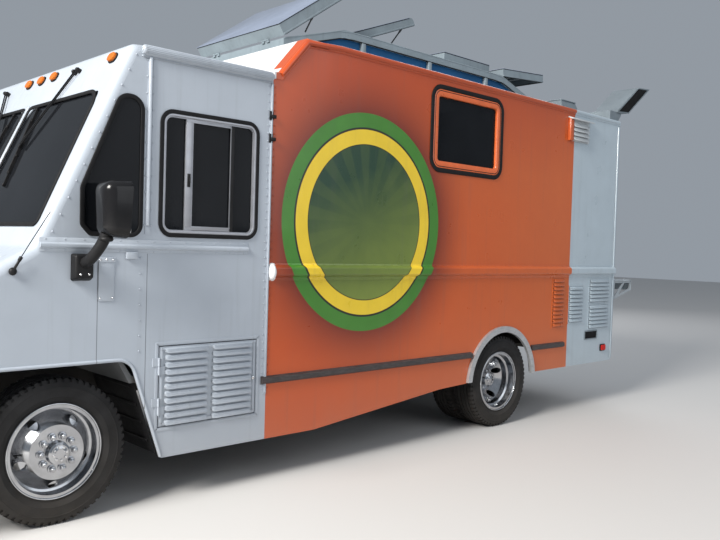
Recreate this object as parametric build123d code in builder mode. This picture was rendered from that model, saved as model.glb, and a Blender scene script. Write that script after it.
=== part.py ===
"""A step-van catering truck: ladder chassis, riveted cab, tall kitchen body and roof box with lids.

Millimetres. +X is forward, +Y is the driver's side, +Z is up, and the ground is z = 0. The drawing's
x = 0 is midway between the front bumper and the rear shelf, and finish() moves each piece by
FRAME_SHIFT_X, so that the frame's origin is the middle of the whole box.
"""

from build123d import *
from collections import namedtuple
from math import atan, cos, degrees, radians, sin, sqrt
import os

os.makedirs("parts", exist_ok=True)

# Driving dimensions
HALF_WIDTH = 1190
WALL = 40
FRONT_AXLE_X = 2750
WHEELBASE = 3990
REAR_AXLE_X = FRONT_AXLE_X - WHEELBASE
BUMPER_X = 3610
NOSE_X = 3490
CLIP_REAR_X = 2262
CAB_REAR_X = 1375
REAR_X = -3213
CAB_ROOF_Z = 2700
KITCHEN_ROOF_Z = 2978
FLOOR_Z = 780
FLOOR_THICKNESS = 40
SILL_Z = 280
TAIL_SKIRT_Z = 444

# Wheels: 225/70 tyres on 19.5 inch rims
TYRE_RADIUS = 405
TYRE_WIDTH = 226
RIM_FLANGE_RADIUS = 261
RIM_SEAT_RADIUS = 247
RIM_WIDTH = 178
FRONT_TYRE_Y = 1036
OUTER_TYRE_Y = 1076
INNER_TYRE_Y = 822
KINGPIN_Y = 900
STUD_CIRCLE_RADIUS = 92
HAND_HOLES = 5

# Frame rails
RAIL_Y = 390
RAIL_WIDTH = 76
RAIL_TOP_Z = FLOOR_Z - FLOOR_THICKNESS
RAIL_HEIGHT = 200
RAIL_BOTTOM_Z = RAIL_TOP_Z - RAIL_HEIGHT
RAIL_GAUGE = 8

# Front of the cab: the windscreen leans back, the hood slopes down
SCREEN_FOOT_X = 2890
SCREEN_FOOT_Z = 1575
SCREEN_LEAN = 0.46
HOOD_Z_AT_NOSE = 1184
COWL_X = 2914
COWL_Z = 1524

LEFT = 1
RIGHT = -1
FORWARD = 1
BACK = -1
HINGE_RADIUS = 6
SIDES = ((LEFT, "left"), (RIGHT, "right"))
FRAME_SHIFT_X = 136


def screen_x(z):
    """The X of the windscreen plane at a height."""
    return SCREEN_FOOT_X - SCREEN_LEAN * (z - SCREEN_FOOT_Z)


def side_plane(side, depth=0):
    """The XZ plane at a body side's outer face, or depth inside it; extruding goes inwards on the left."""
    return Plane.XZ.offset(-side * (HALF_WIDTH - depth))


def finish(part, name):
    """Moves a piece to the frame's origin, labels it and writes its STEP file."""
    placed = part.moved(Location((FRAME_SHIFT_X, 0, 0)))
    placed.label = name
    export_step(placed, f"parts/{name}.step")


def wall_amount(side, thickness=WALL):
    """The extrusion that carries a side sketch inwards by the wall's thickness."""
    return side * thickness


# Chassis frame: two channel rails and their crossmembers
RAIL_FRONT_X = 3440
RAIL_REAR_X = -3150
Crossmember = namedtuple("Crossmember", "x length bottom_z height")
CROSSMEMBERS = (
    Crossmember(3380, 90, RAIL_BOTTOM_Z + 20, 140),
    Crossmember(2860, 120, RAIL_BOTTOM_Z - 60, 40),
    Crossmember(2150, 70, RAIL_BOTTOM_Z + 30, 130),
    Crossmember(900, 70, RAIL_BOTTOM_Z + 30, 130),
    Crossmember(-400, 70, RAIL_BOTTOM_Z + 30, 130),
    Crossmember(-2080, 70, RAIL_BOTTOM_Z + 30, 130),
    Crossmember(-3100, 90, RAIL_BOTTOM_Z + 20, 140),
)
BOTH = (LEFT, RIGHT)
OUTRIGGERS = ((1900, (LEFT,)), (950, BOTH), (100, BOTH), (-2250, BOTH), (-3000, BOTH))
SPRING_SPAN = 620
HANGER_LENGTH = 70
FRONT_HANGER_DROP = 38
REAR_HANGER_DROP = 5

with BuildPart() as chassis_frame:
    for rail_side in (LEFT, RIGHT):
        with BuildSketch(Plane.YZ.offset(RAIL_REAR_X)):
            with Locations((rail_side * RAIL_Y, RAIL_TOP_Z - RAIL_HEIGHT / 2)):
                Rectangle(RAIL_WIDTH, RAIL_HEIGHT)
            with Locations((rail_side * (RAIL_Y - RAIL_GAUGE), RAIL_TOP_Z - RAIL_HEIGHT / 2)):
                Rectangle(RAIL_WIDTH, RAIL_HEIGHT - 2 * RAIL_GAUGE, mode=Mode.SUBTRACT)
        extrude(amount=RAIL_FRONT_X - RAIL_REAR_X)
    inner_width = 2 * (RAIL_Y + RAIL_WIDTH / 2 - RAIL_GAUGE)
    for member in CROSSMEMBERS:
        with Locations((member.x, 0, member.bottom_z + member.height / 2)):
            Box(member.length, inner_width, member.height)
    # The engine's dropped crossmember hangs from the rails by two cheeks
    with Locations(*[(2860, s * (RAIL_Y + 16), RAIL_BOTTOM_Z - 20) for s in (LEFT, RIGHT)]):
        Box(120, 44, 80)
    for axle_x, drop in ((FRONT_AXLE_X, FRONT_HANGER_DROP), (REAR_AXLE_X, REAR_HANGER_DROP)):
        for s in (LEFT, RIGHT):
            for end in (1, -1):
                with Locations((axle_x + end * SPRING_SPAN, s * RAIL_Y, RAIL_BOTTOM_Z - drop / 2)):
                    Box(HANGER_LENGTH, RAIL_WIDTH, drop)
    # Outriggers carry the body floor outside the rails, with none on the right where the step well is
    for outrigger_x, outrigger_sides in OUTRIGGERS:
        with BuildSketch(Plane.YZ.offset(outrigger_x)):
            for s in outrigger_sides:
                with BuildLine():
                    Polyline(
                        (s * (RAIL_Y + RAIL_WIDTH / 2), RAIL_TOP_Z),
                        (s * (HALF_WIDTH - WALL - 10), RAIL_TOP_Z),
                        (s * (HALF_WIDTH - WALL - 10), RAIL_TOP_Z - 50),
                        (s * (RAIL_Y + RAIL_WIDTH / 2), RAIL_TOP_Z - 150),
                        close=True,
                    )
                make_face()
        extrude(amount=8)
finish(chassis_frame.part, "chassis_frame")

# Engine: one block at its real place
ENGINE_X = 2830
ENGINE_LENGTH = 720
ENGINE_WIDTH = 520
ENGINE_BOTTOM_Z = RAIL_BOTTOM_Z - 20
ENGINE_HEIGHT = 620
with BuildPart() as engine_block:
    with Locations((ENGINE_X, 0, ENGINE_BOTTOM_Z + ENGINE_HEIGHT / 2)):
        Box(ENGINE_LENGTH, ENGINE_WIDTH, ENGINE_HEIGHT)
    chamfer(engine_block.edges().filter_by(Axis.X).group_by(Axis.Z)[-1], length=90)
finish(engine_block.part, "engine_block")

# Leaf springs: four packs, each an arc of stepped leaves
LEAF_WIDTH = 64
LEAF_THICKNESS = 15
LEAF_COUNT = 3


def spring_outline(axle_x, seat_z, end_rise):
    """Draws one pack of leaves in side view, longest leaf on top, each arched through its seat."""
    longest = SPRING_SPAN + HANGER_LENGTH / 2
    with BuildSketch() as outline:
        for leaf in range(LEAF_COUNT):
            half = longest - 150 * (LEAF_COUNT - 1 - leaf)
            low = seat_z + LEAF_THICKNESS * leaf
            rise = end_rise * (half / longest) ** 2
            with BuildLine():
                bottom = ThreePointArc(
                    (axle_x - half, low + rise), (axle_x, low), (axle_x + half, low + rise)
                )
                top = ThreePointArc(
                    (axle_x - half, low + rise + LEAF_THICKNESS),
                    (axle_x, low + LEAF_THICKNESS),
                    (axle_x + half, low + rise + LEAF_THICKNESS),
                )
                Line(bottom @ 0, top @ 0)
                Line(bottom @ 1, top @ 1)
            make_face()
    return outline.sketch


FRONT_BEAM_TOP_Z = 405
REAR_TUBE_RADIUS = 62
FRONT_SEAT_Z = FRONT_BEAM_TOP_Z
REAR_SEAT_Z = TYRE_RADIUS + REAR_TUBE_RADIUS
PACK_HEIGHT = LEAF_COUNT * LEAF_THICKNESS
FRONT_RISE = RAIL_BOTTOM_Z - FRONT_HANGER_DROP - PACK_HEIGHT - FRONT_SEAT_Z
REAR_RISE = RAIL_BOTTOM_Z - REAR_HANGER_DROP - PACK_HEIGHT - REAR_SEAT_Z
with BuildPart() as leaf_springs:
    for s in (LEFT, RIGHT):
        pack_plane = Plane.XZ.offset(-(s * RAIL_Y + LEAF_WIDTH / 2))
        with BuildSketch(pack_plane):
            add(spring_outline(FRONT_AXLE_X, FRONT_SEAT_Z, FRONT_RISE))
            add(spring_outline(REAR_AXLE_X, REAR_SEAT_Z, REAR_RISE))
        extrude(amount=LEAF_WIDTH)
finish(leaf_springs.part, "leaf_springs")

# Front axle: a dropped I-beam whose ends hold the kingpins
BEAM_LOW_Z = 335
BEAM_WIDTH = 90
EYE_RADIUS = 42
EYE_LOW_Z = 345
EYE_HIGH_Z = 465
KINGPIN_RADIUS = 18
with BuildPart() as front_axle:
    with BuildSketch(Plane.YZ.offset(FRONT_AXLE_X - BEAM_WIDTH / 2)):
        with BuildLine():
            Polyline(
                (-KINGPIN_Y, EYE_LOW_Z + 10),
                (-600, BEAM_LOW_Z - 10),
                (600, BEAM_LOW_Z - 10),
                (KINGPIN_Y, EYE_LOW_Z + 10),
                (KINGPIN_Y, EYE_HIGH_Z - 20),
                (600, FRONT_BEAM_TOP_Z),
                (-600, FRONT_BEAM_TOP_Z),
                (-KINGPIN_Y, EYE_HIGH_Z - 20),
                close=True,
            )
        make_face()
    extrude(amount=BEAM_WIDTH)
    with BuildSketch(Plane.XZ.offset(-600)):
        for web_side in (1, -1):
            with Locations((FRONT_AXLE_X + web_side * 34, (BEAM_LOW_Z - 10 + FRONT_BEAM_TOP_Z) / 2)):
                Rectangle(44, 44)
    extrude(amount=1200, mode=Mode.SUBTRACT)
    for s in (LEFT, RIGHT):
        with Locations((FRONT_AXLE_X, s * KINGPIN_Y, (EYE_LOW_Z + EYE_HIGH_Z) / 2)):
            Cylinder(EYE_RADIUS, EYE_HIGH_Z - EYE_LOW_Z)
            Cylinder(KINGPIN_RADIUS + 1, EYE_HIGH_Z - EYE_LOW_Z, mode=Mode.SUBTRACT)
finish(front_axle.part, "front_axle")

# Steering knuckles: a fork on the kingpin, the spindle, the brake drum's back plate and the steering arm
FORK_GAP = 3
FORK_THICKNESS = 26
SPINDLE_RADIUS = 30
DRUM_INNER_Y = FRONT_TYRE_Y - 26
SPINDLE_END_Y = 1120
for s, side_name in SIDES:
    with BuildPart() as knuckle:
        with Locations((FRONT_AXLE_X, s * KINGPIN_Y, (EYE_LOW_Z + EYE_HIGH_Z) / 2)):
            Cylinder(KINGPIN_RADIUS, EYE_HIGH_Z - EYE_LOW_Z + 2 * (FORK_GAP + FORK_THICKNESS))
        fork_reach = FORK_GAP + FORK_THICKNESS / 2
        for fork_z in (EYE_LOW_Z - fork_reach, EYE_HIGH_Z + fork_reach):
            with Locations((FRONT_AXLE_X, s * KINGPIN_Y, fork_z)):
                Cylinder(EYE_RADIUS, FORK_THICKNESS)
            with Locations((FRONT_AXLE_X, s * (KINGPIN_Y + 40), fork_z)):
                Box(2 * EYE_RADIUS, 80, FORK_THICKNESS)
        with Locations((FRONT_AXLE_X, s * (KINGPIN_Y + 70), TYRE_RADIUS)):
            Box(90, 34, EYE_HIGH_Z - EYE_LOW_Z + 2 * (FORK_GAP + FORK_THICKNESS))
        with BuildSketch(Plane.XZ.offset(-s * (KINGPIN_Y + 60))):
            with Locations((FRONT_AXLE_X, TYRE_RADIUS)):
                Circle(SPINDLE_RADIUS)
        extrude(amount=-s * (SPINDLE_END_Y - KINGPIN_Y - 60))
        with Locations((FRONT_AXLE_X - 110, s * (KINGPIN_Y + 18), EYE_LOW_Z - fork_reach)):
            Box(240, 36, FORK_THICKNESS)
    finish(knuckle.part, f"steering_knuckle_{side_name}")


# Wheels: a pressed rim with a dished disc, five hand holes, a hub and its brake drum
def rim_outline(centre_y):
    """Draws one rim's section as (y, radius): two flanges and a drop well."""
    half = RIM_WIDTH / 2
    seat = RIM_SEAT_RADIUS
    flange = RIM_FLANGE_RADIUS
    with BuildSketch() as outline:
        with BuildLine():
            Polyline(
                (centre_y - half, flange),
                (centre_y - half + 8, flange),
                (centre_y - half + 10, seat),
                (centre_y - 30, seat - 5),
                (centre_y - 22, seat - 22),
                (centre_y + 22, seat - 22),
                (centre_y + 30, seat - 5),
                (centre_y + half - 10, seat),
                (centre_y + half - 8, flange),
                (centre_y + half, flange),
                (centre_y + half, seat - 8),
                (centre_y + 34, seat - 14),
                (centre_y + 26, seat - 32),
                (centre_y - 26, seat - 32),
                (centre_y - 34, seat - 14),
                (centre_y - half, seat - 8),
                close=True,
            )
        make_face()
    return outline.sketch


def disc_outline(rim_y, rim_radius, face_y, bore_radius, lean):
    """Draws the disc's section: a flat centre at face_y and a cone out to the rim."""
    thick = 12
    turn = 150
    with BuildSketch() as outline:
        with BuildLine():
            Polyline(
                (face_y, bore_radius),
                (face_y, turn),
                (rim_y, rim_radius),
                (rim_y - lean * thick, rim_radius),
                (face_y - lean * thick, turn - 8),
                (face_y - lean * thick, bore_radius),
                close=True,
            )
        make_face()
    return outline.sketch


HAND_HOLE_RADIUS = 27
HAND_HOLE_CIRCLE = 186
FRONT_FACE_Y = 1150
HUB_BORE = 62
for s, side_name in SIDES:
    with BuildPart() as front_wheel:
        with BuildSketch(Plane.YZ):
            add(rim_outline(FRONT_TYRE_Y))
            add(disc_outline(FRONT_TYRE_Y + 30, RIM_SEAT_RADIUS - 27, FRONT_FACE_Y, HUB_BORE, 1))
        revolve(axis=Axis.Y)
        with BuildSketch(Plane.XZ.offset(-(FRONT_FACE_Y + 40))):
            with PolarLocations(HAND_HOLE_CIRCLE, HAND_HOLES, start_angle=90 + 36):
                Circle(HAND_HOLE_RADIUS)
        extrude(amount=150, mode=Mode.SUBTRACT)
        # Hub and drum behind the disc, bored for the spindle
        with BuildSketch(Plane.YZ):
            with BuildLine():
                Polyline(
                    (DRUM_INNER_Y, 190),
                    (FRONT_FACE_Y - 60, 190),
                    (FRONT_FACE_Y - 40, 120),
                    (FRONT_FACE_Y - 8, 120),
                    (FRONT_FACE_Y - 8, 67),
                    (FRONT_FACE_Y + 34, 60),
                    (FRONT_FACE_Y + 42, 48),
                    (FRONT_FACE_Y + 42, 0),
                    (SPINDLE_END_Y + 3, 0),
                    (SPINDLE_END_Y + 3, SPINDLE_RADIUS + 1),
                    (FRONT_FACE_Y - 80, SPINDLE_RADIUS + 1),
                    (FRONT_FACE_Y - 80, 180),
                    (DRUM_INNER_Y, 180),
                    close=True,
                )
            make_face()
        revolve(axis=Axis.Y)
        with BuildSketch(Plane.XZ.offset(-(FRONT_FACE_Y - 4))):
            with PolarLocations(STUD_CIRCLE_RADIUS, 10):
                Circle(13)
        extrude(amount=-26)
    placed = front_wheel.part if s == LEFT else front_wheel.part.mirror(Plane.XZ)
    finish(Pos(FRONT_AXLE_X, 0, TYRE_RADIUS) * placed, f"front_wheel_{side_name}")

DUAL_FACE_Y = (OUTER_TYRE_Y + INNER_TYRE_Y) / 2
for s, side_name in SIDES:
    with BuildPart() as rear_wheels:
        with BuildSketch(Plane.YZ):
            add(rim_outline(OUTER_TYRE_Y))
            add(rim_outline(INNER_TYRE_Y))
            add(disc_outline(OUTER_TYRE_Y - 20, RIM_SEAT_RADIUS - 27, DUAL_FACE_Y + 10, HUB_BORE, 1))
            add(disc_outline(INNER_TYRE_Y + 20, RIM_SEAT_RADIUS - 27, DUAL_FACE_Y - 10, HUB_BORE, -1))
        revolve(axis=Axis.Y)
        with BuildSketch(Plane.XZ.offset(-OUTER_TYRE_Y)):
            with PolarLocations(HAND_HOLE_CIRCLE, HAND_HOLES, start_angle=90):
                Circle(HAND_HOLE_RADIUS)
        extrude(amount=OUTER_TYRE_Y - INNER_TYRE_Y, mode=Mode.SUBTRACT)
        with BuildSketch(Plane.YZ):
            with BuildLine():
                Polyline(
                    (INNER_TYRE_Y - 60, 190),
                    (DUAL_FACE_Y - 50, 190),
                    (DUAL_FACE_Y - 40, 110),
                    (DUAL_FACE_Y + 12, 110),
                    (DUAL_FACE_Y + 12, 72),
                    (DUAL_FACE_Y + 120, 66),
                    (DUAL_FACE_Y + 132, 52),
                    (DUAL_FACE_Y + 132, 0),
                    (DUAL_FACE_Y + 40, 0),
                    (DUAL_FACE_Y + 40, 46),
                    (DUAL_FACE_Y - 70, 46),
                    (DUAL_FACE_Y - 70, 180),
                    (INNER_TYRE_Y - 60, 180),
                    close=True,
                )
            make_face()
        revolve(axis=Axis.Y)
        with BuildSketch(Plane.XZ.offset(-(DUAL_FACE_Y + 8))):
            with PolarLocations(STUD_CIRCLE_RADIUS, 10):
                Circle(13)
        extrude(amount=-28)
    placed = rear_wheels.part if s == LEFT else rear_wheels.part.mirror(Plane.XZ)
    finish(Pos(REAR_AXLE_X, 0, TYRE_RADIUS) * placed, f"rear_wheels_{side_name}")


def tyre_outline(centre_y):
    """Draws a tyre's section as (y, radius): beads, bulged walls and a flat tread with round shoulders."""
    half = TYRE_WIDTH / 2
    bead = RIM_WIDTH / 2 - 12
    bead_radius = RIM_SEAT_RADIUS + 2
    for_wall = RIM_FLANGE_RADIUS + 12
    tread_half = half - 20
    with BuildSketch() as outline:
        with BuildLine():
            Polyline(
                (centre_y + bead, for_wall),
                (centre_y + bead, bead_radius),
                (centre_y - bead, bead_radius),
            )
            Line((centre_y - bead, bead_radius), (centre_y - bead, for_wall))
            ThreePointArc(
                (centre_y - bead, for_wall),
                (centre_y - half, 330),
                (centre_y - tread_half - 6, TYRE_RADIUS - 12),
            )
            Polyline(
                (centre_y - tread_half - 6, TYRE_RADIUS - 12),
                (centre_y - tread_half + 6, TYRE_RADIUS - 2),
                (centre_y - 45, TYRE_RADIUS),
                (centre_y + 45, TYRE_RADIUS),
                (centre_y + tread_half - 6, TYRE_RADIUS - 2),
                (centre_y + tread_half + 6, TYRE_RADIUS - 12),
            )
            ThreePointArc(
                (centre_y + tread_half + 6, TYRE_RADIUS - 12),
                (centre_y + half, 330),
                (centre_y + bead, for_wall),
            )
        make_face()
    return outline.sketch


for axle_x, tyre_name, centres in (
    (FRONT_AXLE_X, "front_tyre", (FRONT_TYRE_Y,)),
    (REAR_AXLE_X, "rear_tyres", (OUTER_TYRE_Y, INNER_TYRE_Y)),
):
    for s, side_name in SIDES:
        with BuildPart() as tyre:
            with BuildSketch(Plane.YZ):
                for centre in centres:
                    add(tyre_outline(centre))
            revolve(axis=Axis.Y)
        placed = tyre.part if s == LEFT else tyre.part.mirror(Plane.XZ)
        finish(Pos(axle_x, 0, TYRE_RADIUS) * placed, f"{tyre_name}_{side_name}")

# Rear axle: tubes, differential, stub ends, spring seats and the drive shaft
AXLE_END_Y = INNER_TYRE_Y - 75
HUB_STUB_RADIUS = 44
with BuildPart() as rear_axle:
    with BuildSketch(Plane.XZ.offset(-AXLE_END_Y)):
        with Locations((REAR_AXLE_X, TYRE_RADIUS)):
            Circle(REAR_TUBE_RADIUS)
    extrude(amount=2 * AXLE_END_Y)
    with BuildSketch(Plane.XZ.offset(-(DUAL_FACE_Y + 30))):
        with Locations((REAR_AXLE_X, TYRE_RADIUS)):
            Circle(HUB_STUB_RADIUS)
    extrude(amount=2 * (DUAL_FACE_Y + 30))
    with Locations((REAR_AXLE_X, 0, TYRE_RADIUS)):
        Sphere(190)
        with Locations((150, 0, 0)):
            Cylinder(70, 180, rotation=(0, 90, 0))
    with Locations((900, 0, 500)):
        Box(60, 110, 140)
    with BuildLine():
        shaft_line = Line((REAR_AXLE_X + 200, 0, TYRE_RADIUS), (2455, 0, 512))
    with BuildSketch(Plane(origin=shaft_line @ 0, z_dir=shaft_line % 0)):
        Circle(38)
    sweep(path=shaft_line)
finish(rear_axle.part, "rear_axle")

# Fuel tank on the left rail
with BuildPart() as fuel_tank:
    with Locations((525, RAIL_Y + RAIL_WIDTH / 2 + 225, 555)):
        Box(650, 450, 250)
    fillet(fuel_tank.edges().filter_by(Axis.X), radius=55)
finish(fuel_tank.part, "fuel_tank")

# Exhaust on the right: down pipe, silencer and a side outlet ahead of the rear wheels
EXHAUST_Y = -540
EXHAUST_Z = 470
with BuildPart() as exhaust:
    with BuildLine() as pipe_line:
        FilletPolyline(
            (2500, -ENGINE_WIDTH / 2 - 42, 600),
            (2300, -ENGINE_WIDTH / 2 - 42, EXHAUST_Z),
            (1950, -ENGINE_WIDTH / 2 - 42, EXHAUST_Z),
            (1700, EXHAUST_Y, EXHAUST_Z),
            (-520, EXHAUST_Y, EXHAUST_Z),
            (-620, -1110, EXHAUST_Z - 60),
            radius=90,
        )
    with BuildSketch(Plane(origin=pipe_line.line @ 0, z_dir=pipe_line.line % 0)):
        Circle(30)
    sweep(path=pipe_line.line)
    with BuildSketch(Plane.YZ.offset(200)):
        with Locations((EXHAUST_Y, EXHAUST_Z)):
            Ellipse(130, 85)
    extrude(amount=850)
    # Hangers up to the right rail
    for hanger_x in (1400, 1120, -300):
        with Locations((hanger_x, EXHAUST_Y + 51, 560)):
            Box(30, 122, 16)
        with Locations((hanger_x, EXHAUST_Y, 520)):
            Box(30, 20, 96)
finish(exhaust.part, "exhaust")

# Floor with rear wheel boxes and the entry step well
FLOOR_FRONT_X = 2320
FLOOR_REAR_X = REAR_X + WALL
BODY_INNER = HALF_WIDTH - WALL
WHEEL_BOX_HALF = 510
WHEEL_BOX_INNER_Y = 680
WHEEL_BOX_TOP_Z = 930
SHEET = 20
STEP_FRONT_X = 2132
STEP_REAR_X = 1448
STEP_INNER_Y = -760
STEP_Z = 380
with BuildPart() as floor:
    with BuildSketch(Plane.XY.offset(FLOOR_Z - FLOOR_THICKNESS)):
        with Locations(((FLOOR_FRONT_X + FLOOR_REAR_X) / 2, 0)):
            Rectangle(FLOOR_FRONT_X - FLOOR_REAR_X, 2 * BODY_INNER)
        with Locations(*[(REAR_AXLE_X, s * (WHEEL_BOX_INNER_Y + BODY_INNER) / 2) for s in (LEFT, RIGHT)]):
            Rectangle(2 * WHEEL_BOX_HALF, BODY_INNER - WHEEL_BOX_INNER_Y, mode=Mode.SUBTRACT)
        with Locations(((STEP_FRONT_X + STEP_REAR_X) / 2, (STEP_INNER_Y - BODY_INNER) / 2)):
            Rectangle(STEP_FRONT_X - STEP_REAR_X, BODY_INNER + STEP_INNER_Y, mode=Mode.SUBTRACT)
    extrude(amount=FLOOR_THICKNESS)
    box_height = WHEEL_BOX_TOP_Z - FLOOR_Z + FLOOR_THICKNESS
    for s in (LEFT, RIGHT):
        box_z = WHEEL_BOX_TOP_Z - box_height / 2
        with Locations((REAR_AXLE_X, s * (WHEEL_BOX_INNER_Y + BODY_INNER) / 2, box_z)):
            Box(2 * WHEEL_BOX_HALF, BODY_INNER - WHEEL_BOX_INNER_Y, box_height)
        with Locations((REAR_AXLE_X, s * (WHEEL_BOX_INNER_Y + SHEET + BODY_INNER) / 2, box_z - SHEET)):
            Box(
                2 * (WHEEL_BOX_HALF - SHEET),
                BODY_INNER - WHEEL_BOX_INNER_Y - SHEET,
                box_height,
                mode=Mode.SUBTRACT,
            )
    step_depth = FLOOR_Z - STEP_Z
    step_x = (STEP_FRONT_X + STEP_REAR_X) / 2
    step_y = (STEP_INNER_Y - BODY_INNER) / 2
    with Locations((step_x, step_y, FLOOR_Z - step_depth / 2)):
        Box(STEP_FRONT_X - STEP_REAR_X, BODY_INNER + STEP_INNER_Y, step_depth)
    with Locations((step_x, step_y - SHEET / 2, FLOOR_Z + SHEET - step_depth / 2)):
        Box(
            STEP_FRONT_X - STEP_REAR_X - 2 * SHEET,
            BODY_INNER + STEP_INNER_Y - SHEET,
            step_depth,
            mode=Mode.SUBTRACT,
        )
finish(floor.part, "floor")

# Toe board: the cab floor's rise over the front wheels and the firewall up to the cowl
TUNNEL_HALF = 340
with BuildPart() as toe_board:
    with BuildSketch(Plane.XZ.offset(-BODY_INNER)):
        with BuildLine():
            Polyline(
                (FLOOR_FRONT_X, FLOOR_Z),
                (2430, 950),
                (2860, 950),
                (2860, 1470),
                (2880, 1470),
                (2880, 930),
                (2442, 930),
                (2332, FLOOR_Z - FLOOR_THICKNESS),
                (FLOOR_FRONT_X, FLOOR_Z - FLOOR_THICKNESS),
                close=True,
            )
        make_face()
    extrude(amount=2 * BODY_INNER)
    with Locations((2600, 0, 950)):
        Box(600, 2 * TUNNEL_HALF, 560, mode=Mode.SUBTRACT)
finish(toe_board.part, "toe_board")

# Engine cover: the doghouse in the cab, open below and ahead
COVER_REAR_X = 2140
COVER_TOP_Z = 1230
with BuildPart() as engine_cover:
    with BuildSketch(Plane.XZ.offset(-TUNNEL_HALF)):
        with BuildLine():
            Polyline(
                (COVER_REAR_X, FLOOR_Z),
                (COVER_REAR_X + 60, COVER_TOP_Z - 60),
                (COVER_REAR_X + 130, COVER_TOP_Z),
                (2880, COVER_TOP_Z),
                (2880, FLOOR_Z - FLOOR_THICKNESS),
                (FLOOR_FRONT_X, FLOOR_Z - FLOOR_THICKNESS),
                (FLOOR_FRONT_X, FLOOR_Z),
                close=True,
            )
        make_face()
    extrude(amount=2 * TUNNEL_HALF)
    with BuildSketch(Plane.XZ.offset(-TUNNEL_HALF + SHEET)):
        with BuildLine():
            Polyline(
                (COVER_REAR_X + SHEET + 4, FLOOR_Z - 60),
                (COVER_REAR_X + 60 + SHEET, COVER_TOP_Z - 60 - 8),
                (COVER_REAR_X + 130 + 8, COVER_TOP_Z - SHEET),
                (2900, COVER_TOP_Z - SHEET),
                (2900, FLOOR_Z - 60),
                close=True,
            )
        make_face()
    extrude(amount=2 * (TUNNEL_HALF - SHEET), mode=Mode.SUBTRACT)
finish(engine_cover.part, "engine_cover")

# Front clip: nose, cowl, pillars and header in one shell with rounded edges, open below and behind
CLIP_BOTTOM_Z = 600
EDGE_RADIUS = 55
SLANT_FOOT = (2130, 257)
ARCH_REAR_X = 2344
ARCH_FRONT_X = 3200
ARCH_TOP_Z = 887
ARCH_RADIUS = 115
HEADER_X = screen_x(2690)
GRILLE_HALF = 480
GRILLE_LOW_Z = 770
GRILLE_HIGH_Z = 1070
HEADLAMP_Y = 800
HEADLAMP_Z = 950
HEADLAMP_RADIUS = 92
HOOD_HALF = 520
HOOD_REAR_X = 2990
HOOD_FRONT_X = 3405
HOOD_SLOPE = (COWL_Z - HOOD_Z_AT_NOSE) / (NOSE_X - COWL_X)


def arch_outline():
    """Draws the front wheel opening in side view: flat top, round corners and a slanted rear edge."""
    with BuildSketch() as outline:
        with BuildLine():
            Polyline(
                SLANT_FOOT,
                (ARCH_REAR_X, ARCH_TOP_Z),
                (ARCH_FRONT_X, ARCH_TOP_Z),
                (3300, CLIP_BOTTOM_Z - 30),
                (3300, 200),
                (2150, 200),
                close=True,
            )
        make_face()
        fillet(outline.vertices().group_by(Axis.Y)[-1], radius=ARCH_RADIUS)
    return outline.sketch


def quarter_outline(grow=0):
    """Draws the quarter window: a leaning front edge and round corners."""
    with BuildSketch() as outline:
        with BuildLine():
            Polyline(
                (2310, 1605),
                (2310, 2363),
                (2416, 2363),
                (2651, 1853),
                (2651, 1650),
                (2606, 1605),
                close=True,
            )
        make_face()
        fillet(outline.vertices().group_by(Axis.Y)[-1], radius=44)
        fillet(outline.vertices().group_by(Axis.Y)[0].sort_by(Axis.X)[0], radius=44)
        if grow:
            offset(amount=grow)
    return outline.sketch


SCREEN_LENGTH = sqrt(1 + SCREEN_LEAN**2)
SCREEN_PLANE = Plane(
    origin=(SCREEN_FOOT_X, 0, SCREEN_FOOT_Z), x_dir=(0, 1, 0), z_dir=(1, 0, SCREEN_LEAN)
)
PANE_LOW = (1640 - SCREEN_FOOT_Z) * SCREEN_LENGTH
PANE_HIGH = (2418 - SCREEN_FOOT_Z) * SCREEN_LENGTH
POST_HALF = 42
PANE_FOOT_Y = 1095
PANE_HEAD_Y = 1055


def screen_outline(side, grow=0):
    """Draws one windscreen pane in the screen plane, as (y, distance up the slope)."""
    with BuildSketch() as outline:
        with BuildLine():
            Polyline(
                (side * POST_HALF, PANE_LOW),
                (side * PANE_FOOT_Y, PANE_LOW),
                (side * PANE_HEAD_Y, PANE_HIGH),
                (side * POST_HALF, PANE_HIGH),
                close=True,
            )
        make_face()
        fillet(outline.vertices().group_by(Axis.Y)[0], radius=35)
        tops = outline.vertices().group_by(Axis.Y)[-1].sort_by(Axis.X)
        fillet(tops[0] if side == LEFT else tops[-1], radius=110)
        tops = outline.vertices().group_by(Axis.Y)[-1].sort_by(Axis.X)
        fillet(tops[-1] if side == LEFT else tops[0], radius=35)
        if grow:
            offset(amount=grow)
    return outline.sketch


HOOD_HINGE_X = HOOD_REAR_X + 3
HOOD_HINGE_OUT = 8
HOOD_HINGES_Y = (-330, 330)
HOOD_DEG = degrees(atan(HOOD_SLOPE))


def hood_z(x, depth=0):
    """The height of the hood slope at X, or of a parallel surface below it."""
    return HOOD_Z_AT_NOSE + HOOD_SLOPE * (NOSE_X - x) - depth * sqrt(1 + HOOD_SLOPE**2)


def hood_barrels(way):
    """Adds the hood's hinge barrels, each with a leaf forward or back on the slope."""
    hinge_z = hood_z(HOOD_HINGE_X) + HOOD_HINGE_OUT
    for hinge_y in HOOD_HINGES_Y:
        place = Location((HOOD_HINGE_X, hinge_y + way * 21, hinge_z), (0, HOOD_DEG, 0))
        with Locations(place):
            Cylinder(HINGE_RADIUS, 40, rotation=(90, 0, 0))
        with Locations(place * Location((way * 20, 0, -5))):
            Box(32, 40, 4)


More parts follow.
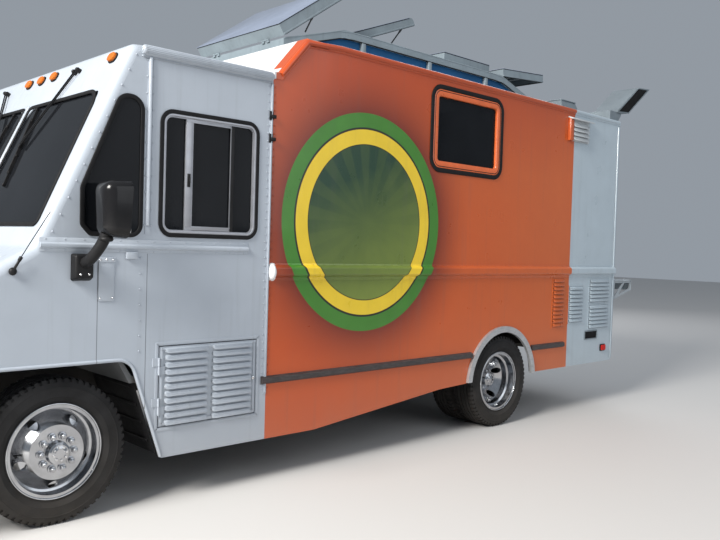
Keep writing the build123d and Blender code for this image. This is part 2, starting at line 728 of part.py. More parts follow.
with BuildPart() as front_clip:
    with BuildSketch(Plane.XZ.offset(-HALF_WIDTH)) as clip_profile:
        with BuildLine():
            Polyline(
                (CLIP_REAR_X, CLIP_BOTTOM_Z),
                (NOSE_X, CLIP_BOTTOM_Z),
                (NOSE_X, HOOD_Z_AT_NOSE),
                (COWL_X, COWL_Z),
                (HEADER_X, 2690),
                (CLIP_REAR_X, CAB_ROOF_Z),
                close=True,
            )
        make_face()
        fillet(clip_profile.vertices().sort_by_distance((NOSE_X, HOOD_Z_AT_NOSE))[0], radius=95)
        fillet(clip_profile.vertices().sort_by_distance((HEADER_X, 2690))[0], radius=70)
        fillet(clip_profile.vertices().sort_by_distance((COWL_X, COWL_Z))[0], radius=60)
    extrude(amount=2 * HALF_WIDTH)
    side_edges = front_clip.edges().filter_by(
        lambda e: abs(abs(e.center().Y) - HALF_WIDTH) < 0.5
        and e.center().X > CLIP_REAR_X + 1
        and e.center().Z > CLIP_BOTTOM_Z + 1
    )
    fillet(side_edges, radius=EDGE_RADIUS)
    with BuildSketch(Plane.XZ.offset(-BODY_INNER)):
        with BuildLine():
            Polyline(
                (CLIP_REAR_X - 200, CLIP_BOTTOM_Z - 200),
                (NOSE_X, CLIP_BOTTOM_Z - 200),
                (NOSE_X, HOOD_Z_AT_NOSE),
                (COWL_X, COWL_Z),
                (HEADER_X, 2690),
                (CLIP_REAR_X - 200, CAB_ROOF_Z + 17),
                close=True,
            )
        make_face()
        offset(amount=-WALL)
    extrude(amount=2 * BODY_INNER, mode=Mode.SUBTRACT)
    with BuildSketch(Plane.XZ.offset(-HALF_WIDTH - 10)):
        add(arch_outline())
    extrude(amount=2 * HALF_WIDTH + 20, mode=Mode.SUBTRACT)
    with BuildSketch(Plane.XZ.offset(-HALF_WIDTH - 10)):
        add(quarter_outline())
    extrude(amount=2 * HALF_WIDTH + 20, mode=Mode.SUBTRACT)
    with BuildSketch(SCREEN_PLANE.offset(20)):
        for s in (LEFT, RIGHT):
            add(screen_outline(s))
    extrude(amount=-90, mode=Mode.SUBTRACT)
    # Openings in the nose: grille, headlamps and hood
    with BuildSketch(Plane.YZ.offset(NOSE_X + 10)):
        with Locations((0, (GRILLE_LOW_Z + GRILLE_HIGH_Z) / 2)):
            RectangleRounded(2 * GRILLE_HALF, GRILLE_HIGH_Z - GRILLE_LOW_Z, 25)
        with Locations(*[(s * HEADLAMP_Y, HEADLAMP_Z) for s in (LEFT, RIGHT)]):
            Circle(HEADLAMP_RADIUS)
    extrude(amount=-WALL - 20, mode=Mode.SUBTRACT)
    with BuildSketch(Plane.XY.offset(1100)):
        with Locations(((HOOD_REAR_X + HOOD_FRONT_X) / 2, 0)):
            Rectangle(HOOD_FRONT_X - HOOD_REAR_X, 2 * HOOD_HALF)
    extrude(amount=600, mode=Mode.SUBTRACT)
    hood_barrels(BACK)
finish(front_clip.part, "front_clip")

# Hood lid in the sloped top of the nose
LID_GAP = 6

with BuildPart() as hood:
    hood_rear = HOOD_REAR_X + LID_GAP
    hood_front = HOOD_FRONT_X - LID_GAP
    with BuildSketch(Plane.XZ.offset(-(HOOD_HALF - LID_GAP))):
        with BuildLine():
            Polyline(
                (hood_rear, hood_z(hood_rear)),
                (hood_front, hood_z(hood_front)),
                (hood_front, hood_z(hood_front, WALL)),
                (hood_rear, hood_z(hood_rear, WALL)),
                close=True,
            )
        make_face()
    extrude(amount=2 * (HOOD_HALF - LID_GAP))
    with BuildSketch(Plane.XZ.offset(-(HOOD_HALF - LID_GAP - SHEET))):
        with BuildLine():
            Polyline(
                (hood_rear + SHEET, hood_z(hood_rear + SHEET, 12)),
                (hood_front - SHEET, hood_z(hood_front - SHEET, 12)),
                (hood_front - SHEET, hood_z(hood_front - SHEET, WALL + 10)),
                (hood_rear + SHEET, hood_z(hood_rear + SHEET, WALL + 10)),
                close=True,
            )
        make_face()
    extrude(amount=2 * (HOOD_HALF - LID_GAP - SHEET), mode=Mode.SUBTRACT)
    hood_barrels(FORWARD)
finish(hood.part, "hood")

# Grille: a frame in the nose with level slats
SLAT_COUNT = 7
GRILLE_BAND = 31
with BuildPart() as grille:
    with BuildSketch(Plane.YZ.offset(NOSE_X - WALL)):
        with Locations((0, (GRILLE_LOW_Z + GRILLE_HIGH_Z) / 2)):
            RectangleRounded(2 * GRILLE_HALF - 2, GRILLE_HIGH_Z - GRILLE_LOW_Z - 2, 24)
            RectangleRounded(
                2 * (GRILLE_HALF - GRILLE_BAND),
                GRILLE_HIGH_Z - GRILLE_LOW_Z - 2 * GRILLE_BAND,
                12,
                mode=Mode.SUBTRACT,
            )
    extrude(amount=WALL)
    slat_pitch = (GRILLE_HIGH_Z - GRILLE_LOW_Z - 2 * GRILLE_BAND) / SLAT_COUNT
    for slat in range(1, SLAT_COUNT):
        slat_z = GRILLE_LOW_Z + GRILLE_BAND + slat * slat_pitch
        with Locations(Location((NOSE_X - 22, 0, slat_z), (0, 25, 0))):
            Box(24, 2 * GRILLE_HALF - 50, 8)
    with Locations(*[(NOSE_X - 22, y, (GRILLE_LOW_Z + GRILLE_HIGH_Z) / 2) for y in (-240, 0, 240)]):
        Box(12, 12, GRILLE_HIGH_Z - GRILLE_LOW_Z - 50)
finish(grille.part, "grille")

# Front bumper: a folded channel that wraps round the nose, on two brackets off the rails
BUMPER_LOW_Z = 405
BUMPER_HIGH_Z = 590
PLATE_HOLE_RADIUS = 3.5
PLATE_SPACING_Y = 177.8
PLATE_SPACING_Z = 120.65
PLATE_Z = 498
with BuildPart() as front_bumper:
    with BuildSketch(Plane.XY.offset(BUMPER_LOW_Z)) as bumper_plan:
        with BuildLine():
            Polyline(
                (NOSE_X - 180, -1180),
                (BUMPER_X, -1180),
                (BUMPER_X, 1180),
                (NOSE_X - 180, 1180),
                (NOSE_X - 180, 1130),
                (BUMPER_X - 50, 1130),
                (BUMPER_X - 50, -1130),
                (NOSE_X - 180, -1130),
                close=True,
            )
        make_face()
        fillet(bumper_plan.vertices().filter_by_position(Axis.X, BUMPER_X - 1, BUMPER_X + 1), radius=110)
        fillet(bumper_plan.vertices().filter_by_position(Axis.X, BUMPER_X - 51, BUMPER_X - 49), radius=62)
    extrude(amount=BUMPER_HIGH_Z - BUMPER_LOW_Z)
    with Locations(*[((RAIL_FRONT_X + BUMPER_X - 40) / 2, s * RAIL_Y, 565) for s in (LEFT, RIGHT)]):
        Box(BUMPER_X - 40 - RAIL_FRONT_X, 70, 50)
    with BuildSketch(Plane.YZ.offset(BUMPER_X + 5)):
        with Locations((0, PLATE_Z)):
            with GridLocations(PLATE_SPACING_Y, PLATE_SPACING_Z, 2, 2):
                Circle(PLATE_HOLE_RADIUS)
    extrude(amount=-80, mode=Mode.SUBTRACT)
finish(front_bumper.part, "front_bumper")

# Doors and the awning: flush panels with barrels on axes just outside the skin
PANEL = 34
BARREL_RADIUS = 7
BARREL_OUT = 8
BARREL_LENGTH = 50
LEAF_REACH = 40
DOOR_GAP = 6
ACCESS_HINGE_Z = (590, 830)
ENTRY_HINGE_Z = (700, 1400, 2100)
REAR_HINGE_Z = (1100, 2300)
AWNING_HINGES_X = (-700, -100, 500)


def upright_barrels(side, axis_x, heights, leaf_way):
    """Adds barrels about a vertical axis beside a wall, each with a leaf forward or back on the skin."""
    part_lift = leaf_way * (BARREL_LENGTH / 2 + 1)
    axis_y = side * (HALF_WIDTH + BARREL_OUT)
    for height in heights:
        with Locations((axis_x, axis_y, height + part_lift)):
            Cylinder(BARREL_RADIUS, BARREL_LENGTH)
        with Locations((axis_x + leaf_way * LEAF_REACH / 2, side * (HALF_WIDTH + 3), height + part_lift)):
            Box(LEAF_REACH, 6, BARREL_LENGTH)


# Cab sides behind the clip: a sliding window and louvred door on the left, the entry door on the right
CAB_SIDE_TOP_Z = 2655
CAB_WINDOW_X = (1492, 2180)
CAB_WINDOW_Z = (1608, 2337)
CAB_WINDOW_RADIUS = 72
ACCESS_X = (1460, 2170)
ACCESS_Z = (463, 951)
ENTRY_X = (1440, 2140)
ENTRY_Z = (400, 2400)


def box_outline(span_x, span_z, radius=0, grow=0):
    """Draws a rectangle between two X values and two heights, its corners round where radius is given."""
    with BuildSketch() as outline:
        with Locations(((span_x[0] + span_x[1]) / 2, (span_z[0] + span_z[1]) / 2)):
            width = span_x[1] - span_x[0] + 2 * grow
            height = span_z[1] - span_z[0] + 2 * grow
            if radius + grow > 0.5:
                RectangleRounded(width, height, radius + grow)
            else:
                Rectangle(width, height)
    return outline.sketch


for s, side_name in SIDES:
    with BuildPart() as cab_side:
        with BuildSketch(side_plane(s)):
            add(box_outline((CAB_REAR_X, CLIP_REAR_X), (SILL_Z, CAB_SIDE_TOP_Z)))
            add(arch_outline(), mode=Mode.SUBTRACT)
            if s == LEFT:
                add(box_outline(CAB_WINDOW_X, CAB_WINDOW_Z, CAB_WINDOW_RADIUS), mode=Mode.SUBTRACT)
                add(box_outline(ACCESS_X, ACCESS_Z), mode=Mode.SUBTRACT)
            else:
                add(box_outline(ENTRY_X, ENTRY_Z, 40), mode=Mode.SUBTRACT)
        extrude(amount=wall_amount(s))
        if s == LEFT:
            upright_barrels(LEFT, ACCESS_X[1], ACCESS_HINGE_Z, FORWARD)
        else:
            upright_barrels(RIGHT, ENTRY_X[1], ENTRY_HINGE_Z, FORWARD)
    finish(cab_side.part, f"cab_side_{side_name}")

# Cab roof with its round gutter edges
with BuildPart() as cab_roof:
    with BuildSketch(Plane.YZ.offset(CAB_REAR_X)) as roof_section:
        with BuildLine():
            Polyline(
                (-HALF_WIDTH - 8, CAB_SIDE_TOP_Z),
                (HALF_WIDTH + 8, CAB_SIDE_TOP_Z),
                (HALF_WIDTH + 8, CAB_ROOF_Z),
                (-HALF_WIDTH - 8, CAB_ROOF_Z),
                close=True,
            )
        make_face()
        fillet(roof_section.vertices().group_by(Axis.Y)[-1], radius=36)
    extrude(amount=CLIP_REAR_X - CAB_REAR_X)
finish(cab_roof.part, "cab_roof")

# Kitchen walls: tall sides whose skirts rise towards the rear
SKIRT = ((950, SILL_Z), (-400, 420), (-766, 434), (-1800, TAIL_SKIRT_Z))
REAR_ARCH_X = -1250
REAR_ARCH_Z = 400
REAR_ARCH_RADIUS = 495
KITCHEN_SIDE_TOP_Z = 2933
SLOPE_TOP_X = 1086
SLOPE_FOOT_X = 1327
SLOPE_INNER_TOP_X = 1065
SLOPE_INNER_FOOT_X = 1306
KITCHEN_WINDOW_X = (-1098, -235)
KITCHEN_WINDOW_Z = (2239, 2843)
KITCHEN_WINDOW_RADIUS = 70
AWNING_X = (-1000, 800)
AWNING_Z = (1500, 2400)
for s, side_name in SIDES:
    with BuildPart() as kitchen_side:
        with BuildSketch(side_plane(s)):
            with BuildLine():
                Polyline(
                    (CAB_REAR_X, SILL_Z),
                    *SKIRT,
                    (REAR_X, TAIL_SKIRT_Z),
                    (REAR_X, KITCHEN_SIDE_TOP_Z),
                    (SLOPE_INNER_TOP_X, KITCHEN_SIDE_TOP_Z),
                    (SLOPE_INNER_FOOT_X, CAB_SIDE_TOP_Z),
                    (CAB_REAR_X, CAB_SIDE_TOP_Z),
                    close=True,
                )
            make_face()
            with Locations((REAR_ARCH_X, REAR_ARCH_Z)):
                Circle(REAR_ARCH_RADIUS, mode=Mode.SUBTRACT)
            if s == LEFT:
                window = box_outline(KITCHEN_WINDOW_X, KITCHEN_WINDOW_Z, KITCHEN_WINDOW_RADIUS)
                add(window, mode=Mode.SUBTRACT)
            else:
                add(box_outline(AWNING_X, AWNING_Z), mode=Mode.SUBTRACT)
        extrude(amount=wall_amount(s))
        if s == RIGHT:
            for hinge_x in AWNING_HINGES_X:
                barrel_x = hinge_x + BARREL_LENGTH / 2 + 1
                with Locations((barrel_x, -HALF_WIDTH - BARREL_OUT, AWNING_Z[1])):
                    Cylinder(BARREL_RADIUS, BARREL_LENGTH, rotation=(0, 90, 0))
                with Locations((barrel_x, -HALF_WIDTH - 3, AWNING_Z[1] + LEAF_REACH / 2)):
                    Box(BARREL_LENGTH, 6, LEAF_REACH)
    finish(kitchen_side.part, f"kitchen_side_{side_name}")

# Kitchen roof: a flat deck, the slope down to the cab and the opening under the raised box
BOX_HALF = 690
BOX_FRONT_X = 915
BOX_REAR_X = -2380
BOX_GAUGE = 25
with BuildPart() as kitchen_roof:
    with BuildSketch(Plane.XZ.offset(-HALF_WIDTH - 6)):
        with BuildLine():
            Polyline(
                (REAR_X - 12, KITCHEN_ROOF_Z),
                (SLOPE_TOP_X, KITCHEN_ROOF_Z),
                (SLOPE_FOOT_X, CAB_ROOF_Z),
                (CAB_REAR_X, CAB_ROOF_Z),
                (CAB_REAR_X, CAB_SIDE_TOP_Z),
                (SLOPE_INNER_FOOT_X, CAB_SIDE_TOP_Z),
                (SLOPE_INNER_TOP_X, KITCHEN_SIDE_TOP_Z),
                (REAR_X - 12, KITCHEN_SIDE_TOP_Z),
                close=True,
            )
        make_face()
    extrude(amount=2 * (HALF_WIDTH + 6))
    upper_edges = kitchen_roof.edges().filter_by(
        lambda e: abs(abs(e.center().Y) - HALF_WIDTH - 6) < 0.5
        and e.center().X < SLOPE_FOOT_X + 30
        and (e.center().Z > KITCHEN_ROOF_Z - 1 or abs(e.center().X - (SLOPE_TOP_X + SLOPE_FOOT_X) / 2) < 5)
    )
    fillet(upper_edges, radius=32)
    with Locations(((BOX_FRONT_X + BOX_REAR_X) / 2, 0, KITCHEN_ROOF_Z)):
        Box(BOX_FRONT_X - BOX_REAR_X - 80, 2 * (BOX_HALF - 40), 200, mode=Mode.SUBTRACT)
finish(kitchen_roof.part, "kitchen_roof")

# Rear wall with the door opening
REAR_DOOR_Y = (-950, -150)
REAR_DOOR_Z = (800, 2600)
with BuildPart() as rear_wall:
    with BuildSketch(Plane.YZ.offset(REAR_X)):
        with BuildLine():
            Polyline(
                (-BODY_INNER, 500),
                (BODY_INNER, 500),
                (BODY_INNER, KITCHEN_SIDE_TOP_Z),
                (-BODY_INNER, KITCHEN_SIDE_TOP_Z),
                close=True,
            )
        make_face()
        with Locations((sum(REAR_DOOR_Y) / 2, sum(REAR_DOOR_Z) / 2)):
            Rectangle(REAR_DOOR_Y[1] - REAR_DOOR_Y[0], REAR_DOOR_Z[1] - REAR_DOOR_Z[0], mode=Mode.SUBTRACT)
    extrude(amount=WALL)
    with BuildSketch(Plane.YZ.offset(REAR_X - 5)):
        with Locations((0, 650)):
            with GridLocations(PLATE_SPACING_Y, PLATE_SPACING_Z, 2, 2):
                Circle(PLATE_HOLE_RADIUS)
    extrude(amount=WALL + 10, mode=Mode.SUBTRACT)
    for height in REAR_HINGE_Z:
        with Locations((REAR_X - BARREL_OUT, REAR_DOOR_Y[0], height + BARREL_LENGTH / 2 + 1)):
            Cylinder(BARREL_RADIUS, BARREL_LENGTH)
        with Locations((REAR_X - 3, REAR_DOOR_Y[0] - LEAF_REACH / 2, height + BARREL_LENGTH / 2 + 1)):
            Box(6, LEAF_REACH, BARREL_LENGTH)
finish(rear_wall.part, "rear_wall")

# Raised roof box: a shell with a ramp at each end, side windows and a hatch opening under each lid
BOX_TOP_Z = 3285
BOX_END_Z = 3100
RAMP_FRONT_X = 310
RAMP_REAR_X = -1790
FASCIA_HEIGHT = 62
BOX_WINDOW_LOW_Z = 3003
BOX_WINDOW_INSET = 35
BOX_POSTS_X = (94, -721, -1535)
BOX_POST_WIDTH = 40
LID_SHEET = 10
HATCH_INSET = 70
Lid = namedtuple("Lid", "name hinge_x hinge_z length low_y high_y depth rest_deg closed_deg rear_round")
LIDS = (
    Lid("roof_lid_front", 925, 3112, 740, -410, 700, 90, 35, 17.4, 8),
    Lid("roof_lid_middle", -7, 3293, 793, -470, 470, 75, 21.7, 0, 45),
    Lid("roof_lid_centre", -998, 3292, 686, -610, 610, 86, 0, 0, 8),
    Lid("roof_lid_rear", -1884, 3305, 710, -630, 630, 75, 4.5, -21, 8),
)


def box_surface_z(x):
    """The height of the roof box's top at X, ramps included."""
    if x > RAMP_FRONT_X:
        return BOX_TOP_Z - (x - RAMP_FRONT_X) * (BOX_TOP_Z - BOX_END_Z) / (BOX_FRONT_X - RAMP_FRONT_X)
    if x < RAMP_REAR_X:
        return BOX_TOP_Z - (RAMP_REAR_X - x) * (BOX_TOP_Z - BOX_END_Z) / (RAMP_REAR_X - BOX_REAR_X)
    return BOX_TOP_Z


def box_outline_xz(foot_z, drop=0, inset=0):
    """Draws the roof box in side view down to foot_z, its top lowered by drop and its ends drawn in by inset."""
    front = BOX_FRONT_X - inset
    rear = BOX_REAR_X + inset
    with BuildSketch() as outline:
        with BuildLine():
            Polyline(
                (front, foot_z),
                (front, box_surface_z(front) - drop),
                (RAMP_FRONT_X, BOX_TOP_Z - drop),
                (RAMP_REAR_X, BOX_TOP_Z - drop),
                (rear, box_surface_z(rear) - drop),
                (rear, foot_z),
                close=True,
            )
        make_face()
    return outline.sketch


def hinge_stations(lid):
    """The two places along Y where a lid is hinged."""
    width = lid.high_y - lid.low_y
    return lid.low_y + 0.2 * width, lid.high_y - 0.2 * width


with BuildPart() as clerestory:
    with BuildSketch(Plane.XZ.offset(-BOX_HALF)):
        add(box_outline_xz(KITCHEN_ROOF_Z))
    extrude(amount=2 * BOX_HALF)
    with BuildSketch(Plane.XZ.offset(-BOX_HALF + BOX_GAUGE)):
        add(box_outline_xz(KITCHEN_ROOF_Z - 20, drop=BOX_GAUGE, inset=BOX_GAUGE))
    extrude(amount=2 * (BOX_HALF - BOX_GAUGE), mode=Mode.SUBTRACT)
    with BuildSketch(Plane.XZ.offset(-BOX_HALF - 5)):
        add(box_outline_xz(BOX_WINDOW_LOW_Z, drop=FASCIA_HEIGHT, inset=BOX_WINDOW_INSET))
        with Locations(*[(post_x, BOX_WINDOW_LOW_Z + 150) for post_x in BOX_POSTS_X]):
            Rectangle(BOX_POST_WIDTH, 400, mode=Mode.SUBTRACT)
    extrude(amount=2 * BOX_HALF + 10, mode=Mode.SUBTRACT)
    for lid in LIDS:
        hatch_front_x = min(lid.hinge_x, BOX_FRONT_X) - HATCH_INSET
        hatch_rear_x = max(lid.hinge_x - lid.length + HATCH_INSET, BOX_REAR_X + HATCH_INSET)
        hatch_width = lid.high_y - lid.low_y - 2 * HATCH_INSET
        with Locations(((hatch_front_x + hatch_rear_x) / 2, (lid.low_y + lid.high_y) / 2, BOX_TOP_Z - 60)):
            Box(hatch_front_x - hatch_rear_x, hatch_width, 260, mode=Mode.SUBTRACT)
    # Hinge barrels of the lids, each on a lug
    for lid in LIDS:
        for station in hinge_stations(lid):
            foot = box_surface_z(min(lid.hinge_x - HINGE_RADIUS, BOX_FRONT_X)) - 6
            for side_step in (-30, 30):
                with Locations((lid.hinge_x, station + side_step, lid.hinge_z)):
                    Cylinder(HINGE_RADIUS, 30, rotation=(90, 0, 0))
                with Locations((lid.hinge_x - 2, station + side_step, (foot + lid.hinge_z) / 2)):
                    Box(2 * HINGE_RADIUS - 4, 30, lid.hinge_z - foot)
finish(clerestory.part, "clerestory")

# Glazing of the roof box: one sheet inside each side
with BuildPart() as clerestory_glazing:
    for s in (LEFT, RIGHT):
        with BuildSketch(Plane.XZ.offset(-s * (BOX_HALF - BOX_GAUGE))):
            add(box_outline_xz(BOX_WINDOW_LOW_Z - 15, drop=FASCIA_HEIGHT - 15, inset=BOX_WINDOW_INSET - 8))
        extrude(amount=s * 6)
finish(clerestory_glazing.part, "clerestory_glazing")


def lid_plane(lid, y, angle=None):
    """The lid's side-view plane at Y: x runs back from the hinge along its rim and y stands up from it."""
    turn = radians(lid.rest_deg if angle is None else angle)
    return Plane(origin=(lid.hinge_x, y, lid.hinge_z), x_dir=(-cos(turn), 0, sin(turn)), z_dir=(0, 1, 0))


# Roof lids: pans hinged at their front rims; three of them stand open
Stay = namedtuple("Stay", "name lid along up length lean_deg")
STAYS = (
    Stay("lid_stay_front", LIDS[0], 400, 20, 190, 27),
    Stay("lid_stay_middle", LIDS[1], 660, 12, 300, 29),
)
STUD_RADIUS = 4
STAY_EYE_RADIUS = 9
STAY_EYE_WIDTH = 10
STAY_Y_INSET = 12
for lid in LIDS:
    with BuildPart() as roof_lid:
        with BuildSketch(lid_plane(lid, lid.low_y)) as lid_side:
            with BuildLine():
                Polyline((8, 0), (lid.length, 0), (lid.length, lid.depth), (8, lid.depth), close=True)
            make_face()
            fillet(lid_side.vertices().group_by(Axis.Y)[-1].sort_by(Axis.X)[-1], radius=lid.rear_round)
        extrude(amount=lid.high_y - lid.low_y)
        with BuildSketch(lid_plane(lid, lid.low_y + LID_SHEET)) as lid_hollow:
            with BuildLine():
                Polyline(
                    (8 + LID_SHEET, -5),
                    (lid.length - LID_SHEET, -5),
                    (lid.length - LID_SHEET, lid.depth - LID_SHEET),
                    (8 + LID_SHEET, lid.depth - LID_SHEET),
                    close=True,
                )
            make_face()
            fillet(
                lid_hollow.vertices().group_by(Axis.Y)[-1].sort_by(Axis.X)[-1],
                radius=max(lid.rear_round - LID_SHEET, 2),
            )
        extrude(amount=lid.high_y - lid.low_y - 2 * LID_SHEET, mode=Mode.SUBTRACT)
        for station in hinge_stations(lid):
            with BuildSketch(lid_plane(lid, station - 14)):
                Circle(HINGE_RADIUS)
                with Locations((6, 3)):
                    Rectangle(12, 6)
            extrude(amount=28)
        for stay in STAYS:
            if stay.lid is lid:
                stud_y = lid.high_y - LID_SHEET - STAY_Y_INSET - STAY_EYE_WIDTH - 2
                with BuildSketch(lid_plane(lid, stud_y)):
                    with Locations((stay.along, stay.up)):
                        Circle(STUD_RADIUS)
                extrude(amount=STAY_EYE_WIDTH + STAY_Y_INSET + 4)
    finish(roof_lid.part, lid.name)

# Lid stays: a damper body and a thin rod, hung from a stud inside the lid's left rim
for stay in STAYS:
    lid = stay.lid
    eye_y = lid.high_y - LID_SHEET - STAY_Y_INSET - STAY_EYE_WIDTH
    with BuildPart() as lid_stay:
        with BuildSketch(lid_plane(lid, eye_y)):
            with Locations(Location((stay.along, stay.up), stay.lean_deg)):
                Circle(STAY_EYE_RADIUS)
                with Locations((-40, 0)):
                    Rectangle(66, 14)
                with Locations((-stay.length / 2 - 20, 0)):
                    Rectangle(stay.length - 40, 8)
                Circle(STUD_RADIUS + 0.4, mode=Mode.SUBTRACT)
        extrude(amount=STAY_EYE_WIDTH)
    finish(lid_stay.part, stay.name)

# Slanted vent duct at the rear left corner of the roof, open at its top end
DUCT_LOW_Y = 870
DUCT_HIGH_Y = 1170
DUCT_SHEET = 6
DUCT_SLOPE = (-446, 326)
with BuildPart() as rear_vent:
    with BuildSketch(Plane.XZ.offset(-DUCT_HIGH_Y + 10)):
        with BuildLine():
            Polyline(
                (-3060, KITCHEN_ROOF_Z),
                (REAR_X - 10, KITCHEN_ROOF_Z),
                (-3287, 3050),
                (-3287, 3082),
                (-3060, 3082),
                close=True,
            )
        make_face()
    extrude(amount=DUCT_HIGH_Y - DUCT_LOW_Y - 20)
    duct_foot = ((-3184, 3076), (-3287, 3070), (-3436, 3098))
    with BuildSketch(Plane.XZ.offset(-DUCT_HIGH_Y)):
        with BuildLine():
            Polyline(
                *duct_foot,
                (-3436 + DUCT_SLOPE[0], 3098 + DUCT_SLOPE[1]),
                (-3184 + DUCT_SLOPE[0], 3076 + DUCT_SLOPE[1]),
                close=True,
            )
        make_face()
    extrude(amount=DUCT_HIGH_Y - DUCT_LOW_Y)
    with BuildSketch(Plane.XZ.offset(-DUCT_HIGH_Y + DUCT_SHEET)):
        with BuildLine():
            Polyline(
                (-3184 + 0.1 * DUCT_SLOPE[0], 3076 + 0.1 * DUCT_SLOPE[1]),
                (-3436 + 0.1 * DUCT_SLOPE[0], 3098 + 0.1 * DUCT_SLOPE[1]),
                (-3436 + 1.1 * DUCT_SLOPE[0], 3098 + 1.1 * DUCT_SLOPE[1]),
                (-3184 + 1.1 * DUCT_SLOPE[0], 3076 + 1.1 * DUCT_SLOPE[1]),
                close=True,
            )
        make_face()
        offset(amount=-DUCT_SHEET)
    extrude(amount=DUCT_HIGH_Y - DUCT_LOW_Y - 2 * DUCT_SHEET, mode=Mode.SUBTRACT)
finish(rear_vent.part, "rear_vent")

# Low tapered vent ahead of it
with BuildPart() as roof_vent:
    with BuildSketch(Plane.XY.offset(KITCHEN_ROOF_Z)):
        with Locations((-2775, 665)):
            Rectangle(390, 450)
    extrude(amount=187, taper=18)
    vent_foot = roof_vent.faces().sort_by(Axis.Z)[0]
    offset(amount=-6, openings=vent_foot)
finish(roof_vent.part, "roof_vent")

# Window frames: the kitchen window's deep ring and the cab's slider with its two sash stiles
SLIDER_FRAME = 32
KITCHEN_FRAME = 42
SLIDER_BARS = ((1991, 50), (1680, 20))
PANE = 6
with BuildPart() as window_frames:
    with BuildSketch(side_plane(LEFT, -2)):
        add(box_outline(KITCHEN_WINDOW_X, KITCHEN_WINDOW_Z, KITCHEN_WINDOW_RADIUS, grow=-1))
        add(
            box_outline(KITCHEN_WINDOW_X, KITCHEN_WINDOW_Z, KITCHEN_WINDOW_RADIUS, grow=-KITCHEN_FRAME),
            mode=Mode.SUBTRACT,
        )
    extrude(amount=WALL)
    with BuildSketch(side_plane(LEFT, 2)):
        add(box_outline(CAB_WINDOW_X, CAB_WINDOW_Z, CAB_WINDOW_RADIUS, grow=-1))
        pane_hole = box_outline(CAB_WINDOW_X, CAB_WINDOW_Z, CAB_WINDOW_RADIUS, grow=-SLIDER_FRAME)
        add(pane_hole, mode=Mode.SUBTRACT)
        for bar_x, bar_width in SLIDER_BARS:
            with Locations((bar_x, sum(CAB_WINDOW_Z) / 2)):
                Rectangle(bar_width, CAB_WINDOW_Z[1] - CAB_WINDOW_Z[0] - SLIDER_FRAME)
    extrude(amount=30)
finish(window_frames.part, "window_frames")

# Fixed glass: windscreen, quarter windows, kitchen window and the cab's sliding panes
with BuildPart() as window_glass:
    with BuildSketch(SCREEN_PLANE.offset(-4)):
        for s in (LEFT, RIGHT):
            add(screen_outline(s, grow=-1))
    extrude(amount=-PANE)
    for s in (LEFT, RIGHT):
        with BuildSketch(side_plane(s, 6)):
            add(quarter_outline(grow=-1))
        extrude(amount=s * PANE)
    with BuildSketch(side_plane(LEFT, 16)):
        add(box_outline(KITCHEN_WINDOW_X, KITCHEN_WINDOW_Z, KITCHEN_WINDOW_RADIUS, grow=-KITCHEN_FRAME - 1))
    extrude(amount=PANE)
    with BuildSketch(side_plane(LEFT, 14)):
        add(box_outline(CAB_WINDOW_X, CAB_WINDOW_Z, CAB_WINDOW_RADIUS, grow=-SLIDER_FRAME - 1))
        for bar_x, bar_width in SLIDER_BARS:
            with Locations((bar_x, sum(CAB_WINDOW_Z) / 2)):
                Rectangle(bar_width + 2, CAB_WINDOW_Z[1] - CAB_WINDOW_Z[0], mode=Mode.SUBTRACT)
    extrude(amount=PANE)
finish(window_glass.part, "window_glass")

# Entry door on the right, hinged at its front edge, with a tall window
ENTRY_GLASS_X = (1530, 2050)
ENTRY_GLASS_Z = (1500, 2270)
with BuildPart() as entry_door:
    with BuildSketch(side_plane(RIGHT)):
        add(box_outline(ENTRY_X, ENTRY_Z, 40, grow=-DOOR_GAP))
        add(box_outline(ENTRY_GLASS_X, ENTRY_GLASS_Z, 60), mode=Mode.SUBTRACT)
    extrude(amount=wall_amount(RIGHT, PANEL))
    upright_barrels(RIGHT, ENTRY_X[1], ENTRY_HINGE_Z, BACK)
    # Pull handle beside the free edge
    with Locations((1490, -HALF_WIDTH - 45, 1300)):
        Cylinder(11, 260)
    with Locations(*[(1490, -HALF_WIDTH - 20, 1300 + step) for step in (-110, 110)]):
        Box(16, 50, 16)
finish(entry_door.part, "entry_door")

with BuildPart() as entry_door_glass:
    with BuildSketch(side_plane(RIGHT, 14)):
        add(box_outline(ENTRY_GLASS_X, ENTRY_GLASS_Z, 60, grow=-1))
    extrude(amount=wall_amount(RIGHT, PANE))
finish(entry_door_glass.part, "entry_door_glass")

# Louvred access door low on the left of the cab
LOUVRE_ROWS = 11
LOUVRE_LENGTH = 285
LOUVRE_MARGIN = 6
with BuildPart() as access_door:
    with BuildSketch(side_plane(LEFT)):
        add(box_outline(ACCESS_X, ACCESS_Z, grow=-DOOR_GAP))
    extrude(amount=PANEL)
    louvre_pitch = (ACCESS_Z[1] - ACCESS_Z[0] - 2 * LOUVRE_MARGIN) / LOUVRE_ROWS
    for column_x in (ACCESS_X[0] + 190, ACCESS_X[1] - 190):
        for row in range(LOUVRE_ROWS):
            louvre_z = ACCESS_Z[0] + LOUVRE_MARGIN + (row + 0.5) * louvre_pitch
            with Locations(Location((column_x, HALF_WIDTH, louvre_z), (32, 0, 0))):
                Box(LOUVRE_LENGTH, 16, 16)
    upright_barrels(LEFT, ACCESS_X[1], ACCESS_HINGE_Z, BACK)
finish(access_door.part, "access_door")

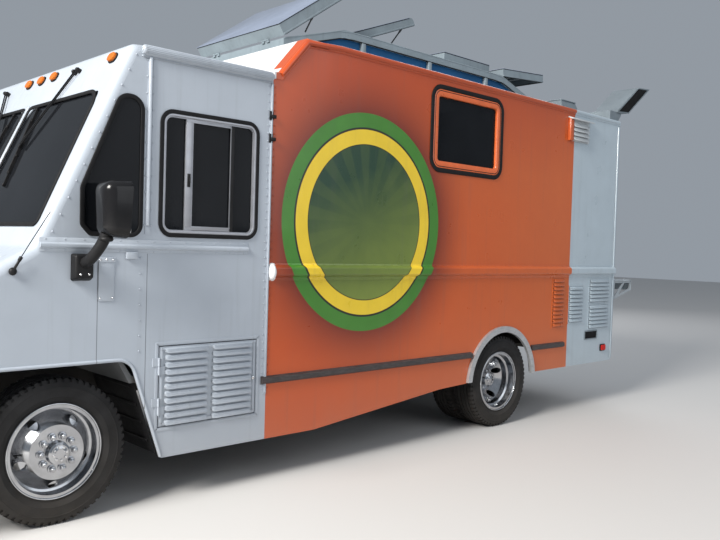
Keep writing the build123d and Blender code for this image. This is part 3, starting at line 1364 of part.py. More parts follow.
# Rear door, hinged on its right edge
with BuildPart() as rear_door:
    with BuildSketch(Plane.YZ.offset(REAR_X)):
        with Locations((sum(REAR_DOOR_Y) / 2, sum(REAR_DOOR_Z) / 2)):
            Rectangle(
                REAR_DOOR_Y[1] - REAR_DOOR_Y[0] - 2 * DOOR_GAP,
                REAR_DOOR_Z[1] - REAR_DOOR_Z[0] - 2 * DOOR_GAP,
            )
    extrude(amount=PANEL)
    for height in REAR_HINGE_Z:
        with Locations((REAR_X - BARREL_OUT, REAR_DOOR_Y[0], height - BARREL_LENGTH / 2 - 1)):
            Cylinder(BARREL_RADIUS, BARREL_LENGTH)
        with Locations((REAR_X - 3, REAR_DOOR_Y[0] + LEAF_REACH / 2, height - BARREL_LENGTH / 2 - 1)):
            Box(6, LEAF_REACH, BARREL_LENGTH)
    with Locations((REAR_X - 20, REAR_DOOR_Y[1] - 70, 1450)):
        Box(50, 24, 130)
finish(rear_door.part, "rear_door")

# Service awning: the right-hand hatch, hinged along its top edge and shut here
with BuildPart() as service_awning:
    with BuildSketch(side_plane(RIGHT)):
        add(box_outline(AWNING_X, AWNING_Z, grow=-DOOR_GAP))
    extrude(amount=wall_amount(RIGHT, PANEL))
    for hinge_x in AWNING_HINGES_X:
        with Locations((hinge_x - BARREL_LENGTH / 2 - 1, -HALF_WIDTH - BARREL_OUT, AWNING_Z[1])):
            Cylinder(BARREL_RADIUS, BARREL_LENGTH, rotation=(0, 90, 0))
        with Locations((hinge_x - BARREL_LENGTH / 2 - 1, -HALF_WIDTH - 3, AWNING_Z[1] - LEAF_REACH / 2)):
            Box(BARREL_LENGTH, 6, LEAF_REACH)
    with Locations((-100, -HALF_WIDTH - 14, AWNING_Z[0] + 60)):
        Box(220, 28, 20)
finish(service_awning.part, "service_awning")

# Body mouldings: the cab's belt, the seam strips and the kitchen's broad rail
BELT_Z = (1512, 1552)
BELT_FRONT_X = 2880
KITCHEN_RAIL_Z = (1348, 1438)
KITCHEN_RAIL_X = (-3205, 1345)
FRONT_SEAM_X = 2262
REAR_SEAM_X = 1386


def rail_outline(side, low_z, high_z, proud, edge):
    """Draws a moulding's section as (y, z) on a body side: flat at the wall and rounded outside."""
    wall = side * HALF_WIDTH
    out = side * (HALF_WIDTH + proud)
    with BuildSketch() as outline:
        with BuildLine():
            Polyline(
                (wall, low_z),
                (out, low_z + edge),
                (out, high_z - edge),
                (wall, high_z),
                close=True,
            )
        make_face()
        far = outline.vertices().group_by(Axis.X)[-1 if side == LEFT else 0]
        fillet(far, radius=edge * 0.7)
    return outline.sketch


with BuildPart() as body_mouldings:
    for s, belt_rear_x in ((LEFT, 1550), (RIGHT, 2290)):
        with BuildSketch(Plane.YZ.offset(belt_rear_x)):
            add(rail_outline(s, *BELT_Z, 16, 12))
        extrude(amount=BELT_FRONT_X - belt_rear_x)
        with BuildSketch(Plane.YZ.offset(KITCHEN_RAIL_X[0])):
            add(rail_outline(s, *KITCHEN_RAIL_Z, 30, 20))
        extrude(amount=KITCHEN_RAIL_X[1] - KITCHEN_RAIL_X[0])
        for seam_x, low_z, high_z in ((FRONT_SEAM_X, 1610, 2640), (REAR_SEAM_X, 580, 2600)):
            with Locations((seam_x, s * (HALF_WIDTH + 2), (low_z + high_z) / 2)):
                Box(30, 4, high_z - low_z)
finish(body_mouldings.part, "body_mouldings")

# Rub rails low on the kitchen and the bright rings round the rear wheel openings
RUB_RAIL_Z = (645, 700)
FLARE_OUTER_RADIUS = 500
FLARE_INNER_RADIUS = 446
with BuildPart() as rub_rails:
    for s in (LEFT, RIGHT):
        for rear_x, front_x in ((-800, 1420), (-2250, -1700)):
            with BuildSketch(Plane.YZ.offset(rear_x)):
                add(rail_outline(s, *RUB_RAIL_Z, 25, 10))
            extrude(amount=front_x - rear_x)
        # The front end is notched over the seam strip
        with Locations((REAR_SEAM_X, s * (HALF_WIDTH + 2), sum(RUB_RAIL_Z) / 2)):
            Box(30, 4, 60, mode=Mode.SUBTRACT)
        with BuildSketch(side_plane(s)):
            with Locations((REAR_ARCH_X, REAR_ARCH_Z)):
                Circle(FLARE_OUTER_RADIUS)
                Circle(FLARE_INNER_RADIUS, mode=Mode.SUBTRACT)
                with Locations((0, 40 - FLARE_OUTER_RADIUS)):
                    Rectangle(1100, 2 * FLARE_OUTER_RADIUS, mode=Mode.SUBTRACT)
        extrude(amount=-s * 25)
finish(rub_rails.part, "rub_rails")

# Mirrors: an upright head on a bent arm off the front corner of each side
with BuildPart() as mirrors:
    for s in (LEFT, RIGHT):
        with BuildSketch(Plane.XY.offset(1575)) as head:
            with Locations((2575, s * 1380)):
                Rectangle(150, 220)
            fillet(head.vertices().group_by(Axis.X)[-1], radius=60)
            fillet(head.vertices().group_by(Axis.X)[0], radius=12)
        extrude(amount=320)
        with Locations((2653, s * (HALF_WIDTH + 7), 1415)):
            Box(118, 14, 150)
        with BuildLine():
            arm = FilletPolyline(
                (2653, s * (HALF_WIDTH + 8), 1440),
                (2640, s * 1300, 1440),
                (2590, s * 1380, 1600),
                radius=50,
            )
        with BuildSketch(Plane(origin=arm @ 0, z_dir=arm % 0)):
            Circle(13)
        sweep(path=arm)
finish(mirrors.part, "mirrors")

# Wipers: a pivot on the header, two arms and a blade beside the centre post
WIPER_PIVOT_Y = 565
WIPER_PIVOT_S = (2590 - SCREEN_FOOT_Z) * SCREEN_LENGTH
BLADE_TOP = (200, (2400 - SCREEN_FOOT_Z) * SCREEN_LENGTH)
BLADE_FOOT = (290, (1877 - SCREEN_FOOT_Z) * SCREEN_LENGTH)


def slot_outline(start, end, width):
    """Draws a straight bar of a width between two points of a plane."""
    along = (Vector(*end) - Vector(*start)).normalized()
    across = Vector(-along.Y, along.X) * (width / 2)
    corners = [
        Vector(*start) + across,
        Vector(*end) + across,
        Vector(*end) - across,
        Vector(*start) - across,
    ]
    with BuildSketch() as outline:
        with BuildLine():
            Polyline(*[(corner.X, corner.Y) for corner in corners], close=True)
        make_face()
    return outline.sketch


with BuildPart() as wipers:
    for s in (LEFT, RIGHT):
        pivot = (s * WIPER_PIVOT_Y, WIPER_PIVOT_S)
        blade_top = (s * BLADE_TOP[0], BLADE_TOP[1])
        blade_foot = (s * BLADE_FOOT[0], BLADE_FOOT[1])
        grip = ((blade_top[0] + blade_foot[0]) / 2, (blade_top[1] + blade_foot[1]) / 2)
        with BuildSketch(SCREEN_PLANE.offset(0.1)):
            with Locations(pivot, (pivot[0] + s * 45, pivot[1] + 8)):
                Circle(15)
        extrude(amount=26)
        with BuildSketch(SCREEN_PLANE.offset(16)):
            add(slot_outline(pivot, grip, 9))
            add(slot_outline((pivot[0] + s * 45, pivot[1] + 8), (grip[0] + s * 22, grip[1] - 4), 7))
            add(slot_outline((grip[0] + s * 26, grip[1] - 4), (grip[0] - s * 8, grip[1]), 18))
        extrude(amount=7)
        with BuildSketch(SCREEN_PLANE.offset(-2)):
            add(slot_outline(blade_top, blade_foot, 12))
        extrude(amount=14)
        with BuildSketch(SCREEN_PLANE.offset(10)):
            with Locations(grip):
                Circle(10)
        extrude(amount=12)
finish(wipers.part, "wipers")

# Lamps: two round headlamps, amber markers on the header and red side markers
with BuildPart() as headlamps:
    for s in (LEFT, RIGHT):
        with BuildSketch(Plane.YZ.offset(NOSE_X - 60)):
            with Locations((s * HEADLAMP_Y, HEADLAMP_Z)):
                Circle(HEADLAMP_RADIUS - 2)
        extrude(amount=66)
    fillet(headlamps.edges().group_by(Axis.X)[-1], radius=12)
finish(headlamps.part, "headlamps")

MARKER_S = (2617 - SCREEN_FOOT_Z) * SCREEN_LENGTH
with BuildPart() as marker_lamps:
    with BuildSketch(SCREEN_PLANE.offset(0.1)):
        with Locations(*[(y, MARKER_S) for y in (-1030, -210, 0, 210, 1030)]):
            RectangleRounded(78, 34, 14)
    extrude(amount=18)
finish(marker_lamps.part, "marker_lamps")

# Rear bumper on brackets off the rails
with BuildPart() as rear_bumper:
    with BuildSketch(Plane.XY.offset(450)):
        with BuildLine():
            Polyline(
                (REAR_X - 17, -900),
                (REAR_X - 17, 900),
                (REAR_X - 47, 1000),
                (REAR_X - 117, 1000),
                (REAR_X - 117, -1000),
                (REAR_X - 47, -1000),
                close=True,
            )
        make_face()
    extrude(amount=110)
    for s in (LEFT, RIGHT):
        with Locations(((REAR_X - 20 + RAIL_REAR_X + 60) / 2, s * RAIL_Y, 475)):
            Box(RAIL_REAR_X + 60 - REAR_X + 20, 70, 40)
        with Locations((RAIL_REAR_X + 30, s * RAIL_Y, (495 + RAIL_BOTTOM_Z) / 2)):
            Box(60, 70, RAIL_BOTTOM_Z - 495)
finish(rear_bumper.part, "rear_bumper")

# Rear shelf: a sheet with a deep front lip on cut-out gussets
SHELF_TOP_Z = 1293
SHELF_END_X = -3610
with BuildPart() as rear_shelf:
    with Locations(((REAR_X + SHELF_END_X) / 2, 620, SHELF_TOP_Z - 4)):
        Box(REAR_X - SHELF_END_X, 1140, 8)
    with Locations((SHELF_END_X + 4, 620, SHELF_TOP_Z - 55)):
        Box(8, 1140, 110)
    with BuildSketch(Plane.XZ.offset(-1186)):
        with BuildLine():
            Polyline(
                (REAR_X, SHELF_TOP_Z - 4),
                (SHELF_END_X + 4, SHELF_TOP_Z - 4),
                (SHELF_END_X + 4, 1183),
                (REAR_X, 1080),
                close=True,
            )
        make_face()
        with BuildLine():
            Polyline((REAR_X - 40, 1262), (REAR_X - 215, 1262), (REAR_X - 40, 1122), close=True)
        make_face(mode=Mode.SUBTRACT)
        with BuildLine():
            Polyline(
                (REAR_X - 250, 1262),
                (SHELF_END_X + 30, 1262),
                (SHELF_END_X + 30, 1205),
                (REAR_X - 130, 1142),
                close=True,
            )
        make_face(mode=Mode.SUBTRACT)
    extrude(amount=8)
    with BuildSketch(Plane.XZ.offset(-62)):
        with BuildLine():
            Polyline(
                (REAR_X, SHELF_TOP_Z - 4),
                (SHELF_END_X + 4, SHELF_TOP_Z - 4),
                (REAR_X, 1080),
                close=True,
            )
        make_face()
    extrude(amount=8)
finish(rear_shelf.part, "rear_shelf")

# Driver's place: dashboard with the steering column, the wheel and the seat
WHEEL_CENTRE = (2290, 650, 1370)
COLUMN_FOOT = (2600, 650, 965)
with BuildPart() as dashboard:
    with BuildSketch(Plane.XZ.offset(-BODY_INNER + 10)):
        with BuildLine():
            Polyline(
                (2855, COVER_TOP_Z + 10),
                (2620, COVER_TOP_Z + 10),
                (2545, 1320),
                (2565, 1430),
                (2640, 1492),
                (2855, 1492),
                close=True,
            )
        make_face()
    extrude(amount=2 * (BODY_INNER - 10))
    with BuildLine():
        column = Line(
            Vector(*WHEEL_CENTRE) * 0.72 + Vector(*COLUMN_FOOT) * 0.28,
            Vector(*WHEEL_CENTRE) * 0.008 + Vector(*COLUMN_FOOT) * 0.992,
        )
    with BuildSketch(Plane(origin=column @ 0, z_dir=column % 0)):
        Circle(27)
    sweep(path=column)
    with Locations((2520, 650, 1262)):
        Box(230, 60, 44)
finish(dashboard.part, "dashboard")

with BuildPart() as steering_wheel:
    wheel_axis = (Vector(*WHEEL_CENTRE) - Vector(*COLUMN_FOOT)).normalized()
    wheel_plane = Plane(origin=WHEEL_CENTRE, x_dir=(0, 1, 0), z_dir=wheel_axis)
    with Locations(wheel_plane.location):
        Torus(215, 14)
        Cylinder(48, 36)
        with PolarLocations(110, 3, start_angle=90):
            Box(200, 26, 12)
        with Locations((0, 0, -68)):
            Cylinder(16, 120)
finish(steering_wheel.part, "steering_wheel")

with BuildPart() as seat:
    with Locations((1890, 650, (FLOOR_Z + 1090) / 2)):
        Box(360, 340, 1090 - FLOOR_Z)
    with Locations((1900, 650, 1145)):
        Box(480, 470, 110)
    with BuildSketch(Plane.XZ.offset(-(650 + 225))):
        with BuildLine():
            Polyline((1700, 1130), (1600, 1820), (1510, 1810), (1600, 1120), close=True)
        make_face()
    extrude(amount=450)
    fillet(seat.edges().filter_by(Axis.Y).group_by(Axis.Z)[-1], radius=30)
finish(seat.part, "seat")
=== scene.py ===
"""Looks of the catering truck: finishes for the CAD nodes, and the trim and fittings laid over them.

Metres: +X is forward, +Y is the driver's side, +Z is up, and the ground is z = 0. Pieces are drawn with
x = 0 midway between the front bumper and the rear shelf, and hand_over() moves them by DATUM_X into the
CAD frame, whose origin is the middle of the whole box.
"""

import logging
import math
from dataclasses import dataclass, replace
from enum import Enum
from typing import Callable, Sequence

import bmesh
import bpy
from mathutils import Matrix, Vector


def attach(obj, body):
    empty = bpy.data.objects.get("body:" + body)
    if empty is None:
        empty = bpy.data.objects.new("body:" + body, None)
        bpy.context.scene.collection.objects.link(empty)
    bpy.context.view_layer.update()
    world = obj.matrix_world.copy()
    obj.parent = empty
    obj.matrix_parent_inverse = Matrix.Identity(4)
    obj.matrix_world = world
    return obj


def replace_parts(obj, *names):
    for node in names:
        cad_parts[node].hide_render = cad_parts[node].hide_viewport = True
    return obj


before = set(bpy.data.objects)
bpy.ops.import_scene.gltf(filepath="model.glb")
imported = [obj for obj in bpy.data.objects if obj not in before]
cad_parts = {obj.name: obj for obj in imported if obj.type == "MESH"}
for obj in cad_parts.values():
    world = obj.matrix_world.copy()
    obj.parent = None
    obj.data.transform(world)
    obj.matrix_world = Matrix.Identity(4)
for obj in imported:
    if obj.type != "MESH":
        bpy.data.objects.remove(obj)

logging.basicConfig(level=logging.INFO, format="%(message)s")
LOG = logging.getLogger("truck")

Piece = bpy.types.Object
Point = tuple[float, float, float]
Colour = tuple[float, float, float]
Corner = tuple[float, float]

SKIN_Y = 1.19
CAB_REAR_X = 1.375
GREY_FROM_X = -2.325
REAR_X = -3.213
SCREEN_LEAN = 0.46
SCREEN_FOOT = (2.89, 1.575)
DATUM_X = 0.136
DARK = 0.04
WAVE = 6.283
HAIR = 1e-4
SQUARELY = 0.9


class Side(Enum):
    """The two long sides of the truck, by the sign of Y."""

    LEFT = 1
    RIGHT = -1

    @property
    def tag(self) -> str:
        """The side's name, as it ends its pieces' names."""
        return self.name.lower()


class Socket:
    """A shader socket whose arithmetic adds Math nodes to its tree."""

    def __init__(self, tree: bpy.types.NodeTree, output: bpy.types.NodeSocket) -> None:
        """Wraps an output socket of a tree."""
        self.tree = tree
        self.output = output

    def math(
        self, operation: str, *others: "Socket | float", first: "Socket | float | None" = None
    ) -> "Socket":
        """Adds one Math node.

        Args:
            operation: Blender's name of the operation.
            others: The operands after the first.
            first: The first operand, where it isn't this socket.

        Returns:
            The node's result.
        """
        node = self.tree.nodes.new("ShaderNodeMath")
        node.operation = operation
        operands = (self if first is None else first, *others)
        for place, operand in zip(node.inputs, operands):
            if isinstance(operand, Socket):
                self.tree.links.new(operand.output, place)
            else:
                place.default_value = operand
        return Socket(self.tree, node.outputs[0])

    def __add__(self, other: "Socket | float") -> "Socket":
        """Returns the sum."""
        return self.math("ADD", other)

    __radd__ = __add__

    def __mul__(self, other: "Socket | float") -> "Socket":
        """Returns the product."""
        return self.math("MULTIPLY", other)

    __rmul__ = __mul__

    def __sub__(self, other: "Socket | float") -> "Socket":
        """Returns the difference."""
        return self.math("SUBTRACT", other)

    def __rsub__(self, other: float) -> "Socket":
        """Returns a number less this value."""
        return self.math("SUBTRACT", self, first=other)

    def __truediv__(self, other: "Socket | float") -> "Socket":
        """Returns the quotient."""
        return self.math("DIVIDE", other)

    def __pow__(self, power: float) -> "Socket":
        """Returns this value raised to a power."""
        return self.math("POWER", power)

    def __abs__(self) -> "Socket":
        """Returns the size of this value."""
        return self.math("ABSOLUTE", 0.0)

    def least(self, other: "Socket | float") -> "Socket":
        """Returns the smaller of two values."""
        return self.math("MINIMUM", other)

    def most(self, other: "Socket | float") -> "Socket":
        """Returns the larger of two values."""
        return self.math("MAXIMUM", other)

    def share(self) -> "Socket":
        """Returns this value held between 0 and 1."""
        return self.most(0.0).least(1.0)

    def above(self, edge: "Socket | float", soft: float = 0.0) -> "Socket":
        """Returns 1 where this value is over an edge and 0 under it.

        Args:
            edge: The value at the middle of the step.
            soft: The width over which the step rises, or 0 for a sharp one.

        Returns:
            The mask.
        """
        if soft == 0:
            return self.math("GREATER_THAN", edge)
        return ((self - edge) / soft + 0.5).share()

    def below(self, edge: "Socket | float", soft: float = 0.0) -> "Socket":
        """Returns 1 where this value is under an edge and 0 over it."""
        return 1 - self.above(edge, soft)


Feed = "Socket | float | Sequence[float]"


class Recipe:
    """One material's node tree, with its Principled shader ready to be fed."""

    def __init__(self, name: str) -> None:
        """Starts an empty material of that name."""
        self.material = bpy.data.materials.new(name)
        self.material.use_nodes = True
        self.tree = self.material.node_tree
        self.tree.nodes.clear()
        self.shader = self.tree.nodes.new("ShaderNodeBsdfPrincipled")
        output = self.tree.nodes.new("ShaderNodeOutputMaterial")
        self.tree.links.new(self.shader.outputs[0], output.inputs[0])
        self.place: Socket | None = None

    def feed(self, target: bpy.types.NodeSocket, source: Feed) -> None:
        """Links or sets one input socket."""
        if isinstance(source, Socket):
            self.tree.links.new(source.output, target)
        elif isinstance(source, (int, float)) or len(source) != 3 or target.type == "VECTOR":
            target.default_value = source
        else:
            target.default_value = (*source, 1.0)

    def add(
        self, kind: str, settings: dict | None = None, sockets: dict | None = None, out: int = 0
    ) -> Socket:
        """Adds any node.

        Args:
            kind: The node's type.
            settings: Its properties, set before its sockets; "stops" fills a colour ramp.
            sockets: A value or a link for each named or numbered input.
            out: Which output to return.

        Returns:
            The chosen output.
        """
        node = self.tree.nodes.new(kind)
        for key, value in (settings or {}).items():
            if key == "stops":
                ramp = node.color_ramp.elements
                while len(ramp) < len(value):
                    ramp.new(0.5)
                for element, (position, colour) in zip(ramp, value):
                    element.position = position
                    element.color = (*colour, 1.0)
            else:
                setattr(node, key, value)
        for key, value in (sockets or {}).items():
            self.feed(node.inputs[key], value)
        return Socket(self.tree, node.outputs[out])

    def spot(self) -> Socket:
        """Returns the shaded point's Object coordinates."""
        if self.place is None:
            self.place = self.add("ShaderNodeTexCoord", out=3)
        return self.place

    def axes(self) -> tuple[Socket, Socket, Socket]:
        """Returns X, Y and Z at the shaded point, in the drawing's coordinates."""
        split = self.tree.nodes.new("ShaderNodeSeparateXYZ")
        self.tree.links.new(self.spot().output, split.inputs[0])
        x, y, z = (Socket(self.tree, split.outputs[axis]) for axis in range(3))
        return x - DATUM_X, y, z

    def noise(self, scale: float, detail: float = 3, stretch: Point = (1, 1, 1)) -> Socket:
        """Returns a noise of a scale per metre, drawn out along an axis by stretch."""
        at = self.add("ShaderNodeMapping", None, {"Vector": self.spot(), "Scale": stretch})
        sockets = {"Vector": at, "Scale": scale, "Detail": detail, "Roughness": 0.5}
        return self.add("ShaderNodeTexNoise", None, sockets)

    def runs(self, scale: float, stretch: Point, edge: float = 0.62) -> Socket:
        """Returns the streaks that rain leaves, drawn out by stretch."""
        return self.noise(scale, 3, stretch).above(edge, 0.2)

    def mix(self, amount: Feed, low: Feed, high: Feed) -> Socket:
        """Returns a blend of two colours."""
        node = self.tree.nodes.new("ShaderNodeMix")
        node.data_type = "RGBA"
        node.clamp_factor = True
        self.feed(node.inputs[0], amount)
        self.feed(node.inputs[6], low)
        self.feed(node.inputs[7], high)
        return Socket(self.tree, node.outputs[2])

    def swing(self, amount: Feed, colour: Colour, down: float, up: float) -> Socket:
        """Returns a colour that swings between two factors of itself."""
        return self.mix(amount, shade(colour, down), shade(colour, up))

    def bump(self, height: Socket) -> None:
        """Feeds the shader's normal from a height in metres."""
        sockets = {"Strength": 1.0, "Distance": 1.0, "Height": height}
        self.set(normal=self.add("ShaderNodeBump", None, sockets))

    def set(self, **values: Feed) -> None:
        """Feeds the shader's sockets, named with underscores for spaces."""
        for key, value in values.items():
            self.feed(self.shader.inputs[key.replace("_", " ").title().replace("Ior", "IOR")], value)


def shade(colour: Colour, factor: float) -> Colour:
    """Returns a colour made lighter or darker by a factor."""
    return tuple(min(1.0, part * factor) for part in colour)


@dataclass(frozen=True)
class Finish:
    """A surface of one colour with its grain, dust and wear.

    Args:
        colour: The clean colour, linear.
        rough: The roughness of the clean surface.
        metal: How metallic it is.
        uneven: How far the colour swings from place to place.
        patch: The size of those places per metre.
        rough_spread: How far the roughness swings.
        grain: The bump's scale per metre.
        grain_height: The bump's height in metres.
        stretch: The bump's and patches' stretch along each axis.
        coat: The clear coat's weight.
        dust: How strongly road dust gathers low down.
        dust_top: The height at which the dust ends.
        waves: The height of the slow waves of sheet metal, in metres.
        streaks: How strong the rain streaks are.
    """

    colour: Colour
    rough: float = 0.5
    metal: float = 0.0
    uneven: float = 0.15
    patch: float = 3.0
    rough_spread: float = 0.12
    grain: float = 220.0
    grain_height: float = 0.0002
    stretch: Point = (1, 1, 1)
    coat: float = 0.0
    dust: float = 0.0
    dust_top: float = 0.9
    waves: float = 0.0
    streaks: float = 0.0

    def paint(self, recipe: Recipe) -> Feed:
        """Returns the clean colour before dust and streaks."""
        spots = recipe.noise(self.patch, 4, self.stretch)
        darker, lighter = shade(self.colour, 1 - self.uneven), shade(self.colour, 1 + self.uneven * 0.6)
        return recipe.add("ShaderNodeValToRGB", {"stops": [(0.3, darker), (0.7, lighter)]}, {0: spots})

    def build(self, name: str) -> bpy.types.Material:
        """Builds the material.

        Args:
            name: The material's name.

        Returns:
            The finished material.
        """
        recipe = Recipe(name)
        colour = self.paint(recipe)
        grain = recipe.noise(self.grain, 2, self.stretch)
        cloud = recipe.noise(self.patch * 2.3, 3, self.stretch)
        rough = (cloud - 0.5) * (2 * self.rough_spread) + self.rough
        height = grain * self.grain_height
        if self.waves:
            height = height + recipe.noise(2.2, 1) * self.waves
        if self.streaks:
            runs = recipe.runs(26, (1, 1, 0.05))
            colour = recipe.mix(runs * self.streaks, colour, shade(self.colour, 0.45))
        if self.dust:
            low = ((self.dust_top - recipe.axes()[2]) / self.dust_top).share()
            cover = low * low * self.dust * (cloud + 0.5)
            colour = recipe.mix(cover, colour, DUST)
            rough = rough + cover * 0.35
        if max(self.colour) < DARK:
            recipe.set(specular_ior_level=0.2)
        recipe.bump(height)
        recipe.set(base_color=colour, roughness=rough, metallic=self.metal)
        if self.coat:
            recipe.set(coat_weight=self.coat, coat_roughness=0.04)
        return recipe.material


@dataclass(frozen=True)
class Glass:
    """Window glass or a lens that lets some of what is behind it through.

    Args:
        colour: The colour of the pane.
        alpha: How much of it shows against what is behind.
        rough: Its roughness.
        uneven: How far the film on it changes its colour.
        glow: The colour that a lens gives off, or None.
        ribs: Ribs per metre across Y in a moulded lens, or 0.
    """

    colour: Colour
    alpha: float = 0.6
    rough: float = 0.04
    uneven: float = 0.2
    glow: Colour | None = None
    ribs: float = 0.0

    def build(self, name: str) -> bpy.types.Material:
        """Builds the material of that name."""
        recipe = Recipe(name)
        film = recipe.noise(2.4, 4, (1, 1, 0.6))
        smear = recipe.noise(30, 3, (1, 1, 0.25))
        colour = recipe.swing(film, self.colour, 1 - self.uneven, 1 + self.uneven)
        rough = smear.above(0.55, 0.3) * 0.07 + self.rough
        alpha = film.above(0.5, 0.6) * 0.12 + (self.alpha - 0.06)
        recipe.set(base_color=colour, roughness=rough, alpha=alpha.least(1.0), ior=1.5)
        height = film * 0.0006
        if self.ribs:
            _, y, z = recipe.axes()
            across, up = ((axis * self.ribs * WAVE).math("SINE") for axis in (y, z))
            height = height + (across + up) * 0.0008
        recipe.bump(height)
        recipe.set(specular_ior_level=0.1)
        if self.glow:
            recipe.set(emission_color=self.glow, emission_strength=0.25)
        return recipe.material


ORANGE = (0.52, 0.078, 0.012)
ORANGE_LIGHT = (0.58, 0.14, 0.035)
ORANGE_RED = (0.34, 0.04, 0.013)
HALO_RED = (0.15, 0.022, 0.011)
RING_GREEN = (0.05, 0.19, 0.022)
RING_YELLOW = (0.78, 0.55, 0.03)
DISC_DARK = (0.012, 0.045, 0.022)
DISC_LIGHT = (0.20, 0.26, 0.045)
# The cab's white paint, given as the darker blue-grey of its shaded side: painted shade. The strong key lamp
# brings the front back up to white.
CAB_WHITE_AS_SHADED = (0.385, 0.428, 0.485)
TAIL_GREY = (0.42, 0.495, 0.55)
ROOF_WHITE = (0.66, 0.68, 0.70)
RING_BLACK = (0.012, 0.014, 0.01)
ROOM_GREYS = ((0.36, 0.37, 0.38), (0.44, 0.45, 0.46))
# Near black: undercoat, together with painted shade for the deep shade of the wheel wells.
UNDERCOAT_AND_WELL_SHADE = (0.02, 0.02, 0.02)
SEAM_GREY = (0.05, 0.05, 0.055)
DUST = (0.26, 0.22, 0.175)


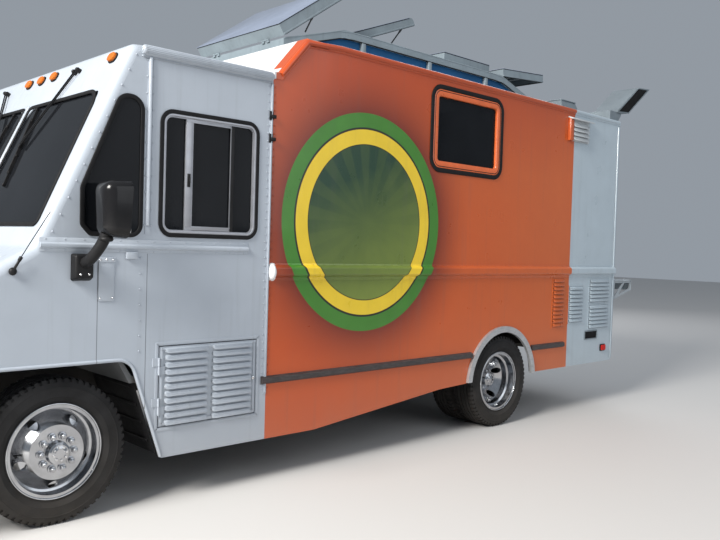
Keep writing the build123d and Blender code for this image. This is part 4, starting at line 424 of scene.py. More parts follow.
@dataclass(frozen=True)
class SideArt:
    """The body's paint by place: the cab's white painted in the blue-grey of its shade, airbrushed orange
    with a ring medallion, blue-grey tail.

    Args:
        centre: The medallion's middle as (x, z).
        green: The outer radius of the green ring.
        line: The outer radius of the dark line inside it.
        yellow: The outer and inner radius of the yellow ring.
        waves: The height of the sheet metal's slow waves.
        panel_lines: Where the cab's panel joints are.
        inner_y: Half the width of the room inside.
        roof_z: The height from which the orange ends.
    """

    centre: tuple[float, float] = (0.48, 1.75)
    green: float = 0.80
    line: float = 0.695
    yellow: tuple[float, float] = (0.68, 0.568)
    waves: float = 0.0035
    panel_lines: tuple[float, float] = (2.555, 2.256)
    inner_y: float = 1.166
    roof_z: float = 3.02

    def orange(self, recipe: Recipe, x: Socket, z: Socket, reach: Socket) -> Socket:
        """Returns the airbrushed orange: red at the top and round the medallion, lighter to the rear."""
        mist = recipe.noise(1.3, 3, (1, 1, 1.5))
        fine = recipe.noise(9, 4)
        blend = ((0.55 - x) / 2.6).share() * 0.55 + mist * 0.5 - 0.1
        colour = recipe.mix(blend, ORANGE, ORANGE_LIGHT)
        top = z.above(2.72, 0.9) * 0.75 + (mist - 0.5) * 0.5
        colour = recipe.mix(top, colour, ORANGE_RED)
        halo = (1 - (reach - self.green) / 0.42).share() ** 1.6
        colour = recipe.mix(halo * 0.95, colour, HALO_RED)
        return recipe.mix(fine * 0.12, colour, ORANGE_RED)

    def medallion(self, recipe: Recipe, colour: Socket, x: Socket, z: Socket, reach: Socket) -> Socket:
        """Lays the rings and the shaded disc over a colour.

        Args:
            recipe: The material.
            colour: The colour around the medallion.
            x: Object X.
            z: Object Z.
            reach: The distance from the medallion's middle.

        Returns:
            The colour with the medallion on it.
        """
        edge = 0.004
        mottled = recipe.noise(5, 4)
        green = recipe.swing(mottled, RING_GREEN, 0.8, 1.25)
        colour = recipe.mix(reach.below(self.green, edge), colour, green)
        colour = recipe.mix(reach.below(self.line, edge), colour, RING_BLACK)
        yellow = recipe.swing(mottled, RING_YELLOW, 0.85, 1.1)
        colour = recipe.mix(reach.below(self.yellow[0], edge), colour, yellow)
        down, back = self.centre[1] - z, self.centre[0] - x
        sink = (down * 0.85 + back * 0.35 + mottled * 0.25 + 0.22).share()
        disc = recipe.mix(sink, DISC_DARK, DISC_LIGHT)
        bearing = (z - self.centre[1]).math("ARCTAN2", x - self.centre[0])
        ray = (bearing * 18).math("SINE").above(0.0, 0.5) * (reach / self.yellow[1])
        disc = recipe.mix(ray * 0.10, disc, DISC_LIGHT)
        colour = recipe.mix(reach.below(self.yellow[1] + 0.006, edge), colour, RING_BLACK)
        return recipe.mix(reach.below(self.yellow[1], edge), colour, disc)

    def grounds(self, recipe: Recipe, colour: Socket, x: Socket, z: Socket, cloud: Socket) -> Socket:
        """Lays the cab's white, painted in its shaded blue-grey, and the tail's grey over a colour, and a
        darker copy of the cab's colour above the roof's edge.
        """
        colour = recipe.mix(z.above(self.roof_z, 0.004), colour, shade(CAB_WHITE_AS_SHADED, 0.9))
        # The cab takes the painted-shade blue-grey in place of its white.
        colour = recipe.mix(x.above(CAB_REAR_X + 0.002), colour, recipe.swing(cloud, CAB_WHITE_AS_SHADED, 0.93, 1.06))
        return recipe.mix(x.below(GREY_FROM_X, 0.003), colour, recipe.swing(cloud, TAIL_GREY, 0.9, 1.08))

    def inside(self, recipe: Recipe, colour: Socket, axes: Sequence[Socket], cloud: Socket) -> Socket:
        """Paints the room's walls plain grey, and all that is under the floor near black: undercoat, with the
        deep shade of the wheel wells painted in.
        """
        x, across, z = axes
        inner = across.below(self.inner_y, 0.002) * x.above(-3.19, 0.002)
        ahead = x.above(2.262, 0.002)
        room = inner * (1 - ahead) * z.below(2.95, 0.002)
        colour = recipe.mix(room, colour, recipe.mix(cloud, *ROOM_GREYS))
        # Near black under the floor and in the wheel wells: undercoat and painted shade.
        under = inner * (z - ahead * 0.205).below(0.775, 0.004) * x.below(3.44, 0.002)
        return recipe.mix(under, colour, UNDERCOAT_AND_WELL_SHADE)

    def build(self, name: str) -> bpy.types.Material:
        """Builds the body paint.

        Args:
            name: The material's name.

        Returns:
            The finished material.
        """
        recipe = Recipe(name)
        x, y, z = recipe.axes()
        reach = ((x - self.centre[0]) ** 2.0 + (z - self.centre[1]) ** 2.0).math("SQRT")
        cloud = recipe.noise(5, 4)
        colour = self.medallion(recipe, self.orange(recipe, x, z, reach), x, z, reach)
        colour = self.grounds(recipe, colour, x, z, cloud)
        across = abs(y)
        colour = self.inside(recipe, colour, (x, across, z), cloud)
        on_side = across.above(1.17) * z.below(1.495)
        for line_x in self.panel_lines:
            line = abs(x - line_x).below(0.0022, 0.001)
            colour = recipe.mix(line * on_side * 0.7, colour, SEAM_GREY)
        runs = recipe.runs(24, (1, 1, 0.045), 0.66)
        colour = recipe.mix(runs * 0.10, colour, (0.10, 0.09, 0.08))
        low = ((0.95 - z) / 0.95).share()
        cover = low * low * (cloud + 0.4) * 0.35
        colour = recipe.mix(cover, colour, DUST)
        on_cab = x.above(CAB_REAR_X + 0.002)
        rough = on_cab * 0.06 + cover * 0.35 + cloud * 0.10 + runs * 0.08 + 0.24
        waves = recipe.noise(2.0, 1, (1.2, 1, 0.7)) * self.waves
        recipe.bump(waves + recipe.noise(420, 1) * 0.00006)
        recipe.set(base_color=colour, roughness=rough, coat_weight=0.12, coat_roughness=0.05)
        return recipe.material


@dataclass(frozen=True)
class RoofPaint:
    """The roof's white, with the sides' colours round its edges and on the ends of the front slope, their
    orange darkened there as painted shade.

    Args:
        patch_y: Where the slope's coloured ends begin.
        patch_z: The height from which they show.
    """

    patch_y: float = 1.065
    patch_z: float = 2.745

    def build(self, name: str) -> bpy.types.Material:
        """Builds the material of that name."""
        recipe = Recipe(name)
        x, y, z = recipe.axes()
        across = abs(y)
        cloud = recipe.noise(2.5, 4)
        colour = recipe.swing(cloud, ROOF_WHITE, 0.90, 1.06)
        runs = recipe.runs(16, (0.2, 1, 1))
        colour = recipe.mix(runs * 0.2, colour, (0.22, 0.20, 0.18))
        slope = across.above(self.patch_y, 0.004) * x.above(1.07, 0.004) * z.above(self.patch_z, 0.004)
        side = across.above(1.158, 0.003) * x.below(1.36, 0.003)
        # Painted shade: the orange on the slope's ends and the edges is a fifth darker than the sides'
        # orange, to tone down the light there.
        colour = recipe.mix((slope + side).least(1.0), colour, shade(ORANGE, 0.8))
        colour = recipe.mix(side * x.below(GREY_FROM_X, 0.003), colour, TAIL_GREY)
        recipe.set(base_color=colour, roughness=0.30 + cloud * 0.1 + runs * 0.1, coat_weight=0.3)
        recipe.bump(recipe.noise(2, 1) * 0.002 + recipe.noise(380, 1) * 0.0001)
        return recipe.material


@dataclass(frozen=True)
class RailPaint:
    """Dark rub rails with bright flares over the rear wheels.

    Args:
        centre: The middle of a flare's arc as (x, z).
        reach: The arc's outer radius.
    """

    centre: tuple[float, float] = (-1.25, 0.40)
    reach: float = 0.506

    def build(self, name: str) -> bpy.types.Material:
        """Builds the material of that name."""
        recipe = Recipe(name)
        x, _, z = recipe.axes()
        away = ((x - self.centre[0]) ** 2.0 + (z - self.centre[1]) ** 2.0).math("SQRT")
        flare = away.below(self.reach, 0.002)
        cloud = recipe.noise(14, 4)
        scuff = recipe.noise(80, 3, (0.3, 1, 1)).above(0.58, 0.3)
        dark = recipe.mix(cloud, (0.022, 0.017, 0.017), (0.05, 0.04, 0.04))
        bright = recipe.mix(cloud, (0.40, 0.41, 0.43), (0.60, 0.61, 0.62))
        colour = recipe.mix(scuff * 0.25, recipe.mix(flare, dark, bright), (0.16, 0.15, 0.14))
        recipe.set(base_color=colour, roughness=0.48 - flare * 0.1 + scuff * 0.15, metallic=flare * 0.6)
        recipe.bump(scuff * 0.0001 + recipe.noise(340, 1) * 0.0002)
        return recipe.material


@dataclass(frozen=True)
class TreadPlate:
    """Aluminium floor plate with raised lozenges, a pitch apart, dirty between them."""

    pitch: float = 0.038

    def build(self, name: str) -> bpy.types.Material:
        """Builds the material of that name."""
        recipe = Recipe(name)
        x, y, _ = recipe.axes()
        wave = WAVE / self.pitch
        lozenge = ((x * wave).math("SINE") * (y * wave).math("SINE")).above(0.42, 0.3)
        cloud = recipe.noise(7, 4)
        colour = recipe.mix(lozenge * 0.7 + cloud * 0.3, (0.12, 0.115, 0.11), (0.42, 0.42, 0.42))
        recipe.bump(lozenge * 0.0014)
        recipe.set(base_color=colour, roughness=0.55 - lozenge * 0.2 + cloud * 0.1, metallic=0.8)
        return recipe.material


FINISHES: dict[str, Finish | Glass | SideArt | RoofPaint | RailPaint | TreadPlate] = {
    "body_paint": SideArt(),
    "roof_white": RoofPaint(),
    "lid_top": Finish((0.19, 0.225, 0.30), 0.36, 0, 0.12, 3, 0.1, 300, 0.0001,
        coat=0.2, waves=0.002, streaks=0.15),
    "lid_grey": Finish((0.20, 0.245, 0.275), 0.42, 0, 0.18, 3.5, 0.1, 300, 0.00015,
        waves=0.002, streaks=0.2),
    "vent_grey": Finish((0.21, 0.25, 0.28), 0.45, 0.25, 0.16, 4, 0.1, 260, 0.00015,
        waves=0.002, streaks=0.15),
    "vent_light": Finish((0.50, 0.53, 0.55), 0.4, 0, 0.1, 5, 0.1, 260, 0.0001, coat=0.2, streaks=0.1),
    "frame_black": Finish((0.022, 0.022, 0.023), 0.62, 0, 0.4, 6, 0.15, 160, 0.0005,
        dust=0.7, dust_top=1.0),
    "bumper_black": Finish((0.035, 0.036, 0.038), 0.36, 0, 0.25, 5, 0.12, 300, 0.0001, coat=0.3, dust=0.35),
    "polished_steel": Finish((0.46, 0.47, 0.49), 0.17, 1, 0.16, 14, 0.07, 120, 0.00008,
        dust=0.12, dust_top=0.6),
    "painted_steel": Finish((0.42, 0.42, 0.43), 0.42, 0.6, 0.25, 12, 0.15, 200, 0.0002,
        dust=0.5, dust_top=0.6),
    "tyre_rubber": Finish((0.016, 0.016, 0.017), 0.72, 0, 0.35, 9, 0.1, 600, 0.00035,
        dust=0.10, dust_top=0.85),
    "engine_iron": Finish((0.09, 0.085, 0.08), 0.6, 0.6, 0.4, 12, 0.15, 150, 0.0006, dust=0.5),
    "exhaust_pipe": Finish((0.20, 0.155, 0.12), 0.58, 0.7, 0.45, 9, 0.16, 240, 0.0004, dust=0.5),
    "tank_metal": Finish((0.30, 0.30, 0.30), 0.48, 0.8, 0.3, 8, 0.15, 240, 0.0003, dust=0.6),
    "floor_plate": TreadPlate(),
    "cabin_grey": Finish((0.13, 0.135, 0.14), 0.68, 0, 0.2, 6, 0.1, 420, 0.0003),
    "brushed_aluminium": Finish((0.36, 0.37, 0.40), 0.38, 0.6, 0.12, 10, 0.1, 700, 0.00008, (0.06, 1, 1)),
    "bright_steel": Finish((0.72, 0.72, 0.73), 0.24, 1, 0.1, 14, 0.08, 160, 0.00006,
        dust=0.2, dust_top=0.9),
    "black_rubber": Finish((0.008, 0.008, 0.009), 0.6, 0, 0.3, 18, 0.1, 500, 0.0002),
    "dark_rail": RailPaint(),
    "black_gloss": Finish((0.010, 0.010, 0.011), 0.20, 0, 0.2, 10, 0.06, 200, 0.00005, coat=0.12),
    "black_plastic": Finish((0.012, 0.012, 0.013), 0.48, 0, 0.2, 14, 0.08, 900, 0.00025),
    "dash_black": Finish((0.03, 0.03, 0.032), 0.62, 0, 0.18, 10, 0.08, 850, 0.0003),
    "seat_black": Finish((0.03, 0.028, 0.027), 0.52, 0, 0.25, 22, 0.1, 480, 0.0006),
    "white_cap": Finish((0.75, 0.76, 0.77), 0.3, 0, 0.08, 20, 0.08, 300, 0.0001, coat=0.4),
    "shelf_grey": Finish((0.33, 0.37, 0.40), 0.42, 0, 0.2, 8, 0.12, 260, 0.0002, dust=0.2, dust_top=1.5),
    "window_orange": Finish((0.68, 0.13, 0.03), 0.3, 0, 0.12, 12, 0.1, 300, 0.0001, coat=0.5),
    # Near-black, nearly opaque glass: a dark tint, with the shade of the unlit inside painted in, so the room
    # behind hardly shows.
    "window_dark": Glass((0.008, 0.009, 0.011), 0.94, 0.04),
    "glazing_blue": Glass((0.018, 0.085, 0.20), 1.0, 0.16, 0.35),
    "mirror_glass": Finish((0.78, 0.80, 0.82), 0.04, 1, 0.05, 8, 0.02, 40, 0.00002),
    "lens_amber": Glass((0.50, 0.13, 0.018), 0.95, 0.18, 0.12, (0.4, 0.09, 0.01), 90),
    "lens_red": Glass((0.45, 0.02, 0.015), 0.95, 0.18, 0.12, (0.4, 0.01, 0.01), 90),
    "lens_clear": Glass((0.62, 0.65, 0.67), 0.45, 0.08, 0.1, None, 60),
    # Near black standing in for the shade inside openings: louvre slots, the step recess and the duct's open
    # side.
    "dark_hole": Finish((0.008, 0.008, 0.009), 0.85, 0, 0.4, 20, 0.05, 300, 0.0003),
    "plate_blank": Finish((0.50, 0.51, 0.51), 0.4, 0, 0.1, 20, 0.08, 300, 0.0001, coat=0.2),
}

SLOT_FINISHES = {
    "cab_paint": "body_paint", "kitchen_paint": "body_paint", "roof_paint": "roof_white",
    "lid_paint": "lid_grey", "moulding_paint": "body_paint", "vent_paint": "vent_grey",
    "chassis_black": "frame_black", "bumper_paint": "bumper_black", "wheel_paint": "polished_steel",
    "tyre": "tyre_rubber", "engine": "engine_iron", "exhaust_steel": "exhaust_pipe",
    "tank_steel": "tank_metal", "floor_plate": "floor_plate", "interior_grey": "cabin_grey",
    "frame_aluminium": "brushed_aluminium", "bright_trim": "dark_rail", "glass": "window_dark",
    "blue_glazing": "glazing_blue", "lamp_glass": "lens_clear", "amber_lens": "lens_amber",
    "grille_paint": "bright_steel", "mirror_black": "black_gloss", "wiper_black": "black_plastic",
    "dash_plastic": "dash_black", "seat_vinyl": "seat_black", "stay_steel": "bumper_black",
    "shelf_paint": "shelf_grey",
}


class PaintShop:
    """Builds each finish once and puts them on CAD nodes and pieces."""

    def __init__(self) -> None:
        """Starts with no material built."""
        self.ready: dict[str, bpy.types.Material] = {}

    def finish(self, name: str) -> bpy.types.Material:
        """Returns the material of a named finish, built when first asked for."""
        if name not in self.ready:
            self.ready[name] = FINISHES[name].build(name)
        return self.ready[name]

    def dress_frame(self) -> None:
        """Gives every CAD node the finish of its material slot."""
        for name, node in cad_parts.items():
            for slot in node.material_slots:
                slot.material = self.finish(SLOT_FINISHES[slot.material.name.split(".")[0]])
            LOG.info("dressed %s", name)


SHOP = PaintShop()


def shift(x: float, y: float, z: float) -> Matrix:
    """Returns the matrix of a move."""
    return Matrix.Translation((x, y, z))


def axes_to(right: Vector, up: Vector, out: Vector) -> Matrix:
    """Returns the matrix that turns X, Y and Z to three directions."""
    return Matrix((right, up, out)).transposed().to_4x4()


@dataclass
class Studio:
    """Floor, light and camera.

    Args:
        lens: The focal length in millimetres on a 36 mm sensor.
        eye: Where the camera stands, in the frame's coordinates.
        gaze: Which way it looks.
        roll: How far it is tilted to the side.
        floor_colour: The floor's colour.
        sky: The sky's colour and strength.
        lamps: Each lamp's name, place, size, power and colour.
    """

    lens: float = 38.95
    eye: Point = (4.634, 5.308, 1.576)
    gaze: Point = (-0.6925, -0.7208, -0.0306)
    roll: float = math.radians(1.723)
    floor_colour: Colour = (0.56, 0.55, 0.54)
    sky: tuple[Colour, float] = ((0.80, 0.89, 1.0), 0.36)
    lamps: tuple = (
        ("key", (13.0, 3.0, 9.0), 5.0, 4100.0, (1.0, 0.97, 0.92)),
        ("fill", (-3.0, 13.0, 7.0), 11.0, 500.0, (0.93, 0.96, 1.0)),
        ("back", (-11.0, -8.0, 8.0), 8.0, 480.0, (0.95, 0.97, 1.0)),
    )

    def lay_floor(self) -> None:
        """Adds the plain pale floor."""
        bpy.ops.mesh.primitive_plane_add(size=90, location=(0, 0, 0))
        floor = bpy.context.object
        floor.name = "floor_stage"
        recipe = Recipe("floor_pale")
        recipe.set(base_color=self.floor_colour, roughness=0.85)
        floor.data.materials.append(recipe.material)

    def light(self) -> None:
        """Adds the sky and the soft lamps."""
        world = bpy.data.worlds.new("studio")
        world.use_nodes = True
        sky = world.node_tree.nodes["Background"]
        sky.inputs[0].default_value = (*self.sky[0], 1.0)
        sky.inputs[1].default_value = self.sky[1]
        bpy.context.scene.world = world
        bpy.context.scene.view_settings.view_transform = "Standard"
        for name, place, size, power, colour in self.lamps:
            data = bpy.data.lights.new(name, "AREA")
            data.size, data.energy, data.color = size, power, colour
            lamp = bpy.data.objects.new(name, data)
            lamp.location = place
            aim = Vector((0.3, 0.0, 1.3)) - Vector(place)
            lamp.rotation_euler = aim.to_track_quat("-Z", "Y").to_euler()
            bpy.context.collection.objects.link(lamp)

    def place_camera(self) -> None:
        """Stands the camera where the photograph was taken from."""
        data = bpy.data.cameras.new("photo_view")
        data.lens = self.lens
        data.sensor_width = 36
        data.clip_end = 200
        camera = bpy.data.objects.new("photo_view", data)
        gaze = Vector(self.gaze).normalized()
        level = gaze.cross(Vector((0, 0, 1))).normalized()
        upright = level.cross(gaze)
        right = level * math.cos(self.roll) + upright * math.sin(self.roll)
        up = upright * math.cos(self.roll) - level * math.sin(self.roll)
        camera.matrix_world = shift(*self.eye) @ axes_to(right, up, -gaze)
        bpy.context.collection.objects.link(camera)
        bpy.context.scene.camera = camera

    def build(self) -> None:
        """Builds the whole studio."""
        self.lay_floor()
        self.light()
        self.place_camera()


class Bench:
    """Blender's modelling operators, with the selection kept in order."""

    @staticmethod
    def clear() -> None:
        """Leaves edit mode and deselects everything."""
        if bpy.context.mode != "OBJECT":
            bpy.ops.object.mode_set(mode="OBJECT")
        bpy.ops.object.select_all(action="DESELECT")

    @classmethod
    def take(cls, *pieces: Piece) -> None:
        """Selects pieces alone, the first one active."""
        cls.clear()
        for piece in pieces:
            piece.select_set(True)
        bpy.context.view_layer.objects.active = pieces[0]

    @classmethod
    def start(cls, name: str, kind: str, **settings: object) -> Piece:
        """Adds a primitive and names it.

        Args:
            name: The piece's name.
            kind: The primitive's name among Blender's operators.
            settings: The operator's settings, and a scale along each axis.

        Returns:
            The new object, its place and size already in its mesh.
        """
        cls.clear()
        scale = settings.pop("scale", (1, 1, 1))
        getattr(bpy.ops.mesh, f"primitive_{kind}_add")(**settings)
        piece = bpy.context.object
        piece.name = name
        piece.scale = scale
        bpy.ops.object.transform_apply(location=True, rotation=True, scale=True)
        return piece

    @classmethod
    def edit(cls, piece: Piece) -> None:
        """Opens a piece in edit mode with all of it selected."""
        cls.take(piece)
        bpy.ops.object.mode_set(mode="EDIT")
        bpy.ops.mesh.select_mode(type="VERT")
        bpy.ops.mesh.select_all(action="SELECT")

    @staticmethod
    def pick(piece: Piece, kind: str, test: Callable) -> int:
        """Selects the faces, edges or corners that pass a test.

        Args:
            piece: The object in edit mode.
            kind: FACE, EDGE or VERT.
            test: Says of each element whether it is wanted.

        Returns:
            How many were selected.
        """
        bpy.ops.mesh.select_mode(type=kind)
        bpy.ops.mesh.select_all(action="DESELECT")
        mesh = bmesh.from_edit_mesh(piece.data)
        elements = {"FACE": mesh.faces, "EDGE": mesh.edges, "VERT": mesh.verts}[kind]
        wanted = [element for element in elements if test(element)]
        for element in wanted:
            element.select_set(True)
        mesh.select_flush_mode()
        bmesh.update_edit_mesh(piece.data)
        return len(wanted)

    @staticmethod
    def trim(normal: Point, at: Point = (0, 0, 0), fill: bool = False) -> None:
        """Cuts away what lies behind a plane of the piece in edit mode, and selects the rest."""
        bpy.ops.mesh.bisect(plane_co=at, plane_no=normal, clear_inner=True, use_fill=fill)
        bpy.ops.mesh.select_all(action="SELECT")

    @classmethod
    def round_ends(
        cls, piece: Piece, along: int, up: int, reach: float, offset: float, steps: int
    ) -> None:
        """Bevels the upper edges at both ends of a piece in edit mode.

        Args:
            piece: The piece.
            along: Its long axis.
            up: The axis that its upper side faces.
            reach: Half its length.
            offset: The bevel's width.
            steps: The bevel's segments.
        """

        def at_an_end(edge: bmesh.types.BMEdge) -> bool:
            ends = [corner.co for corner in edge.verts]
            at_tip = all(abs(spot[along]) > reach - HAIR for spot in ends)
            return at_tip and max(spot[up] for spot in ends) > 1e-5

        if cls.pick(piece, "EDGE", at_an_end):
            bpy.ops.mesh.bevel(offset=offset, segments=steps, affect="EDGES")

    @classmethod
    def modify(cls, piece: Piece, kind: str, **settings: object) -> None:
        """Adds a modifier and applies it."""
        cls.take(piece)
        modifier = piece.modifiers.new(kind.lower(), kind)
        for key, value in settings.items():
            setattr(modifier, key, value)
        bpy.ops.object.modifier_apply(modifier=modifier.name)

    @classmethod
    def soften(cls, piece: Piece, width: float, segments: int = 2, angle: float = 35) -> None:
        """Rounds a piece's edges that are sharper than an angle."""
        limit = {"limit_method": "ANGLE", "angle_limit": math.radians(angle)}
        cls.modify(piece, "BEVEL", width=width, segments=segments, **limit)

    @classmethod
    def place(cls, piece: Piece, matrix: Matrix) -> Piece:
        """Moves a piece by a matrix and puts its place in its mesh."""
        cls.take(piece)
        piece.matrix_world = matrix
        bpy.ops.object.transform_apply(location=True, rotation=True, scale=True)
        return piece

    @classmethod
    def copy(cls, piece: Piece, name: str, matrix: Matrix) -> Piece:
        """Copies a piece with its own mesh and moves the copy."""
        twin = piece.copy()
        twin.data = piece.data.copy()
        twin.name = name
        bpy.context.collection.objects.link(twin)
        return cls.place(twin, matrix)

    @classmethod
    def join(cls, name: str, pieces: Sequence[Piece]) -> Piece:
        """Joins pieces into one object."""
        cls.take(*pieces)
        if len(pieces) > 1:
            bpy.ops.object.join()
        pieces[0].name = name
        return pieces[0]

    @classmethod
    def mend(cls, piece: Piece) -> None:
        """Merges doubles and turns the faces outwards."""
        cls.edit(piece)
        bpy.ops.mesh.remove_doubles(threshold=0.00005)
        bpy.ops.mesh.normals_make_consistent(inside=False)
        cls.clear()

    @classmethod
    def block(cls, name: str, low: Point, high: Point) -> Piece:
        """Makes a sharp box between two corners, to be shaped further."""
        middle = tuple((a + b) / 2 for a, b in zip(low, high))
        size = tuple(abs(b - a) for a, b in zip(low, high))
        return cls.start(name, "cube", size=1, location=middle, scale=size)

    @classmethod
    def box(cls, name: str, low: Point, high: Point, edge: float = 0.003, segments: int = 2) -> Piece:
        """Makes a box between two corners, its edges rounded."""
        piece = cls.block(name, low, high)
        cls.soften(piece, edge, segments)
        return piece

    @classmethod
    def flat(
        cls, name: str, corners: Sequence[Corner], radius: float | Sequence[float] = 0.0, steps: int = 6
    ) -> Piece:
        """Cuts a flat convex outline in the XY plane out of a plane.

        Args:
            name: The piece's name.
            corners: The outline, counter-clockwise.
            radius: The radius of its corners, or one for each, or 0.
            steps: The steps round each corner.

        Returns:
            The sheet, facing +Z.
        """
        us, vs = [u for u, _ in corners], [v for _, v in corners]
        middle = ((min(us) + max(us)) / 2, (min(vs) + max(vs)) / 2, 0)
        size = (max(us) - min(us), max(vs) - min(vs), 1)
        piece = cls.start(name, "plane", size=1, location=middle, scale=size)
        cls.edit(piece)
        for (u, v), (next_u, next_v) in zip(corners, (*corners[1:], corners[0])):
            if abs(u - next_u) > 1e-6 and abs(v - next_v) > 1e-6:
                bpy.ops.mesh.select_all(action="SELECT")
                outwards = (next_v - v, u - next_u, 0)
                bpy.ops.mesh.bisect(plane_co=(u, v, 0), plane_no=outwards, clear_outer=True)
        radii = [radius] * len(corners) if isinstance(radius, float) else radius
        spots = [Vector((*corner, 0)) for corner in corners]
        for before, spot, after, part in zip((spots[-1], *spots), spots, (*spots[1:], spots[0]), radii):
            bend = (spot - before).angle(after - spot)
            if part and cls.pick(piece, "VERT", lambda place: (place.co - spot).length < HAIR):
                bpy.ops.mesh.bevel(offset=part * math.tan(bend / 2), segments=steps, affect="VERTICES")
        cls.clear()
        return piece

    @classmethod
    def thicken(cls, piece: Piece, thick: float, edge: float = 0.0) -> Piece:
        """Gives a flat piece its thickness above the XY plane, and rounds its edges."""
        cls.modify(piece, "SOLIDIFY", thickness=thick, offset=1)
        if edge:
            cls.soften(piece, edge)
        return piece

    @classmethod
    def plate(
        cls, name: str, corners: Sequence[Corner], thick: float, radius: float = 0.0, edge: float = 0.0015
    ) -> Piece:
        """Makes a plate that stands on the XY plane from a convex outline."""
        return cls.thicken(cls.flat(name, corners, radius), thick, edge)

    @classmethod
    def ring(
        cls, name: str, corners: Sequence[Corner], radius: float | Sequence[float], width: float,
        thick: float, edge: float = 0.003,
    ) -> Piece:
        """Makes a frame of a width inside a convex outline.

        Args:
            name: The piece's name.
            corners: The outer outline, counter-clockwise.
            radius: The radius of the outer corners.
            width: The frame's width.
            thick: How far it stands up from the XY plane.
            edge: How much its edges are rounded.

        Returns:
            The frame.
        """
        piece = cls.flat(name, corners, radius, 8)
        cls.edit(piece)
        bpy.ops.mesh.select_mode(type="FACE")
        bpy.ops.mesh.select_all(action="SELECT")
        bpy.ops.mesh.inset(thickness=width, use_even_offset=True)
        bpy.ops.mesh.delete(type="FACE")
        return cls.thicken(piece, thick, edge)

    @classmethod
    def bar(cls, name: str, start: Point, end: Point, radius: float, sides: int = 14) -> Piece:
        """Makes a round bar between two points, its ends rounded."""
        along = Vector(end) - Vector(start)
        piece = cls.start(name, "cylinder", vertices=sides, radius=radius, depth=along.length)
        cls.soften(piece, radius * 0.3, 2, 60)
        turn = along.to_track_quat("Z", "Y").to_matrix().to_4x4()
        return cls.place(piece, shift(*(Vector(start) + Vector(end)) / 2) @ turn)

    @classmethod
    def bead(
        cls, name: str, start: Sequence[float], end: Sequence[float], half: float, rise: float,
        out: Point = (0, 0, 1),
    ) -> Piece:
        """Makes a half-round bead that lies on a surface.

        Args:
            name: The piece's name.
            start: One end, on the surface; a missing third coordinate is 0.
            end: The other end.
            half: Half the bead's width.
            rise: How far it stands out.
            out: The surface's outward direction.

        Returns:
            The bead, its ends rounded over.
        """
        start, end = (Vector((*spot, 0)[:3]) for spot in (start, end))
        along = end - start
        piece = cls.start(name, "cylinder", vertices=20, radius=half, depth=along.length)
        cls.edit(piece)
        cls.trim((0, 1, 0), fill=True)
        bpy.ops.transform.resize(value=(1, rise / half, 1))
        cls.round_ends(piece, 2, 1, along.length / 2, rise * 0.6, 3)
        axis, outwards = along.normalized(), Vector(out).normalized()
        turn = axes_to(outwards.cross(axis), outwards, axis)
        return cls.place(piece, shift(*(start + end) / 2) @ turn)

    @classmethod
    def tube(cls, name: str, points: Sequence[Point], radius: float, order: int = 3) -> Piece:
        """Makes a bent rod along a smooth line through points."""
        cls.clear()
        bpy.ops.curve.primitive_nurbs_path_add()
        line = bpy.context.object.data
        line.splines.clear()
        spline = line.splines.new("NURBS")
        spline.points.add(len(points) - 1)
        for point, place in zip(spline.points, points):
            point.co = (*place, 1)
        spline.order_u = order
        spline.use_endpoint_u = True
        line.bevel_depth, line.bevel_resolution, line.use_fill_caps = radius, 3, True
        line.resolution_u = 8
        bpy.ops.object.convert(target="MESH")
        piece = bpy.context.object
        piece.name = name
        return piece

    @classmethod
    def lathe(cls, name: str, outline: Sequence[Corner], steps: int) -> Piece:
        """Turns a line of (radius, height) points about the Z axis.

        Args:
            name: The piece's name.
            outline: The section's points from end to end.
            steps: The steps of the turn.

        Returns:
            The turned body.
        """
        piece = cls.start(name, "plane", size=0.01)
        cls.edit(piece)
        bpy.ops.mesh.merge(type="CENTER")
        bpy.ops.transform.translate(value=(outline[0][0], 0, outline[0][1]))
        for (x, z), (next_x, next_z) in zip(outline, outline[1:]):
            move = {"value": (next_x - x, 0, next_z - z)}
            bpy.ops.mesh.extrude_region_move(TRANSFORM_OT_translate=move)
        bpy.ops.mesh.select_all(action="SELECT")
        bpy.ops.mesh.spin(steps=steps, angle=math.tau, center=(0, 0, 0), axis=(0, 0, 1))
        cls.mend(piece)
        return piece

    @classmethod
    def row(cls, piece: Piece, count: int, step: Point) -> Piece:
        """Repeats a piece in a row."""
        if count > 1:
            offset = {"use_constant_offset": True, "constant_offset_displace": step}
            cls.modify(piece, "ARRAY", count=count, use_relative_offset=False, **offset)
        return piece

    @classmethod
    def fan(cls, piece: Piece, name: str, count: int, start: float = 0.0) -> Piece:
        """Repeats a piece in a circle about Z and joins the copies."""
        turns = [Matrix.Rotation(start + math.tau * number / count, 4, "Z") for number in range(count)]
        copies = [cls.copy(piece, f"{name}_{number}", turn) for number, turn in enumerate(turns)]
        bpy.data.objects.remove(piece)
        return cls.join(name, copies)


def hand_over(
    piece: Piece, finish: str, body: str = "truck", slot: str = "moulding_paint", smooth: float = 40
) -> Piece:
    """Finishes a piece: its place in the frame, its material, its shading and the body it rides.

    Args:
        piece: The modelled object, in the drawing's coordinates.
        finish: The name of its finish.
        body: The CAD body that carries it.
        slot: Not used.
        smooth: The angle up to which its faces are shaded as one.

    Returns:
        The piece.
    """
    Bench.place(piece, shift(DATUM_X, 0, 0))
    bpy.ops.object.shade_smooth_by_angle(angle=math.radians(smooth))
    piece.data.materials.clear()
    piece.data.materials.append(SHOP.finish(finish))
    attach(piece, body)
    LOG.info("piece %s: %d faces", piece.name, len(piece.data.polygons))
    return piece


